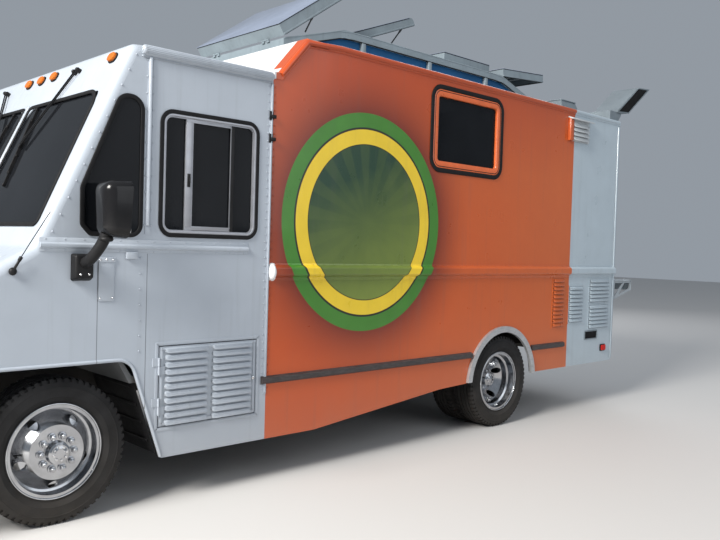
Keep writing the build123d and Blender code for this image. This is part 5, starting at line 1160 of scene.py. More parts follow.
@dataclass(frozen=True)
class Face:
    """A surface that pieces are drawn on, with the body that they take from it, and a slot.

    Args:
        at: The matrix from (across, up, outwards) to the drawing's coordinates.
        slot: The record's material slot.
        body: The CAD body.
    """

    at: Matrix
    slot: str = "moulding_paint"
    body: str = "truck"

    def moved(self, u: float, v: float, out: float = 0.0) -> "Face":
        """Returns the surface with its origin moved."""
        return replace(self, at=self.at @ shift(u, v, out))

    def put(self, piece: Piece, finish: str, out: float = 0.0, **looks: object) -> Piece:
        """Lays a piece on the surface and finishes it as hand_over() does.

        Args:
            piece: The piece, in the surface's coordinates.
            finish: The name of its finish.
            out: How far it is moved out from the surface.
            looks: A body, a slot or a smoothing angle of its own.

        Returns:
            The piece.
        """
        Bench.place(piece, self.at @ shift(0, 0, out))
        return hand_over(piece, finish, **{"body": self.body, "slot": self.slot, **looks})

    def lay(self, maker: Callable, name: str, finish: str, *sizes: object, **looks: object) -> Piece:
        """Makes a piece of the given sizes and puts it on the surface."""
        return self.put(maker(name, *sizes), finish, **looks)


def wall(side: Side) -> Matrix:
    """Returns the matrix from (u, v, outwards) to a body side; u runs forward on the right side."""
    sign = side.value
    return shift(0, sign * SKIN_Y, 0) @ Matrix(((-sign, 0, 0), (0, 0, sign), (0, 1, 0))).to_4x4()


def on_wall(side: Side, corners: Sequence[Corner]) -> list[Corner]:
    """Turns (x, z) corners, counter-clockwise as seen from the left, into wall coordinates."""
    points = [(-side.value * x, z) for x, z in corners]
    return points if side is Side.LEFT else points[::-1]


def oblong(low_x: float, high_x: float, low_z: float, high_z: float) -> list[Corner]:
    """Returns a rectangle's corners, counter-clockwise as seen from the left."""
    return [(high_x, low_z), (low_x, low_z), (low_x, high_z), (high_x, high_z)]


def panel(side: Side, *edges: float) -> list[Corner]:
    """Returns the corners of a rectangle on a side from its edges, as oblong() takes them."""
    return on_wall(side, oblong(*edges))


def square(low_u: float, low_v: float, high_u: float, high_v: float) -> list[Corner]:
    """Returns a rectangle's corners, counter-clockwise."""
    return [(low_u, low_v), (high_u, low_v), (high_u, high_v), (low_u, high_v)]


def grown(corners: Sequence[Corner], amount: float) -> list[Corner]:
    """Moves each edge of a convex outline outwards by an amount."""
    points = [Vector(corner) for corner in corners]
    middle = sum(points, Vector((0, 0))) / len(points)
    moved = []
    for before, here, after in zip((points[-1], *points[:-1]), points, (*points[1:], points[0])):
        normals = []
        for edge in (here - before, after - here):
            normal = Vector((edge.y, -edge.x)).normalized()
            normals.append(normal if normal.dot(here - middle) > 0 else -normal)
        both = normals[0] + normals[1]
        moved.append(tuple(here + both * (2 * amount / both.length_squared)))
    return moved


def up_screen(z: float) -> float:
    """Returns how far up the windscreen's slope a height is."""
    return (z - SCREEN_FOOT[1]) * math.hypot(1, SCREEN_LEAN)


def screen() -> Matrix:
    """Returns the matrix from (across, up the slope, outwards) to the windscreen's plane."""
    up = Vector((-SCREEN_LEAN, 0, 1)).normalized()
    out = Vector((1, 0, SCREEN_LEAN)).normalized()
    return shift(SCREEN_FOOT[0], 0, SCREEN_FOOT[1]) @ axes_to(Vector((0, 1, 0)), up, out)


def facing(x: float, sign: int) -> Matrix:
    """Returns the matrix from (across, up, outwards) to a plane at X that faces forward or back."""
    return shift(x, 0, 0) @ Matrix(((0, 0, sign), (sign, 0, 0), (0, 1, 0))).to_4x4()


@dataclass
class Rivets:
    """Rows of domed rivets on one surface.

    Args:
        name: The piece's name.
        rows: Each row as (first, last, count) in the surface's coordinates.
        radius: The radius of a head.
        squash: How much of a half ball's height a head has.
    """

    name: str
    rows: Sequence[tuple[Corner, Corner, int]]
    radius: float = 0.0065
    squash: float = 0.55

    def build(self, face: Face, finish: str = "body_paint", out: float = 0.0) -> None:
        """Models one head, repeats it along each row and lays the rows on the surface.

        Args:
            face: The surface.
            finish: The rivets' finish.
            out: How far out from the surface they sit.
        """
        head = Bench.start(f"{self.name}_head", "uv_sphere", segments=8, ring_count=6, radius=self.radius)
        Bench.edit(head)
        Bench.trim((0, 0, 1))
        bpy.ops.transform.resize(value=(1, 1, self.squash))
        Bench.clear()
        rows = []
        for number, ((u, v), (last_u, last_v), count) in enumerate(self.rows):
            row = Bench.copy(head, f"{self.name}_{number}", shift(u, v, 0))
            gaps = max(1, count - 1)
            rows.append(Bench.row(row, count, ((last_u - u) / gaps, (last_v - v) / gaps, 0)))
        bpy.data.objects.remove(head)
        face.put(Bench.join(self.name, rows), finish, out, smooth=60)

    def build_on(self, side: Side, slot: str, finish: str = "body_paint", out: float = 0.0) -> None:
        """Turns the rows from (x, z) into a side's wall coordinates and builds them there."""
        sign = -side.value
        self.rows = [((sign * x, z), (sign * last_x, last_z), count)
                     for (x, z), (last_x, last_z), count in self.rows]
        self.build(Face(wall(side), slot), finish, out)


QUARTER = [(2.606, 1.600), (2.306, 1.600), (2.306, 2.386), (2.440, 2.386), (2.656, 1.853), (2.654, 1.650)]
QUARTER_RADII = [0.03, 0.06, 0.075, 0.065, 0.06, 0.03]
SLIDER = oblong(1.492, 2.180, 1.608, 2.337)
KITCHEN_WINDOW = oblong(-1.098, -0.235, 2.239, 2.843)
ENTRY_WINDOW = oblong(1.530, 2.050, 1.500, 2.270)
AXLES = {"front": 2.75, "rear": -1.24}
HUB_Z = 0.405
LOCK_BARREL = [(0.0003, 0.014), (0.009, 0.013), (0.012, 0.009), (0.012, 0.001)]
LEAF_BORDER = (0.02, 0.018, 0.004, 0.0015)
LEAF_SEAL = (0.02, 0.011, 0.003, 0.001)
LEAF_PANEL = (0.04, 0.022, 0.006, 0.003)


def with_lock(name: str, plate: Piece, u: float, v: float, height: float) -> Piece:
    """Sets a lock's barrel in its plate and joins the two."""
    barrel = Bench.place(Bench.lathe(f"{name}_barrel", LOCK_BARREL, 20), shift(u, v, height))
    return Bench.join(name, [plate, barrel])


@dataclass
class Glazing:
    """Rubber gaskets round the windows, and the sliding sash of the cab window.

    Args:
        width: A gasket's width, half of it on the body.
        rise: How far it stands out.
    """

    width: float = 0.026
    rise: float = 0.009

    def gasket(
        self, name: str, corners: Sequence[Corner], radius: float | Sequence[float], at: Matrix,
        out: float = 0.0, body: str = "truck",
    ) -> None:
        """Lays a gasket along a window opening.

        Args:
            name: The piece's name.
            corners: The opening's outline in the surface's coordinates.
            radius: The radius of its corners, or one for each.
            at: The surface's matrix.
            out: How far out from the surface it lies.
            body: The body that carries the window.
        """
        extra = self.width / 2
        radii = radius + extra if isinstance(radius, float) else [part + extra for part in radius]
        piece = Bench.ring(name, grown(corners, extra), radii, self.width, self.rise, 0.004)
        Face(at, "glass", body).put(piece, "black_rubber", out, smooth=50)

    def windscreen(self) -> None:
        """Lays the gaskets of the two panes and the trim of the post between them."""
        foot, head = up_screen(1.640), up_screen(2.418)
        left = [(0.042, foot), (1.095, foot), (1.055, head), (0.042, head)]
        right = [(-u, v) for u, v in (left[1], left[0], left[3], left[2])]
        self.gasket("gasket_screen_left", left, (0.035, 0.035, 0.11, 0.035), screen(), 0.001)
        self.gasket("gasket_screen_right", right, (0.035, 0.035, 0.035, 0.11), screen(), 0.001)
        post = Bench.bead("screen_post_trim", (0, foot - 0.02), (0, head + 0.02), 0.016, 0.010)
        Face(screen(), "frame_aluminium").put(post, "body_paint")

    def sides(self) -> None:
        """Lays the panes of the quarter windows and the gaskets of the side windows."""
        for side in Side:
            corners, radii = on_wall(side, QUARTER), QUARTER_RADII[::side.value]
            pane = Bench.thicken(Bench.flat(f"quarter_pane_{side.tag}", corners, radii), 0.0015)
            Face(wall(side), "glass").put(pane, "window_dark")
            self.gasket(f"gasket_quarter_{side.tag}", corners, radii, wall(side), 0.001)
        self.gasket("gasket_slider", on_wall(Side.LEFT, SLIDER), 0.072, wall(Side.LEFT))
        kitchen = on_wall(Side.LEFT, grown(KITCHEN_WINDOW, 0.050))
        kitchen = Bench.ring("gasket_kitchen", kitchen, 0.12, 0.036, self.rise, 0.004)
        Face(wall(Side.LEFT), "glass").put(kitchen, "black_rubber", smooth=50)
        entry = on_wall(Side.RIGHT, ENTRY_WINDOW)
        self.gasket("gasket_entry", entry, 0.06, wall(Side.RIGHT), body="entry_door")

    def kitchen_window(self) -> None:
        """Lays the kitchen window's orange lip and reveal, and the dark line between them."""
        left = Face(wall(Side.LEFT), "frame_aluminium")
        rings = (
            ("lip", "window_orange", 0.012, (0.078, 0.054, 0.006), 0.0),
            ("reveal", "window_orange", -0.0385, (0.034, 0.005, 0.034, 0.0015), -0.032),
            ("line", "black_rubber", 0.003, (0.072, 0.006, 0.003), 0.0045),
        )
        for name, finish, growth, sizes, out in rings:
            outline = on_wall(Side.LEFT, grown(KITCHEN_WINDOW, growth))
            left.lay(Bench.ring, f"kitchen_window_{name}", finish, outline, *sizes, out=out)

    def sash(self) -> None:
        """Builds the slider's inner beading, its sliding sash, the catch and the felt in its tracks."""
        left = Face(wall(Side.LEFT), "frame_aluminium")
        beading = on_wall(Side.LEFT, grown(SLIDER, -0.012))
        left.lay(Bench.ring, "slider_beading", "brushed_aluminium", beading, 0.06, 0.014, 0.009, out=-0.002)
        sash, radii = panel(Side.LEFT, 1.674, 2.018, 1.642, 2.312), (0.045, 0.004, 0.004, 0.045)
        left.lay(Bench.ring, "slider_sash", "brushed_aluminium", sash, radii, 0.024, 0.006, out=-0.006)
        stile = (-2.016, 1.66, -0.006), (-1.970, 2.29, 0.002), 0.006
        left.lay(Bench.box, "slider_sash_stile", "brushed_aluminium", *stile)
        felt = (-1.690, 1.64, -0.006), (-1.668, 2.305, 0.0005), 0.002
        left.lay(Bench.box, "slider_meeting_stile", "black_plastic", *felt)
        catch = Bench.box("slider_catch_base", (-2.005, 1.90, 0.001), (-1.985, 1.98, 0.008), 0.003)
        lever = Bench.box("slider_catch_lever", (-2.0, 1.925, 0.006), (-1.99, 1.955, 0.018), 0.003)
        left.put(Bench.join("slider_catch", [catch, lever]), "black_plastic")

    def build(self) -> None:
        """Builds every window's trim."""
        self.windscreen()
        self.sides()
        self.kitchen_window()
        self.sash()


@dataclass
class Louvres:
    """A bank of pressed louvres: rounded hoods open at the bottom over near-black slots of painted shade.

    Args:
        name: The piece's name.
        side: The body side it is in.
        low_x: Its rear end.
        high_x: Its front end.
        tops: The height of the middle of the lowest and of the highest hood.
        count: How many hoods.
        rise: How far a hood stands out.
        depth: A hood's height.
        body: The body it rides.
        finish: Its finish.
        out: How far out from the wall it sits.
    """

    name: str
    side: Side
    low_x: float
    high_x: float
    tops: tuple[float, float]
    count: int
    rise: float = 0.014
    depth: float = 0.030
    body: str = "truck"
    finish: str = "body_paint"
    out: float = 0.0

    def hood(self, length: float) -> Piece:
        """Models one hood: a quarter of a drum, pressed flat, with rounded ends."""
        drum = {"vertices": 24, "radius": self.depth, "depth": length, "rotation": (0, math.pi / 2, 0)}
        hood = Bench.start(f"{self.name}_hood", "cylinder", **drum)
        Bench.edit(hood)
        Bench.trim((0, 0, 1))
        Bench.trim((0, 1, 0))
        bpy.ops.transform.resize(value=(1, 1, self.rise / self.depth))
        bpy.ops.transform.translate(value=(0, -self.depth * 0.45, 0))
        Bench.round_ends(hood, 0, 2, length / 2, self.rise * 0.7, 2)
        Bench.modify(hood, "SOLIDIFY", thickness=0.0015, offset=-1)
        return hood

    def build(self) -> None:
        """Models one hood and its slot and repeats both up the bank."""
        length = self.high_x - self.low_x
        hood = self.hood(length)
        reach = length / 2 - 0.006
        low, high = (-reach, -self.depth * 0.40, -0.001), (reach, self.depth * 0.1, 0.002)
        # The slot is a near-black box: painted shade in the opening under each hood.
        slot = Bench.box(f"{self.name}_slot", low, high, 0.0008, 1)
        step = (0, (self.tops[1] - self.tops[0]) / max(1, self.count - 1), 0)
        middle = -self.side.value * (self.low_x + self.high_x) / 2
        face = Face(wall(self.side), "vent_paint", self.body).moved(middle, self.tops[0], self.out)
        face.put(Bench.row(hood, self.count, step), self.finish, smooth=50)
        face.put(Bench.row(slot, self.count, step), "dark_hole")


@dataclass
class CabTrim:
    """The cab's rivets, beads, belt flanges, gutter, brackets, antenna, wheel-arch lips and access door.

    Args:
        pillar: The foot and the head of the rivets along the pillar.
        seam_x: Where the cab's own seam is.
        belt_z: The belt's lower and upper edge.
        arch: The radius of the wheel-arch lip's corners and the height of their middles.
    """

    pillar: tuple[Corner, Corner] = ((2.812, 1.605), (2.351, 2.627))
    seam_x: float = 2.260
    belt_z: tuple[float, float] = (1.500, 1.575)
    arch: Corner = (0.115, 0.772)

    def rivets(self, side: Side) -> None:
        """Sets the rows along the pillar, the seam, the belt and the rear seam strip."""
        belt_rear, belt_count = (1.58, 13) if side is Side.LEFT else (2.32, 6)
        rows = [(*self.pillar, 12), *(((x, 1.66), (x, 2.61), 11) for x in (2.240, 2.280))]
        rows += [((2.85, z), (belt_rear, z), belt_count) for z in (1.5655, 1.5065)]
        rows += [((x, 0.62), (x, 2.60), 40) for x in (1.360, 1.412)]
        rows.append(((2.30, 0.93), (2.30, 1.47), 7))
        Rivets(f"cab_rivets_{side.tag}", rows).build_on(side, "cab_paint")

    def beads(self, side: Side) -> None:
        """Lays the seam bead, the rear seam's bead, the gutter with its lip, and the belt's flange."""
        y = side.value * SKIN_Y
        out = (0, side.value, 0)
        seam_y = y + side.value * 0.004
        lines = {
            "seam_bead": ((self.seam_x, seam_y, 1.655), (self.seam_x, seam_y, 2.63), 0.012, 0.010),
            "rear_seam_bead": ((1.386, seam_y, 0.59), (1.386, seam_y, 2.62), 0.008, 0.005),
            "gutter": ((1.38, y, 2.661), (2.318, y, 2.661), 0.029, 0.030),
        }
        pieces = [Bench.bead(f"{name}_{side.tag}", *line, out) for name, line in lines.items()]
        belt = panel(side, 1.55 if side is Side.LEFT else 2.29, 2.884, *self.belt_z)
        pieces.append(Bench.place(Bench.plate(f"belt_flange_{side.tag}", belt, 0.003), wall(side)))
        lip = (1.38, y, 2.627), (2.318, y, 2.627)
        pieces.append(Bench.bead(f"gutter_lip_{side.tag}", *lip, 0.006, 0.012, out))
        for piece in pieces:
            hand_over(piece, "body_paint", slot="cab_paint", smooth=60)

    def arch_lip(self, side: Side) -> None:
        """Rolls the lip round the front wheel opening."""
        y = side.value * (SKIN_Y - 0.003)
        radius, z = self.arch
        path = [(2.142, 0.290), (2.318, 0.807)]
        for middle_x, first, sweep in ((2.4268, 161, 71), (3.115, 90, 73)):
            turns = [math.radians(first - number * sweep / 6) for number in range(7)]
            path += [(middle_x + radius * math.cos(turn), z + radius * math.sin(turn)) for turn in turns]
        path.append((3.290, 0.600))
        lip = Bench.tube(f"arch_lip_{side.tag}", [(x, y, height) for x, height in path], 0.011, 2)
        hand_over(lip, "body_paint", slot="cab_paint", smooth=60)

    def brackets(self) -> None:
        """Fits the left side's brackets and hooks."""
        left = Face(wall(Side.LEFT), "cab_paint")
        plate = Bench.plate("mirror_backing", panel(Side.LEFT, 2.459, 2.557, 1.226, 1.462), 0.006, 0.012)
        flange = panel(Side.LEFT, 2.456, 2.560, 1.444, 1.472)
        flange = Bench.plate("mirror_backing_flange", flange, 0.010, 0.004)
        left.put(Bench.join("mirror_backing_plate", [plate, flange]), "body_paint")
        screws = [((-2.545, z), (-2.471, z), count) for z, count in ((1.458, 3), (1.243, 2))]
        Rivets("mirror_backing_screws", screws, 0.005).build(left, "bright_steel", 0.009)
        cowl = panel(Side.LEFT, 2.322, 2.393, 1.462, 1.503)
        left.lay(Bench.plate, "cowl_bracket", "body_paint", cowl, 0.016, 0.006, 0.003)
        for number, z in enumerate((2.410, 2.263)):
            base = Bench.box(f"hook_base_{number}", (-1.405, z - 0.03, 0.003), (-1.375, z + 0.03, 0.010))
            low, high = (-1.396, z - 0.018, 0.008), (-1.36, z + 0.006, 0.024)
            tongue = Bench.box(f"hook_tongue_{number}", low, high, 0.004)
            hook = Bench.join(f"pole_hook_{number}", [base, tongue])
            left.put(hook, "black_plastic", slot="mirror_black")

    def antenna(self) -> None:
        """Builds the whip antenna on the left of the cowl."""
        y = SKIN_Y
        ball = {"radius": 0.021, "location": (3.018, y + 0.012, 1.393), "scale": (1, 0.8, 1)}
        rod = [(2.986, y + 0.032, 1.465), (2.915, y + 0.04, 1.590), (2.844, y + 0.05, 1.709)]
        pieces = [
            Bench.start("antenna_ball", "uv_sphere", segments=16, ring_count=10, **ball),
            Bench.bar("antenna_neck", (3.016, y + 0.018, 1.400), (2.990, y + 0.03, 1.455), 0.007),
            Bench.bar("antenna_ferrule", (2.994, y + 0.028, 1.447), (2.983, y + 0.033, 1.470), 0.0095),
            Bench.tube("antenna_rod", rod, 0.0025),
        ]
        hand_over(Bench.join("antenna", pieces), "black_plastic", slot="mirror_black", smooth=60)

    def access_door(self) -> None:
        """Dresses the louvred door: its pressed border, the frame round it, louvres and the lock."""
        left, door = Side.LEFT, {"body": "access_door"}
        face = Face(wall(left), "cab_paint")
        border, rim = panel(left, 1.474, 2.156, 0.477, 0.937), panel(left, 1.436, 2.192, 0.440, 0.974)
        face.lay(Bench.ring, "access_border", "body_paint", border, 0.012, 0.014, 0.004, 0.002, **door)
        face.lay(Bench.ring, "access_frame", "body_paint", rim, 0.012, 0.019, 0.003, 0.0015)
        for number, x in enumerate((1.650, 1.980)):
            ends = (x - 0.149, x + 0.149)
            name = f"access_louvres_{number}"
            Louvres(name, left, *ends, (0.4906, 0.9234), 11, 0.0165, 0.022, **door).build()
        barrel = {"radius": 0.011, "depth": 0.012, "location": (-1.487, 0.70, 0.005)}
        lock = Bench.start("access_lock_barrel", "cylinder", vertices=20, **barrel)
        Bench.soften(lock, 0.003)
        slot = Bench.box("access_lock_slot", (-1.4895, 0.694, 0.009), (-1.4845, 0.706, 0.013), 0.001, 1)
        face.put(Bench.join("access_lock", [lock, slot]), "bright_steel", **door)

    def build(self) -> None:
        """Builds the trim of both sides."""
        for side in Side:
            self.rivets(side)
            self.beads(side)
            self.arch_lip(side)
        self.brackets()
        self.antenna()
        self.access_door()


@dataclass
class KitchenTrim:
    """The kitchen body's rails, end cap, corner strips, vents and louvres.

    Args:
        rail_z: The broad rail's lower and upper edge.
        edge_z: The height of the rail along the roof's edge.
        banks: Each bank of louvres as (name, rear end, front end, hood heights, hoods).
    """

    rail_z: tuple[float, float] = (1.330, 1.446)
    edge_z: float = 2.9605
    banks: tuple = (
        ("orange", -2.222, -2.055, (0.868, 1.300), 12),
        ("mid", -2.580, -2.345, (0.900, 1.220), 9),
        ("rear_low", -3.100, -2.730, (0.822, 1.020), 6),
        ("rear_high", -3.100, -2.730, (1.092, 1.290), 6),
    )

    def rails(self, side: Side) -> None:
        """Lays the broad rail's flanges, the roof-edge rail and the rear corner strip."""
        tag, y, out = side.tag, side.value * SKIN_Y, (0, side.value, 0)
        face = Face(wall(side), "kitchen_paint")
        broad = panel(side, -3.205, 1.345, *self.rail_z)
        face.lay(Bench.plate, f"rail_flange_{tag}", "body_paint", broad, 0.003)
        lines = {
            "edge": (0.0200, ((-3.202, self.edge_z), (1.078, self.edge_z), (1.3138, 2.6885))),
            "drip": (0.0065, ((-3.202, 2.934), (1.0659, 2.934), (1.303, 2.660))),
        }
        for name, (radius, line) in lines.items():
            rail = Bench.tube(f"roof_{name}_{tag}", [(x, y, z) for x, z in line], radius, 2)
            hand_over(rail, "body_paint", slot="kitchen_paint", smooth=60)
        corner = Bench.bead(f"corner_strip_{tag}", (-3.196, y, 0.47), (-3.196, y, 2.92), 0.016, 0.007, out)
        hand_over(corner, "body_paint", slot="kitchen_paint", smooth=60)

    def rail_end(self, side: Side) -> None:
        """Closes the broad rail's front end with a domed cap in a collar."""
        tag, y = side.tag, side.value * SKIN_Y
        dome = {"radius": 1, "scale": (0.031, 0.038, 0.056), "location": (1.351, y, 1.388)}
        cap = Bench.start(f"rail_cap_{tag}", "uv_sphere", segments=28, ring_count=18, **dome)
        Bench.edit(cap)
        Bench.trim((0, side.value, 0), (0, y, 0))
        Bench.clear()
        collar = panel(side, 1.318, 1.384, 1.328, 1.448)
        collar = Bench.place(Bench.ring(f"rail_cap_collar_{tag}", collar, 0.03, 0.012, 0.004), wall(side))
        hand_over(Bench.join(f"rail_end_{tag}", [cap, collar]), "white_cap", smooth=60)

    def rivets(self, side: Side) -> None:
        """Sets the rows along the broad rail's flanges and down the corner strip."""
        rows = [((1.30, z), (-3.19, z), 46) for z in (1.3345, 1.4415)]
        rows.append(((-3.196, 0.52), (-3.196, 2.90), 30))
        Rivets(f"kitchen_rivets_{side.tag}", rows, 0.0045).build_on(side, "kitchen_paint", out=0.003)

    def upper_vent(self, side: Side) -> None:
        """Builds the louvred vent with its little hood high at the rear."""
        tag, sign = side.tag, side.value
        face = Face(wall(side), "vent_paint")
        backing = panel(side, -2.579, -2.206, 2.666, 2.889)
        face.lay(Bench.plate, f"upper_vent_panel_{tag}", "vent_light", backing, 0.012, 0.006, 0.003)
        looks = {"rise": 0.020, "finish": "vent_light", "out": 0.012}
        Louvres(f"upper_vent_louvres_{tag}", side, -2.560, -2.262, (2.696, 2.825), 4, **looks).build()
        bar = Bench.box(f"upper_vent_bar_{tag}", (-0.032, -0.112, 0.0), (0.032, 0.112, 0.034), 0.006)
        face.moved(sign * 2.233, 2.777).put(bar, "body_paint")
        hood = Bench.box(f"upper_vent_hood_{tag}", (-0.205, -0.006, 0.0), (0.205, 0.006, 0.062))
        Bench.place(hood, Matrix.Rotation(math.radians(22), 4, "X"))
        face.moved(sign * 2.405, 2.896).put(hood, "vent_light")

    def lower_louvres(self, side: Side, edge: float = 0.022, above: float = 0.012) -> None:
        """Builds the framed banks of louvres low behind the rear wheels.

        Args:
            side: The body side.
            edge: How far a frame reaches beyond the hoods' ends.
            above: How much further it reaches at the top and the bottom.
        """
        for name, low_x, high_x, tops, count in self.banks:
            ends = panel(side, low_x - edge, high_x + edge, tops[0] - edge - above, tops[1] + edge + above)
            frame_ring = Bench.ring(f"louvre_frame_{name}_{side.tag}", ends, 0.008, 0.012, 0.004, 0.0015)
            Face(wall(side), "vent_paint").put(frame_ring, "body_paint")
            Louvres(f"louvres_{name}_{side.tag}", side, low_x, high_x, tops, count, 0.013, 0.024).build()

    def small_fittings(self, side: Side) -> None:
        """Fits the step recess, its inside a plate of painted shade, and the side lamp."""
        tag, face = side.tag, Face(wall(side), "vent_paint")
        recess = panel(side, -2.901, -2.650, 0.690, 0.781)
        inside = panel(side, -2.895, -2.656, 0.696, 0.775)
        face.lay(Bench.ring, f"recess_frame_{tag}", "vent_grey", recess, 0.01, 0.010, 0.008)
        # The recess's inside is a near-black plate: painted shade.
        face.lay(Bench.plate, f"recess_inside_{tag}", "dark_hole", inside, 0.002, 0.006)
        low = panel(side, -3.073, -2.972, 0.553, 0.625)
        base, lens = (low, 0.010, 0.012, 0.003), (grown(low, -0.008), 0.012, 0.010, 0.005)
        face.lay(Bench.plate, f"side_lamp_base_{tag}", "black_plastic", *base, slot="bright_trim")
        face.lay(Bench.plate, f"side_lamp_lens_{tag}", "lens_red", *lens, out=0.010, slot="amber_lens")

    def build(self) -> None:
        """Builds the trim of both sides."""
        for side in Side:
            self.rails(side)
            self.rail_end(side)
            self.rivets(side)
            self.upper_vent(side)
            self.lower_louvres(side)
            self.small_fittings(side)


@dataclass
class Tyres:
    """Radial tyres with ribbed treads, shoulder lugs and ringed sidewalls, in place of the plain CAD ones.

    Args:
        radius: The outer radius.
        width: The width across the sidewalls.
        tread: Half the width of the tread.
        notch: How deep the lugs' notches are.
        bead: The radius at the rim.
        lugs: The shoulder lugs round the tyre.
        grooves: Where the grooves are across the tread.
        stations: How far from the middle each axle's tyres stand.
    """

    radius: float = HUB_Z
    width: float = 0.226
    tread: float = 0.09718
    notch: float = 0.008
    bead: float = 0.249
    lugs: int = 60
    grooves: tuple[float, ...] = (-0.055, -0.019, 0.019, 0.055)
    stations: tuple[tuple[float, ...], ...] = ((1.036,), (1.076, 0.822))

    def section(self) -> list[Corner]:
        """Returns the section from bead to bead, with the grooves in the tread."""
        half, tread = self.width / 2, self.tread
        side = [
            (self.bead, -0.078), (self.bead + 0.010, -0.084), (0.268, -0.092), (0.2695, -0.0955),
            (0.273, -0.0955), (0.275, -0.094), (0.300, -half + 0.002), (0.303, -half),
            (0.307, -half + 0.001), (0.330, -half), (0.352, -half + 0.002), (0.3545, -half + 0.0005),
            (0.359, -half + 0.0035), (0.380, -half + 0.009), (0.392, -tread - 0.005),
        ]
        top, floor = self.radius - 0.0005, self.radius - 0.011
        crown = [(self.radius - 0.004, -tread)]
        for groove in self.grooves:
            crown += [(top, groove - 0.006), (floor, groove - 0.004), (floor, groove + 0.004)]
            crown.append((top, groove + 0.006))
        crown.append((self.radius - 0.004, tread))
        return side + crown + [(x, -z) for x, z in reversed(side)]

    def model(self) -> Piece:
        """Turns one tyre and presses the notches between its shoulder lugs."""
        tyre = Bench.lathe("tyre_pattern", self.section(), self.lugs * 2)
        Bench.edit(tyre)
        step = math.tau / (self.lugs * 2)

        def notch(face: bmesh.types.BMFace) -> bool:
            middle = face.calc_center_median()
            reach = math.hypot(middle.x, middle.y)
            turn = int(((math.atan2(middle.y, middle.x) + math.tau) % math.tau) / step)
            across = self.grooves[-1] + 0.007 < abs(middle.z) < self.tread + 0.01
            return across and reach > self.radius - 0.02 and (turn + (middle.z <= 0)) % 2 == 0

        if Bench.pick(tyre, "FACE", notch):
            bpy.ops.mesh.inset(thickness=0.0015, use_even_offset=True)
            bpy.ops.mesh.extrude_region_shrink_fatten(TRANSFORM_OT_shrink_fatten={"value": 0.0})
            bpy.ops.transform.shrink_fatten(value=-self.notch)
        Bench.clear()
        return tyre

    def build(self) -> None:
        """Fits a tyre on each rim."""
        pattern = self.model()
        for side in Side:
            names = (f"front_tyre_{side.tag}", f"rear_tyres_{side.tag}")
            bodies = (f"front_wheel_{side.tag}", f"rear_wheels_{side.tag}")
            for node, body, x, stations in zip(names, bodies, AXLES.values(), self.stations):
                spots = [shift(x, side.value * y, self.radius) for y in stations]
                upright = Matrix.Rotation(math.pi / 2, 4, "X")
                tyres = [Bench.copy(pattern, f"{node}_{number}", spot @ upright)
                         for number, spot in enumerate(spots)]
                piece = Bench.join(f"{node}_treaded", tyres)
                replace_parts(hand_over(piece, "tyre_rubber", body, "tyre", 35), node)
        bpy.data.objects.remove(pattern)


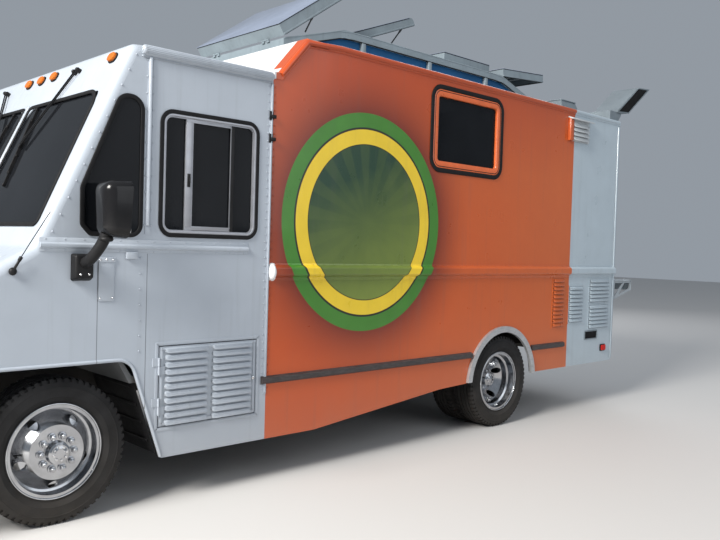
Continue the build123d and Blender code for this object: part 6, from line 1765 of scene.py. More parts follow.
@dataclass
class WheelTrim:
    """Wheel nuts, hub rings, rim lips, valves and balance weights of the polished wheels.

    Args:
        stud_circle: The radius of the circle of nuts.
        studs: How many nuts.
        lip: The rim lip's radius and its own thickness.
    """

    stud_circle: float = 0.092
    studs: int = 10
    lip: tuple[float, float] = (0.2605, 0.0055)

    def nuts(self, name: str, height: float) -> Piece:
        """Models one flanged nut with its rounded top and sets the circle of them."""
        turned = (("nut", 6, 0.0185, 0.024, 0.014, 0.003), ("flange", 20, 0.0225, 0.005, 0.0025, 0.0015))
        pieces = []
        for part, sides, radius, depth, up, edge in turned:
            size = {"vertices": sides, "radius": radius, "depth": depth}
            spot = (self.stud_circle, 0, height + up)
            pieces.append(Bench.start(f"{name}_{part}", "cylinder", location=spot, **size))
            Bench.soften(pieces[-1], edge)
        top = {"radius": 0.0125, "location": (self.stud_circle, 0, height + 0.026), "scale": (1, 1, 0.6)}
        pieces.append(Bench.start(f"{name}_tip", "uv_sphere", segments=12, ring_count=8, **top))
        return Bench.fan(Bench.join(f"{name}_nut", pieces), name, self.studs)

    def hub(self, name: str, radius: float, end: float) -> tuple[Piece, Piece]:
        """Models the hub's cap and the circle of small bolts on it."""
        cap = [(0.0005, end + 0.004), (radius * 0.55, end + 0.004), (radius * 0.62, end + 0.001)]
        cap += [(radius * 0.9, end), (radius + 0.003, end - 0.006), (radius + 0.004, end - 0.016)]
        cap = Bench.lathe(f"{name}_hub_cap", [*cap, (radius, end - 0.02)], 36)
        size = {"radius": 0.0065, "depth": 0.007, "location": (radius * 0.76, 0, end + 0.0035)}
        bolt = Bench.start(f"{name}_hub_bolt", "cylinder", vertices=6, **size)
        Bench.soften(bolt, 0.001)
        return cap, Bench.fan(bolt, f"{name}_hub_bolts", 8, 0.2)

    def rim_lip(self, name: str, height: float) -> Piece:
        """Models the rolled lip round the rim's edge."""
        size = {"major_radius": self.lip[0], "minor_radius": self.lip[1], "location": (0, 0, height)}
        lip = Bench.start(f"{name}_rim_lip", "torus", major_segments=96, minor_segments=12, **size)
        Bench.edit(lip)
        Bench.trim((0, 0, 1), (0, 0, height - 0.003))
        return lip

    def valve(self, name: str, reach: float, height: float) -> Piece:
        """Models the valve stem with its cap."""
        stem = Bench.bar(f"{name}_stem", (reach, 0, height - 0.045), (reach, 0, height), 0.004)
        cap = Bench.bar(f"{name}_cap", (reach, 0, height - 0.003), (reach, 0, height + 0.012), 0.0055)
        return Bench.join(name, [stem, cap])

    def wheel(self, name: str, wheel: Face, face: float, hub: tuple[float, float], rim: float) -> None:
        """Dresses one wheel, seen along its outward axis.

        Args:
            name: The start of the pieces' names.
            wheel: The wheel's own surface, which faces outwards from the axle's middle plane.
            face: The height of the face that the nuts sit on.
            hub: The hub's radius and its outer end's height.
            rim: The height of the rim's flange.
        """
        wheel.put(self.nuts(f"{name}_nuts", face), "polished_steel", smooth=35)
        cap, bolts = self.hub(name, *hub)
        wheel.put(cap, "polished_steel")
        wheel.put(bolts, "bright_steel")
        wheel.put(self.rim_lip(name, rim), "polished_steel", smooth=60)
        wheel.put(self.valve(f"{name}_valve", 0.205, rim - 0.012), "black_rubber")
        weight = Bench.box(f"{name}_weight", (-0.03, -0.004, -0.004), (0.03, 0.004, 0.004), 0.002)
        Bench.place(weight, Matrix.Rotation(1.1, 4, "Z") @ shift(0, 0.252, rim - 0.008))
        wheel.put(weight, "painted_steel")

    def build(self) -> None:
        """Dresses the four wheel positions."""
        wheels = (
            ("front", "wheel", 1.151, (0.048, 1.192), 1.128),
            ("rear", "wheels", 0.960, (0.052, 1.081), 1.168),
        )
        for side in Side:
            turn = Matrix.Rotation(-side.value * math.pi / 2, 4, "X")
            for axle, noun, *heights in wheels:
                at = shift(AXLES[axle], 0, HUB_Z) @ turn
                body = f"{axle}_{noun}_{side.tag}"
                self.wheel(f"{axle}_{side.tag}", Face(at, "wheel_paint", body), *heights)


@dataclass
class FrontFace:
    """Headlamp bezels and lenses, signals, marker rims, grille bars, bumper trim, hood ribs and wiper caps.

    Args:
        nose_x: The nose's flat face.
        bumper_x: The bumper's face.
        bumper_z: The bumper's top.
        lamp: A headlamp's distance from the middle, and its height.
        markers: Where the header's lamps are across the truck.
        header_z: Their height.
    """

    nose_x: float = 3.49
    bumper_x: float = 3.61
    bumper_z: float = 0.590
    lamp: Corner = (0.80, 0.95)
    markers: tuple[float, ...] = (-1.03, -0.21, 0.0, 0.21, 1.03)
    header_z: float = 2.617

    def headlamp(self, side: Side) -> None:
        """Builds a chromed bezel, a domed lens, its screws and the signal lamp above."""
        tag = side.tag
        face = Face(facing(self.nose_x, 1), "lamp_glass").moved(side.value * self.lamp[0], self.lamp[1])
        bezel = [(0.091, 0.004), (0.094, 0.012), (0.101, 0.014), (0.112, 0.010), (0.118, 0.001)]
        bezel += [(0.116, -0.004), (0.091, -0.002)]
        face.lay(Bench.lathe, f"headlamp_bezel_{tag}", "polished_steel", bezel, 48, smooth=50)
        dome = [(0.0003, 0.022), (0.03, 0.0215), (0.06, 0.019), (0.082, 0.014)]
        dome += [(0.0915, 0.007), (0.0915, 0.002)]
        face.lay(Bench.lathe, f"headlamp_lens_{tag}", "lens_clear", dome, 48, smooth=60)
        screws = [Bench.bar(f"lamp_screw_{tag}", (u, v, 0.006), (u, v, 0.012), 0.005)
                  for u, v in ((0, 0.107), (-0.093, -0.053), (0.093, -0.053))]
        face.put(Bench.join(f"headlamp_screws_{tag}", screws), "bright_steel")
        above = face.moved(0, 0.178)
        base = square(-0.09, -0.034, 0.09, 0.034), 0.014, 0.016, 0.004
        above.lay(Bench.plate, f"signal_base_{tag}", "black_plastic", *base)
        lens = square(-0.08, -0.026, 0.08, 0.026), 0.014, 0.012, 0.006
        above.lay(Bench.plate, f"signal_lens_{tag}", "lens_amber", *lens, out=0.012, slot="amber_lens")

    def marker_lamps(self) -> None:
        """Gives each lamp on the header an oval rubber base and a crowned lens."""
        layers = (
            ("marker_bases", "black_rubber", (square(-0.048, -0.034, 0.048, 0.034), 0.008, 0.0339, 0.003)),
            ("marker_lenses", "lens_amber", (square(-0.0405, -0.027, 0.0405, 0.027), 0.022, 0.0269, 0.009)),
        )
        for name, finish, sizes in layers:
            spots = [shift(y, up_screen(self.header_z), 0) for y in self.markers]
            plates = [Bench.place(Bench.plate(f"{name}_{number}", *sizes), spot)
                      for number, spot in enumerate(spots)]
            Face(screen(), "amber_lens").put(Bench.join(name, plates), finish, smooth=60)

    def grille(self) -> None:
        """Builds the grille's frame, slats and posts over the CAD grille."""
        face = Face(facing(self.nose_x, 1), "grille_paint")
        surround = square(-0.50, 0.750, 0.50, 1.090), 0.03, 0.026, 0.012, 0.005
        face.lay(Bench.ring, "grille_surround", "bright_steel", *surround)
        slat = Bench.box("grille_slats", (-0.474, 0.7955, 0.0), (0.474, 0.8085, 0.011), 0.004)
        face.put(Bench.row(slat, 8, (0, 0.034, 0)), "bright_steel")
        post = Bench.box("grille_posts", (-0.309, 0.776, 0.002), (-0.291, 1.064, 0.0135), 0.004)
        face.put(Bench.row(post, 3, (0.3, 0, 0)), "bright_steel")

    def bumper(self) -> None:
        """Fits the bumper's blank plate, bolts and step pads."""
        face = Face(facing(self.bumper_x, 1), "bumper_paint")
        outline = square(-0.152, 0.422, 0.152, 0.574)
        face.lay(Bench.plate, "front_plate", "plate_blank", outline, 0.0015, 0.012, out=-0.001)
        rim = outline, 0.012, 0.006, 0.0028, 0.001
        face.lay(Bench.ring, "front_plate_rim", "bright_steel", *rim, out=-0.001)
        bolts = [((u, 0.455), (u, 0.545), 2) for u in (-0.95, -0.62, 0.62, 0.95)]
        Rivets("bumper_bolts", bolts, 0.011).build(face, "painted_steel", -0.003)
        for side in Side:
            low_y, high_y = sorted((side.value * 0.46, side.value * 1.02))
            name = f"bumper_pad_{side.tag}"
            pad = Bench.plate(name, square(3.567, low_y, 3.603, high_y), 0.004, 0.012, 0.002)
            low, high = (3.570, low_y + 0.02, 0.003), (3.600, low_y + 0.028, 0.007)
            rib = Bench.box("pad_rib", low, high, 0.0015, 1)
            pad = Bench.join(name, [pad, Bench.row(rib, 33, (0, 0.016, 0))])
            Face(shift(0, 0, self.bumper_z), "bumper_paint").put(pad, "black_rubber")

    def hood(self) -> None:
        """Presses two ribs into the hood and fits its pull."""
        up, out = Vector((-0.576, 0, 0.340)).normalized(), Vector((0.340, 0, 0.576)).normalized()
        at = shift(self.nose_x, 0, 1.184) @ axes_to(Vector((0, 1, 0)), up, out)
        slope = Face(at, "cab_paint", "hood")
        for number, u in enumerate((-0.3, 0.3)):
            rib = Bench.bead(f"hood_rib_{number}", (u, 0.16), (u, 0.52), 0.020, 0.007)
            slope.put(rib, "body_paint", smooth=60)
        base = Bench.plate("hood_pull_base", square(-0.09, 0.118, 0.09, 0.158), 0.004, 0.012, 0.0015)
        grip = Bench.box("hood_pull_grip", (-0.065, 0.122, 0.002), (0.065, 0.142, 0.014), 0.005, 3)
        slope.put(Bench.join("hood_pull", [base, grip]), "black_plastic")

    def wipers(self) -> None:
        """Caps the wipers' pivots and clips their blades to a bridge."""
        cap_line = [(0.0003, 0.010), (0.007, 0.009), (0.011, 0.005), (0.012, -0.002)]
        lift = Vector((0, 0, 0.015))
        for side in Side:
            tag, sign = side.tag, side.value
            top = Vector((sign * 0.200, up_screen(2.400), 0))
            foot = Vector((sign * 0.290, up_screen(1.877), 0))
            parts = []
            for u, v in ((0.565, 0.0), (0.610, 0.008)):
                cap = Bench.lathe(f"wiper_cap_{tag}", cap_line, 20)
                parts.append(Bench.place(cap, shift(sign * u, up_screen(2.590) + v, 0.026)))
            ends = [top.lerp(foot, share) + lift for share in (0.15, 0.85)]
            parts.append(Bench.bar(f"wiper_bridge_{tag}", *ends, 0.0045, 8))
            for share in (0.02, 0.17, 0.38, 0.62, 0.83, 0.98):
                u, v, _ = top.lerp(foot, share)
                low, high = (u - 0.010, v - 0.007, 0.002), (u + 0.010, v + 0.007, 0.015)
                parts.append(Bench.box(f"wiper_clip_{tag}", low, high, 0.002, 1))
            fittings = Bench.join(f"wiper_fittings_{tag}", parts)
            Face(screen(), "wiper_black").put(fittings, "black_plastic")

    def build(self) -> None:
        """Builds the whole front."""
        for side in Side:
            self.headlamp(side)
        self.marker_lamps()
        self.grille()
        self.bumper()
        self.hood()
        self.wipers()


@dataclass
class Mirrors:
    """Rounded mirror heads on bent necks and wedge bases, in place of the plain CAD ones.

    Args:
        low: The head's lowest corner, on the left side.
        high: Its highest corner.
    """

    low: Point = (2.503, 1.272, 1.578)
    high: Point = (2.648, 1.488, 1.892)

    def head(self, name: str) -> Piece:
        """Models the shell: drawn in at the bottom and in front, round ahead and crisp behind."""
        piece = Bench.block(name, self.low, self.high)
        Bench.edit(piece)
        middle = tuple((a + b) / 2 for a, b in zip(self.low, self.high))
        for axis, way, size in ((2, -1, (0.86, 0.90, 1)), (0, 1, (1, 0.86, 0.94))):
            if Bench.pick(piece, "FACE", lambda face: face.normal[axis] * way > SQUARELY):
                bpy.ops.transform.resize(value=size, center_override=middle)
        if Bench.pick(piece, "EDGE", lambda edge: max(end.co.x for end in edge.verts) > middle[0]):
            bpy.ops.mesh.bevel(offset=0.058, segments=8, affect="EDGES")
        if Bench.pick(piece, "EDGE", lambda edge: max(end.co.x for end in edge.verts) < self.low[0] + 0.001):
            bpy.ops.mesh.bevel(offset=0.006, segments=3, affect="EDGES")
        Bench.clear()
        return piece

    def glasses(self, name: str) -> list[Piece]:
        """Models the flat glass and the small convex one, each in its place on the shell's rear."""
        upper = Bench.plate(f"{name}_upper", square(-1.466, 1.676, -1.294, 1.868), 0.0025, 0.030)
        lower = Bench.plate(f"{name}_lower", square(-1.456, 1.602, -1.304, 1.660), 0.0045, 0.022, 0.004)
        return [Bench.place(glass, facing(self.low[0], -1)) for glass in (upper, lower)]

    def base(self, name: str) -> Piece:
        """Models the wedge on the cab and the neck that bends up to the head."""
        wedge = Bench.block(name, (2.594, 1.187, 1.338), (2.714, 1.243, 1.492))
        Bench.edit(wedge)
        if Bench.pick(wedge, "FACE", lambda face: face.normal.y > SQUARELY):
            bpy.ops.transform.resize(value=(0.84, 1, 0.80), center_override=(2.65, 1.243, 1.440))
        Bench.soften(wedge, 0.012, 4, 25)
        line = [(2.652, 1.212, 1.440), (2.652, 1.275, 1.442), (2.640, 1.325, 1.490)]
        line += [(2.612, 1.360, 1.545), (2.600, 1.375, 1.600)]
        neck = Bench.tube(f"{name}_neck", line, 0.031, 4)
        collar = Bench.bar(f"{name}_collar", (2.600, 1.374, 1.560), (2.600, 1.375, 1.586), 0.038, 24)
        return Bench.join(name, [wedge, neck, collar])

    def build(self) -> None:
        """Builds the left mirror, copies it to the right and puts both in place of the CAD node."""
        flip = Matrix.Diagonal((1, -1, 1, 1))
        groups = {
            "mirror_heads": ([self.head("mirror_head")], "black_gloss"),
            "mirror_glasses": (self.glasses("mirror_glass"), "mirror_glass"),
            "mirror_bases": ([self.base("mirror_base")], "black_plastic"),
        }
        for name, (pieces, finish) in groups.items():
            twins = [Bench.copy(piece, f"{piece.name}_right", flip) for piece in pieces]
            piece = Bench.join(name, [*pieces, *twins])
            Bench.mend(piece)
            hand_over(piece, finish, slot="mirror_black", smooth=50)
        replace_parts(bpy.data.objects["mirror_heads"], "mirrors")
        for side in Side:
            rows = [((2.632, 1.465), (2.632, 1.465), 1), ((2.628, 1.378), (2.676, 1.378), 2)]
            Rivets(f"mirror_screws_{side.tag}", rows).build_on(side, "cab_paint", "bright_steel", 0.052)


@dataclass(frozen=True)
class Lid:
    """One roof lid at rest.

    Args:
        name: Its body.
        hinge: The hinge's X and Z.
        length: How far it reaches back from the hinge.
        low_y: Its right edge.
        high_y: Its left edge.
        depth: The height of its sides.
        angle: How far it is open, in degrees.
        flat: How far its flat top reaches back.
    """

    name: str
    hinge: Corner
    length: float
    low_y: float
    high_y: float
    depth: float
    angle: float
    flat: float

    def at(self) -> Matrix:
        """Returns the matrix from (back from the hinge, to the right, up) to the lid."""
        turn = math.radians(self.angle)
        back = Vector((-math.cos(turn), 0, math.sin(turn)))
        rise = Vector((math.sin(turn), 0, math.cos(turn)))
        return shift(self.hinge[0], 0, self.hinge[1]) @ axes_to(back, Vector((0, -1, 0)), rise)

    def build(self) -> None:
        """Builds the lapped top sheet, its dark joint, the rim's lip and seal, the ribs and the grip."""
        low, high, long, name = -self.high_y, -self.low_y, self.length, self.name
        face = Face(self.at(), "lid_paint", name)
        sheet = square(0.004, low - 0.003, self.flat, high + 0.003), 0.0045, 0.006
        face.lay(Bench.plate, f"{name}_sheet", "lid_top", *sheet, out=self.depth - 0.0005)
        joint = square(0.0065, low - 0.0012, self.flat, high + 0.0012), 0.004, 0.006, 0.005, 0.0004
        face.lay(Bench.ring, f"{name}_joint", "black_rubber", *joint, out=self.depth - 0.0055)
        lip = square(0.009, low - 0.004, long + 0.004, high + 0.004), 0.008, 0.005, 0.014, 0.0015
        face.lay(Bench.ring, f"{name}_lip", "lid_grey", *lip, out=0.001)
        seal = square(0.03, low + 0.002, long - 0.002, high - 0.002), 0.008, 0.012, 0.006, 0.002
        face.lay(Bench.ring, f"{name}_seal", "black_rubber", *seal, out=-0.003)
        reach, start = self.depth - 0.012, long * 0.3
        ends = (start, low + 0.012, reach - 0.022), (start + 0.03, high - 0.012, reach)
        rib = Bench.box(f"{name}_ribs", *ends, 0.004)
        face.put(Bench.row(rib, 3, (long * 0.22, 0, 0)), "lid_grey")
        middle = (low + high) / 2
        ends = (long - 0.002, middle - 0.06, 0.016), (long + 0.014, middle + 0.06, 0.034)
        face.lay(Bench.box, f"{name}_grip", "black_plastic", *ends, 0.006, 3)


@dataclass
class RoofWorks:
    """The roof's lids, the raised box's mullions and flashing, deck seams, vents and the duct.

    Args:
        lids: The four lids from front to rear.
        half: Half the raised box's width.
        deck_z: The deck's height.
        duct_y: The duct's left side.
        duct_foot_z: The top of the flange that bolts the duct down.
    """

    lids: tuple[Lid, ...] = (
        Lid("roof_lid_front", (0.925, 3.112), 0.740, -0.410, 0.700, 0.090, 35, 0.740),
        Lid("roof_lid_middle", (-0.007, 3.293), 0.793, -0.470, 0.470, 0.075, 21.7, 0.744),
        Lid("roof_lid_centre", (-0.998, 3.292), 0.686, -0.610, 0.610, 0.086, 0, 0.686),
        Lid("roof_lid_rear", (-1.884, 3.305), 0.710, -0.630, 0.630, 0.075, 4.5, 0.710),
    )
    half: float = 0.690
    deck_z: float = 2.978
    duct_y: float = 1.170
    duct_foot_z: float = 3.082

    def raised_box(self, side: Side) -> None:
        """Trims one side of the box: post caps, the sill, the glazing's lip, the top's edge and rivets."""
        tag, sign, y = side.tag, side.value, side.value * self.half
        caps = []
        for x in (0.094, -0.721, -1.535):
            low_y, high_y = sorted((y - sign * 0.004, y + sign * 0.004))
            caps.append(Bench.box(f"post_cap_{tag}", (x - 0.023, low_y, 3.000), (x + 0.023, high_y, 3.226)))
        hand_over(Bench.join(f"box_post_caps_{tag}", caps), "lid_grey", slot="kitchen_paint")
        ends = (-2.335, y, 2.997), (0.872, y, 2.997)
        sill = Bench.bead(f"box_sill_{tag}", *ends, 0.009, 0.008, (0, sign, 0))
        hand_over(sill, "lid_grey", slot="kitchen_paint", smooth=60)
        lip = ((0.885, 3.048), (0.308, 3.2225), (-1.788, 3.2225), (-2.33, 3.052))
        edge = ((0.905, 3.100), (0.308, 3.281), (-1.788, 3.281), (-2.372, 3.100))
        tubes = (
            ("glazing_lip", "black_rubber", lip, y, 0.005),
            ("top_edge", "lid_grey", edge, y - sign * 0.003, 0.006),
        )
        for name, finish, line, line_y, radius in tubes:
            tube = Bench.tube(f"box_{name}_{tag}", [(x, line_y, z) for x, z in line], radius, 2)
            hand_over(tube, finish, slot="kitchen_paint", smooth=60)
        rows = [((0.27, 3.252), (-1.75, 3.252), 15)]
        out = self.half - SKIN_Y
        Rivets(f"box_rivets_{tag}", rows, 0.005).build_on(side, "kitchen_paint", "lid_grey", out)

    def deck(self) -> None:
        """Lays the box's flashing, the deck's cross seams and the seams down the front slope."""
        deck = Face(shift(0, 0, self.deck_z), "roof_paint")
        flashing = square(-2.412, -0.722, 0.947, 0.722), 0.02, 0.036, 0.004, 0.0015
        deck.lay(Bench.ring, "box_flashing", "roof_white", *flashing)
        spans = [(x, sign * 0.725, sign * 1.155) for x in (0.60, -0.20, -1.00, -1.80) for sign in (1, -1)]
        spans += [(-2.52, -1.155, 0.43), (-3.06, -1.155, 0.86)]
        seams = [Bench.bead("deck_seam", (x, start, self.deck_z), (x, end, self.deck_z), 0.009, 0.006)
                 for x, start, end in spans]
        slope = (0.278, 0, 0.241)
        seams += [Bench.bead("slope_seam", (1.098, y, 2.964), (1.318, y, 2.7105), 0.009, 0.005, slope)
                  for y in (-0.6, 0.0, 0.6)]
        hand_over(Bench.join("deck_seams", seams), "roof_white", slot="roof_paint", smooth=60)

    def vent(self) -> None:
        """Flanges and caps the low vent."""
        deck = Face(shift(-2.775, 0.665, self.deck_z), "vent_paint")
        flange = square(-0.220, -0.250, 0.220, 0.250), 0.02, 0.034, 0.004, 0.0015
        deck.lay(Bench.ring, "roof_vent_flange", "vent_grey", *flange)
        cap = square(-0.145, -0.175, 0.145, 0.175), 0.008, 0.020, 0.003
        deck.lay(Bench.plate, "roof_vent_cap", "vent_grey", *cap, out=0.186)

    def duct(self) -> None:
        """Gives the duct its open side as a near-black plate of painted shade, rims and bolts."""
        corners = on_wall(Side.LEFT, [(-3.184, 3.076), (-3.436, 3.098), (-3.882, 3.424), (-3.630, 3.402)])
        side, out = Face(wall(Side.LEFT), "vent_paint"), self.duct_y - SKIN_Y
        dark, rim = grown(corners, -0.012), grown(corners, 0.002)
        # The open side is a near-black plate: painted shade inside the duct.
        side.lay(Bench.plate, "duct_side_dark", "dark_hole", dark, 0.0015, 0.004, 0.0005, out=out)
        side.lay(Bench.ring, "duct_side_rim", "vent_grey", rim, 0.004, 0.010, 0.006, 0.0015, out=out)
        (front, low), (rear, high), (right, left) = (-3.633, 3.400), (-3.879, 3.421), (0.873, 1.167)
        mouth = [(front, right, low), (front, left, low), (rear, left, high), (rear, right, high)]
        mouth = Bench.tube("duct_mouth_rim", [*mouth, mouth[0]], 0.005, 2)
        hand_over(mouth, "vent_grey", slot="vent_paint")
        bolts = [((x, 0.905), (x, 1.135), 4) for x in (-3.075, -3.155)]
        foot = Face(shift(0, 0, self.duct_foot_z), "vent_paint")
        Rivets("duct_bolts", bolts, 0.008).build(foot, "bright_steel")

    def build(self) -> None:
        """Builds everything on the roof."""
        for lid in self.lids:
            lid.build()
        for side in Side:
            self.raised_box(side)
        self.deck()
        self.vent()
        self.duct()


@dataclass
class RearEnd:
    """The rear wall's door border, lamps, plate, strips and rivets, and the trim of the bumper and the shelf.

    Args:
        lamp: A tail lamp's distance from the middle, and its height.
        markers: Where the clearance lamps are across the truck.
        door: The door's left, lower, right and upper edge as seen from behind.
        shelf_z: The height of the shelf's top.
        step_z: The height of the bumper's top.
    """

    lamp: Corner = (1.045, 0.90)
    markers: tuple[float, ...] = (-1.03, -0.2, 0.0, 0.2, 1.03)
    door: tuple[float, float, float, float] = (0.15, 0.80, 0.95, 2.60)
    shelf_z: float = 1.293
    step_z: float = 0.560

    def rear_door(self, face: Face) -> None:
        """Borders the door, presses two panels into it and fits the handle's plate and lock."""
        leaf, edges = replace(face, body="rear_door"), square(*self.door)
        leaf.lay(Bench.ring, "rear_door_border", "body_paint", grown(edges, -0.015), *LEAF_BORDER)
        for number, (low, high) in enumerate(((0.90, 1.34), (1.62, 2.48))):
            pressed = square(0.26, low, 0.86, high)
            leaf.lay(Bench.ring, f"rear_door_panel_{number}", "body_paint", pressed, *LEAF_PANEL, smooth=50)
        face.lay(Bench.ring, "rear_door_seal", "black_rubber", grown(edges, 0.018), *LEAF_SEAL)
        plate = Bench.plate("rear_handle_plate", square(0.185, 1.355, 0.255, 1.555), 0.004, 0.012)
        leaf.put(with_lock("rear_handle_fittings", plate, 0.22, 1.535, 0.003), "bright_steel")

    def lamps(self, face: Face) -> None:
        """Fits the tail lamps and the row of clearance lamps under the roof."""
        for side in Side:
            lamp = face.moved(-side.value * self.lamp[0], self.lamp[1])
            base = square(-0.068, -0.148, 0.068, 0.148), 0.012, 0.03, 0.004
            lamp.lay(Bench.plate, f"tail_lamp_base_{side.tag}", "black_rubber", *base, smooth=50)
            for colour, v, radius in (("red", 0.064, 0.055), ("clear", -0.066, 0.050)):
                dome = [(0.0003, 0.022), (radius * 0.6, 0.020), (radius * 0.93, 0.013), (radius, 0.004)]
                lens = Bench.lathe(f"tail_lens_{colour}_{side.tag}", [*dome, (radius, -0.004)], 40)
                lamp.moved(0, v, 0.010).put(lens, f"lens_{colour}", smooth=60)
        for number, u in enumerate(self.markers):
            base = square(u - 0.045, 2.838, u + 0.045, 2.898), 0.007, 0.0299, 0.003
            face.lay(Bench.plate, f"rear_marker_base_{number}", "black_rubber", *base, smooth=60)
            lens = square(u - 0.037, 2.845, u + 0.037, 2.891), 0.02, 0.0229, 0.008
            face.lay(Bench.plate, f"rear_marker_lens_{number}", "lens_red", *lens, smooth=60)

    def wall_trim(self, face: Face) -> None:
        """Lays the corner strips, the bead under the roof, the seams and the rows of rivets."""
        lines = (
            ((-1.172, 0.53), (-1.172, 2.90), 0.013, 0.006), ((1.172, 0.53), (1.172, 2.90), 0.013, 0.006),
            ((-1.15, 2.930), (1.15, 2.930), 0.012, 0.010), ((-1.15, 0.745), (1.15, 0.745), 0.010, 0.006),
            ((0.0, 1.34), (0.0, 2.80), 0.010, 0.005),
        )
        strips = [Bench.bead(f"rear_strip_{number}", *line) for number, line in enumerate(lines)]
        face.put(Bench.join("rear_strips", strips), "body_paint", smooth=60)
        rows = [((u, 0.56), (u, 2.88), 36) for u in (-1.148, 1.148)]
        rows += [((-1.12, v), (1.12, v), 34) for v in (0.722, 0.768, 2.908)]
        rows += [((u, 1.36), (u, 2.78), 22) for u in (-0.024, 0.024)]
        Rivets("rear_rivets", rows, 0.0045).build(face)

    def plate(self, face: Face) -> None:
        """Fits the blank plate, its frame and the lamp above it."""
        outline = square(-0.152, 0.574, 0.152, 0.726)
        face.lay(Bench.plate, "rear_plate", "plate_blank", outline, 0.0015, 0.012, out=0.002)
        rim = grown(outline, 0.004), 0.014, 0.009, 0.005, 0.0015
        face.lay(Bench.ring, "rear_plate_rim", "black_plastic", *rim)
        lamp = (-0.035, 0.735, 0.0), (0.035, 0.757, 0.032), 0.006, 3
        face.lay(Bench.box, "plate_lamp", "black_plastic", *lamp, slot="lamp_glass")

    def step_and_shelf(self) -> None:
        """Ribs the bumper's step, and rolls the shelf's edge and bolts it down."""
        pad = Bench.plate("rear_step_pad", square(-3.322, -0.96, -3.235, 0.96), 0.004, 0.01)
        rib = Bench.box("rear_step_rib", (-3.316, -0.94, 0.003), (-3.241, -0.932, 0.008), 0.0015, 1)
        pad = Bench.join("rear_step", [pad, Bench.row(rib, 59, (0, 0.0323, 0))])
        Face(shift(0, 0, self.step_z), "bumper_paint").put(pad, "black_rubber")
        z = self.shelf_z - 0.006
        path = [(-3.216, 0.052, z), (-3.608, 0.052, z), (-3.608, 1.188, z), (-3.216, 1.188, z)]
        hand_over(Bench.tube("shelf_rim", path, 0.008, 2), "shelf_grey", slot="shelf_paint", smooth=60)
        bolts = [((x, 0.12), (x, 1.12), 6) for x in (-3.235, -3.585)]
        top = Face(shift(0, 0, self.shelf_z), "shelf_paint")
        Rivets("shelf_bolts", bolts, 0.009).build(top, "bright_steel")

    def build(self) -> None:
        """Builds the whole rear."""
        face = Face(facing(REAR_X, -1), "kitchen_paint")
        self.rear_door(face)
        self.lamps(replace(face, slot="amber_lens"))
        self.wall_trim(face)
        self.plate(replace(face, slot="bumper_paint"))
        self.step_and_shelf()


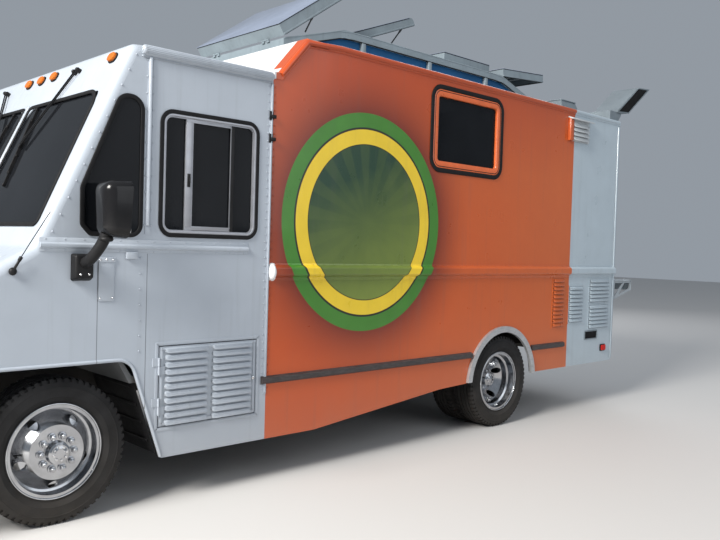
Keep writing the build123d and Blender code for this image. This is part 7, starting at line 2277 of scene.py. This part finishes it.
@dataclass
class RightSide:
    """The right side's entry door, service awning, power inlet and water inlet.

    Args:
        door: The entry door's rear, front, lower and upper edge.
        awning: The awning's edges in the same order.
        inlet: Where the power inlet is in wall coordinates.
    """

    door: tuple[float, float, float, float] = (1.44, 2.14, 0.40, 2.40)
    awning: tuple[float, float, float, float] = (-1.0, 0.8, 1.50, 2.40)
    inlet: Corner = (-1.90, 1.66)

    def edge(self, name: str, edges: Sequence[float], face: Face, body: str) -> Face:
        """Borders a leaf, seals its opening and returns the leaf's own surface."""
        leaf, corners = replace(face, body=body), panel(Side.RIGHT, *edges)
        leaf.lay(Bench.ring, f"{name}_border", "body_paint", grown(corners, -0.020), *LEAF_BORDER)
        face.lay(Bench.ring, f"{name}_seal", "black_rubber", grown(corners, 0.018), *LEAF_SEAL)
        return leaf

    def entry_door(self, face: Face) -> None:
        """Dresses the entry door: border and seal, pressed panel, kick plate with rivets, and the lock."""
        leaf = replace(self.edge("entry_door", self.door, face, "entry_door"), slot="cab_paint")
        pressed = panel(Side.RIGHT, 1.54, 2.04, 0.90, 1.40)
        leaf.lay(Bench.ring, "entry_panel", "body_paint", pressed, *LEAF_PANEL, smooth=50)
        kick = panel(Side.RIGHT, 1.50, 2.08, 0.46, 0.80), 0.002, 0.02, 0.0008
        leaf.lay(Bench.plate, "entry_kick_plate", "brushed_aluminium", *kick, slot="frame_aluminium")
        rows = [((1.515, v), (2.065, v), 8) for v in (0.475, 0.785)]
        Rivets("entry_kick_rivets", rows, 0.005).build(leaf, "bright_steel", 0.001)
        plate = Bench.plate("entry_lock_plate", square(1.468, 1.120, 1.512, 1.165), 0.003, 0.01)
        leaf.put(with_lock("entry_lock", plate, 1.49, 1.1425, 0.002), "bright_steel")

    def service_awning(self, face: Face) -> None:
        """Dresses the awning: border and seal, stiffening beads, latches, and the drip rail over it."""
        leaf = self.edge("awning", self.awning, face, "service_awning")
        beads = [Bench.bead(f"awning_bead_{u}", (u, 1.58), (u, 2.33), 0.016, 0.007)
                 for u in (-0.62, -0.1, 0.42)]
        leaf.put(Bench.join("awning_beads", beads), "body_paint", smooth=60)
        for number, u in enumerate((-0.84, 0.64)):
            name = f"awning_latch_{number}"
            base = Bench.box(f"{name}_base", (u - 0.03, 1.530, 0), (u + 0.03, 1.590, 0.006), 0.002)
            low, high = (u - 0.012, 1.534, 0.004), (u + 0.012, 1.584, 0.018)
            lever = Bench.box(f"{name}_lever", low, high, 0.005, 3)
            leaf.put(Bench.join(name, [base, lever]), "bright_steel", slot="bright_trim")
        drip = Bench.bead("awning_drip_rail", (-1.05, 2.470), (0.85, 2.470), 0.014, 0.016)
        face.put(drip, "body_paint", smooth=60)

    def inlets(self, face: Face) -> None:
        """Fits the shore-power box with its flap, and the water inlet's cap."""
        pieces = [
            Bench.box("power_inlet_base", (-0.075, -0.09, 0), (0.075, 0.09, 0.012), 0.004),
            Bench.box("power_inlet_flap", (-0.06, -0.075, 0.010), (0.06, 0.06, 0.028), 0.010, 3),
            Bench.bar("power_inlet_pin", (-0.055, 0.066, 0.018), (0.055, 0.066, 0.018), 0.006),
        ]
        face.put(Bench.join("power_inlet", pieces), "black_plastic", slot="mirror_black")
        cap = [(0.0003, 0.020), (0.022, 0.020), (0.026, 0.016), (0.030, 0.010), (0.044, 0.006), (0.050, 0.0)]
        beside = face.moved(-0.28, 0)
        beside.lay(Bench.lathe, "water_inlet", "painted_steel", cap, 36, slot="bright_trim")

    def build(self) -> None:
        """Builds the right side's fittings."""
        face = Face(wall(Side.RIGHT), "kitchen_paint")
        self.entry_door(face)
        self.service_awning(face)
        self.inlets(face.moved(*self.inlet))


@dataclass
class Underbody:
    """Wheel guards, tank straps, spring clamps, dampers and exhaust clamps.

    Args:
        spring_y: How far from the middle the springs are.
        pipe: The exhaust pipe's Y and Z.
    """

    spring_y: float = 0.385
    pipe: Corner = (-0.54, 0.47)

    def wheel_guards(self) -> None:
        """Hangs a ribbed splash guard behind each front wheel."""
        up, across = Vector((0.172, 0, 0.50)).normalized(), Vector((0, 1, 0))
        hung = Face(shift(2.150, 0, 0.30) @ axes_to(across, up, across.cross(up)), "chassis_black")
        for side in Side:
            low_y, high_y = sorted((side.value * 0.60, side.value * 1.145))
            name = f"wheel_guard_{side.tag}"
            guard = Bench.plate(name, square(low_y, 0.0, high_y, 0.53), 0.004, 0.02)
            ends = (low_y + 0.04, 0.08, 0.004), (high_y - 0.04, 0.08, 0.004)
            rib = Bench.bead("guard_rib", *ends, 0.012, 0.006)
            hung.put(Bench.join(name, [guard, Bench.row(rib, 4, (0, 0.12, 0))]), "black_plastic")

    def tank_straps(self) -> None:
        """Passes two straps under the tank and bolts them up."""
        straps = []
        for x in (0.33, 0.72):
            strap = Bench.box("tank_strap", (x - 0.02, 0.424, 0.425), (x + 0.02, 0.882, 0.684), 0.012, 3)
            inner = Bench.box("tank_strap_inner", (x - 0.03, 0.428, 0.430), (x + 0.03, 0.878, 0.70), 0.008, 3)
            Bench.modify(strap, "BOOLEAN", operation="DIFFERENCE", object=inner, solver="EXACT")
            bpy.data.objects.remove(inner)
            straps += [strap, Bench.bar("tank_bolt", (x, 0.892, 0.600), (x, 0.892, 0.690), 0.006)]
        hand_over(Bench.join("tank_straps", straps), "painted_steel", slot="tank_steel")

    def u_bolts(self, axle: float, y: float) -> list[Piece]:
        """Bends the pair of U-bolts over a spring at an axle."""
        feet = [(y - 0.045, 0.395), (y - 0.045, 0.548), (y + 0.045, 0.548), (y + 0.045, 0.395)]
        return [Bench.tube("u_bolt", [(x, across, z) for across, z in feet], 0.008, 2)
                for x in (axle - 0.062, axle + 0.062)]

    def damper(self, axle: float, sign: int) -> list[Piece]:
        """Leans a damper and its rod beside a spring."""
        foot = Vector((axle - 0.10, sign * 0.50, 0.42))
        head = Vector((axle - 0.24, sign * 0.46, 0.70))
        body = Bench.bar("damper_body", foot, foot.lerp(head, 0.6), 0.030, 20)
        return [body, Bench.bar("damper_rod", foot.lerp(head, 0.55), head, 0.018, 16)]

    def springs(self) -> None:
        """Clamps the four springs and sets a damper beside each."""
        bolts, dampers = [], []
        for side in Side:
            for axle in AXLES.values():
                bolts += self.u_bolts(axle, side.value * self.spring_y)
                dampers += self.damper(axle, side.value)
        hand_over(Bench.join("spring_u_bolts", bolts), "frame_black", slot="chassis_black", smooth=60)
        hand_over(Bench.join("dampers", dampers), "frame_black", slot="chassis_black")

    def exhaust_clamps(self) -> None:
        """Rings the exhaust pipe with clamps and hangers."""
        y, z = self.pipe
        line = [(0.030, -0.012), (0.039, -0.012), (0.039, 0.012), (0.030, 0.012)]
        rings = []
        for x in (1.70, 1.05, 0.10):
            ring = Bench.lathe("exhaust_ring", line, 24)
            rings.append(Bench.place(ring, shift(x, y, z) @ Matrix.Rotation(math.pi / 2, 4, "Y")))
            rings.append(Bench.bar("exhaust_hanger", (x, y, 0.505), (x, -0.50, 0.60), 0.006))
        hand_over(Bench.join("exhaust_clamps", rings), "exhaust_pipe", slot="exhaust_steel")

    def build(self) -> None:
        """Builds the fittings under the floor."""
        self.wheel_guards()
        self.tank_straps()
        self.springs()
        self.exhaust_clamps()


@dataclass
class CabInside:
    """The driver's seat as soft forms on a sprung pedestal, and the dash's dials, vents and switches.

    Args:
        seat: The seat's middle as (x, y).
        pressure: The air pressure that fills a cushion.
        cap: How far it may move a cushion's skin.
        steps: How many steps of the cloth are run.
        fill: Not used.
        dash_x: The dash's face.
    """

    seat: Corner = (1.90, 0.65)
    pressure: float = 4.0
    cap: float = 0.024
    steps: int = 20
    fill: float = 0.85
    dash_x: float = 2.545

    def cushion(self, name: str, low: Point, high: Point, seam: Callable[[Vector], bool]) -> Piece:
        """Blows a rounded block up as cloth, held along its seams.

        Args:
            name: The piece's name.
            low: The block's lowest corner.
            high: Its highest corner.
            seam: Says of a place whether it is held.

        Returns:
            The cushion, with crowned channels between its seams.
        """
        piece = Bench.box(name, low, high, 0.026, 5)
        Bench.modify(piece, "REMESH", mode="VOXEL", voxel_size=0.008)
        held = piece.vertex_groups.new(name="held")
        held.add([corner.index for corner in piece.data.vertices if seam(corner.co)], 1.0, "REPLACE")
        start = [corner.co.copy() for corner in piece.data.vertices]
        Bench.take(piece)
        cloth = piece.modifiers.new("cloth", "CLOTH")
        cloth.settings.use_pressure = True
        cloth.settings.uniform_pressure_force = self.pressure
        cloth.settings.vertex_group_mass = held.name
        cloth.settings.effector_weights.gravity = 0
        for step in range(self.steps):
            bpy.context.scene.frame_set(step + 1)
        bpy.ops.object.modifier_apply(modifier=cloth.name)
        bpy.context.scene.frame_set(1)
        for corner, place in zip(piece.data.vertices, start):
            move = corner.co - place
            if move.length > self.cap:
                corner.co = place + move * (self.cap / move.length)
        Bench.modify(piece, "SUBSURF", levels=1)
        return piece

    def pedestal(self) -> Piece:
        """Builds the foot, the bellows and the pan, which with the cushions replace the CAD seat."""
        x, y = self.seat
        folds = [Bench.box("seat_foot", (x - 0.18, y - 0.17, 0.780), (x + 0.18, y + 0.17, 0.812), 0.008)]
        for number in range(5):
            reach, z = 0.150 if number % 2 else 0.132, 0.806 + number * 0.048
            low, high = (x - reach, y - reach, z), (x + reach, y + reach, z + 0.052)
            folds.append(Bench.box("seat_fold", low, high, 0.016, 3))
        low, high = (x - 0.21, y - 0.20, 1.050), (x + 0.20, y + 0.20, 1.092)
        folds.append(Bench.box("seat_pan", low, high, 0.012, 3))
        return hand_over(Bench.join("seat_pedestal", folds), "black_plastic", slot="seat_vinyl")

    def driver_seat(self) -> None:
        """Sets the cushion and the leaning back on the pedestal."""
        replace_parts(self.pedestal(), "seat")
        x, y = self.seat

        def base_seam(place: Vector) -> bool:
            return place.z < -0.034 or (place.z > 0.03 and abs(abs(place.y) - 0.085) < 0.006)

        def back_seam(place: Vector) -> bool:
            upright = abs(abs(place.y) - 0.085) < 0.006 and place.z < 0.44
            return place.x < -0.025 or (place.x > 0.02 and (upright or abs(place.z - 0.45) < 0.006))

        lean = shift(1.645, y, 1.140) @ Matrix.Rotation(math.radians(-8.25), 4, "Y")
        cushions = (
            ("seat_cushion", (-0.225, -0.22, -0.04), (0.225, 0.22, 0.04), base_seam, shift(x, y, 1.134)),
            ("seat_back", (-0.032, -0.21, 0.0), (0.032, 0.21, 0.665), back_seam, lean),
        )
        for name, low, high, seam, at in cushions:
            piece = self.cushion(name, low, high, seam)
            Face(at, "seat_vinyl").put(piece, "seat_black", smooth=60)

    def dials(self, face: Face) -> None:
        """Sets the dials with their hands in the dash's face."""
        spots = ((-0.72, 1.40, 0.055), (-0.58, 1.40, 0.055), (-0.47, 1.43, 0.026), (-0.47, 1.365, 0.026))
        dials = []
        for u, v, radius in spots:
            rim = [(radius - 0.006, 0.002), (radius - 0.004, 0.010), (radius, 0.011), (radius + 0.005, 0.006)]
            rim = Bench.lathe("dial_rim", [*rim, (radius + 0.006, -0.002)], 36)
            dials.append(Bench.place(rim, shift(u, v, 0)))
            low, high = (u - 0.001, v, 0.002), (u + 0.001, v + radius * 0.7, 0.004)
            dials.append(Bench.box("dial_hand", low, high, 0.0004, 1))
        face.put(Bench.join("dash_dials", dials), "bright_steel")

    def vents(self, face: Face) -> None:
        """Sets the air vents and a row of switches in the dash's face."""
        vents = []
        for u in (-0.95, -0.30, 0.30, 0.95):
            outline = square(u - 0.06, 1.385, u + 0.06, 1.455)
            vents.append(Bench.ring("vent_frame", outline, 0.012, 0.008, 0.008, 0.002))
            slat = Bench.box("vent_slats", (u - 0.054, 1.392, 0.0), (u + 0.054, 1.396, 0.006), 0.001, 1)
            vents.append(Bench.row(slat, 5, (0, 0.013, 0)))
        key = Bench.box("dash_switches", (-0.20, 1.30, 0), (-0.176, 1.335, 0.008))
        vents.append(Bench.row(key, 8, (0.034, 0, 0)))
        face.put(Bench.join("dash_vents", vents), "black_gloss")

    def build(self) -> None:
        """Builds the inside of the cab."""
        self.driver_seat()
        face = Face(facing(self.dash_x, -1), "dash_plastic")
        self.dials(face)
        self.vents(face)


SECTIONS = (
    Glazing, CabTrim, KitchenTrim, Tyres, WheelTrim, FrontFace, Mirrors, RoofWorks, RearEnd, RightSide,
    Underbody, CabInside,
)


def clear_start() -> None:
    """Removes what a new Blender file starts with."""
    for name in ("Cube", "Light", "Camera"):
        if name in bpy.data.objects:
            bpy.data.objects.remove(bpy.data.objects[name])


def main() -> None:
    """Builds every section in order."""
    clear_start()
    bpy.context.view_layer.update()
    Studio().build()
    SHOP.dress_frame()
    for section in SECTIONS:
        LOG.info("building %s", section.__name__)
        section().build()


if __name__ == "__main__":
    main()
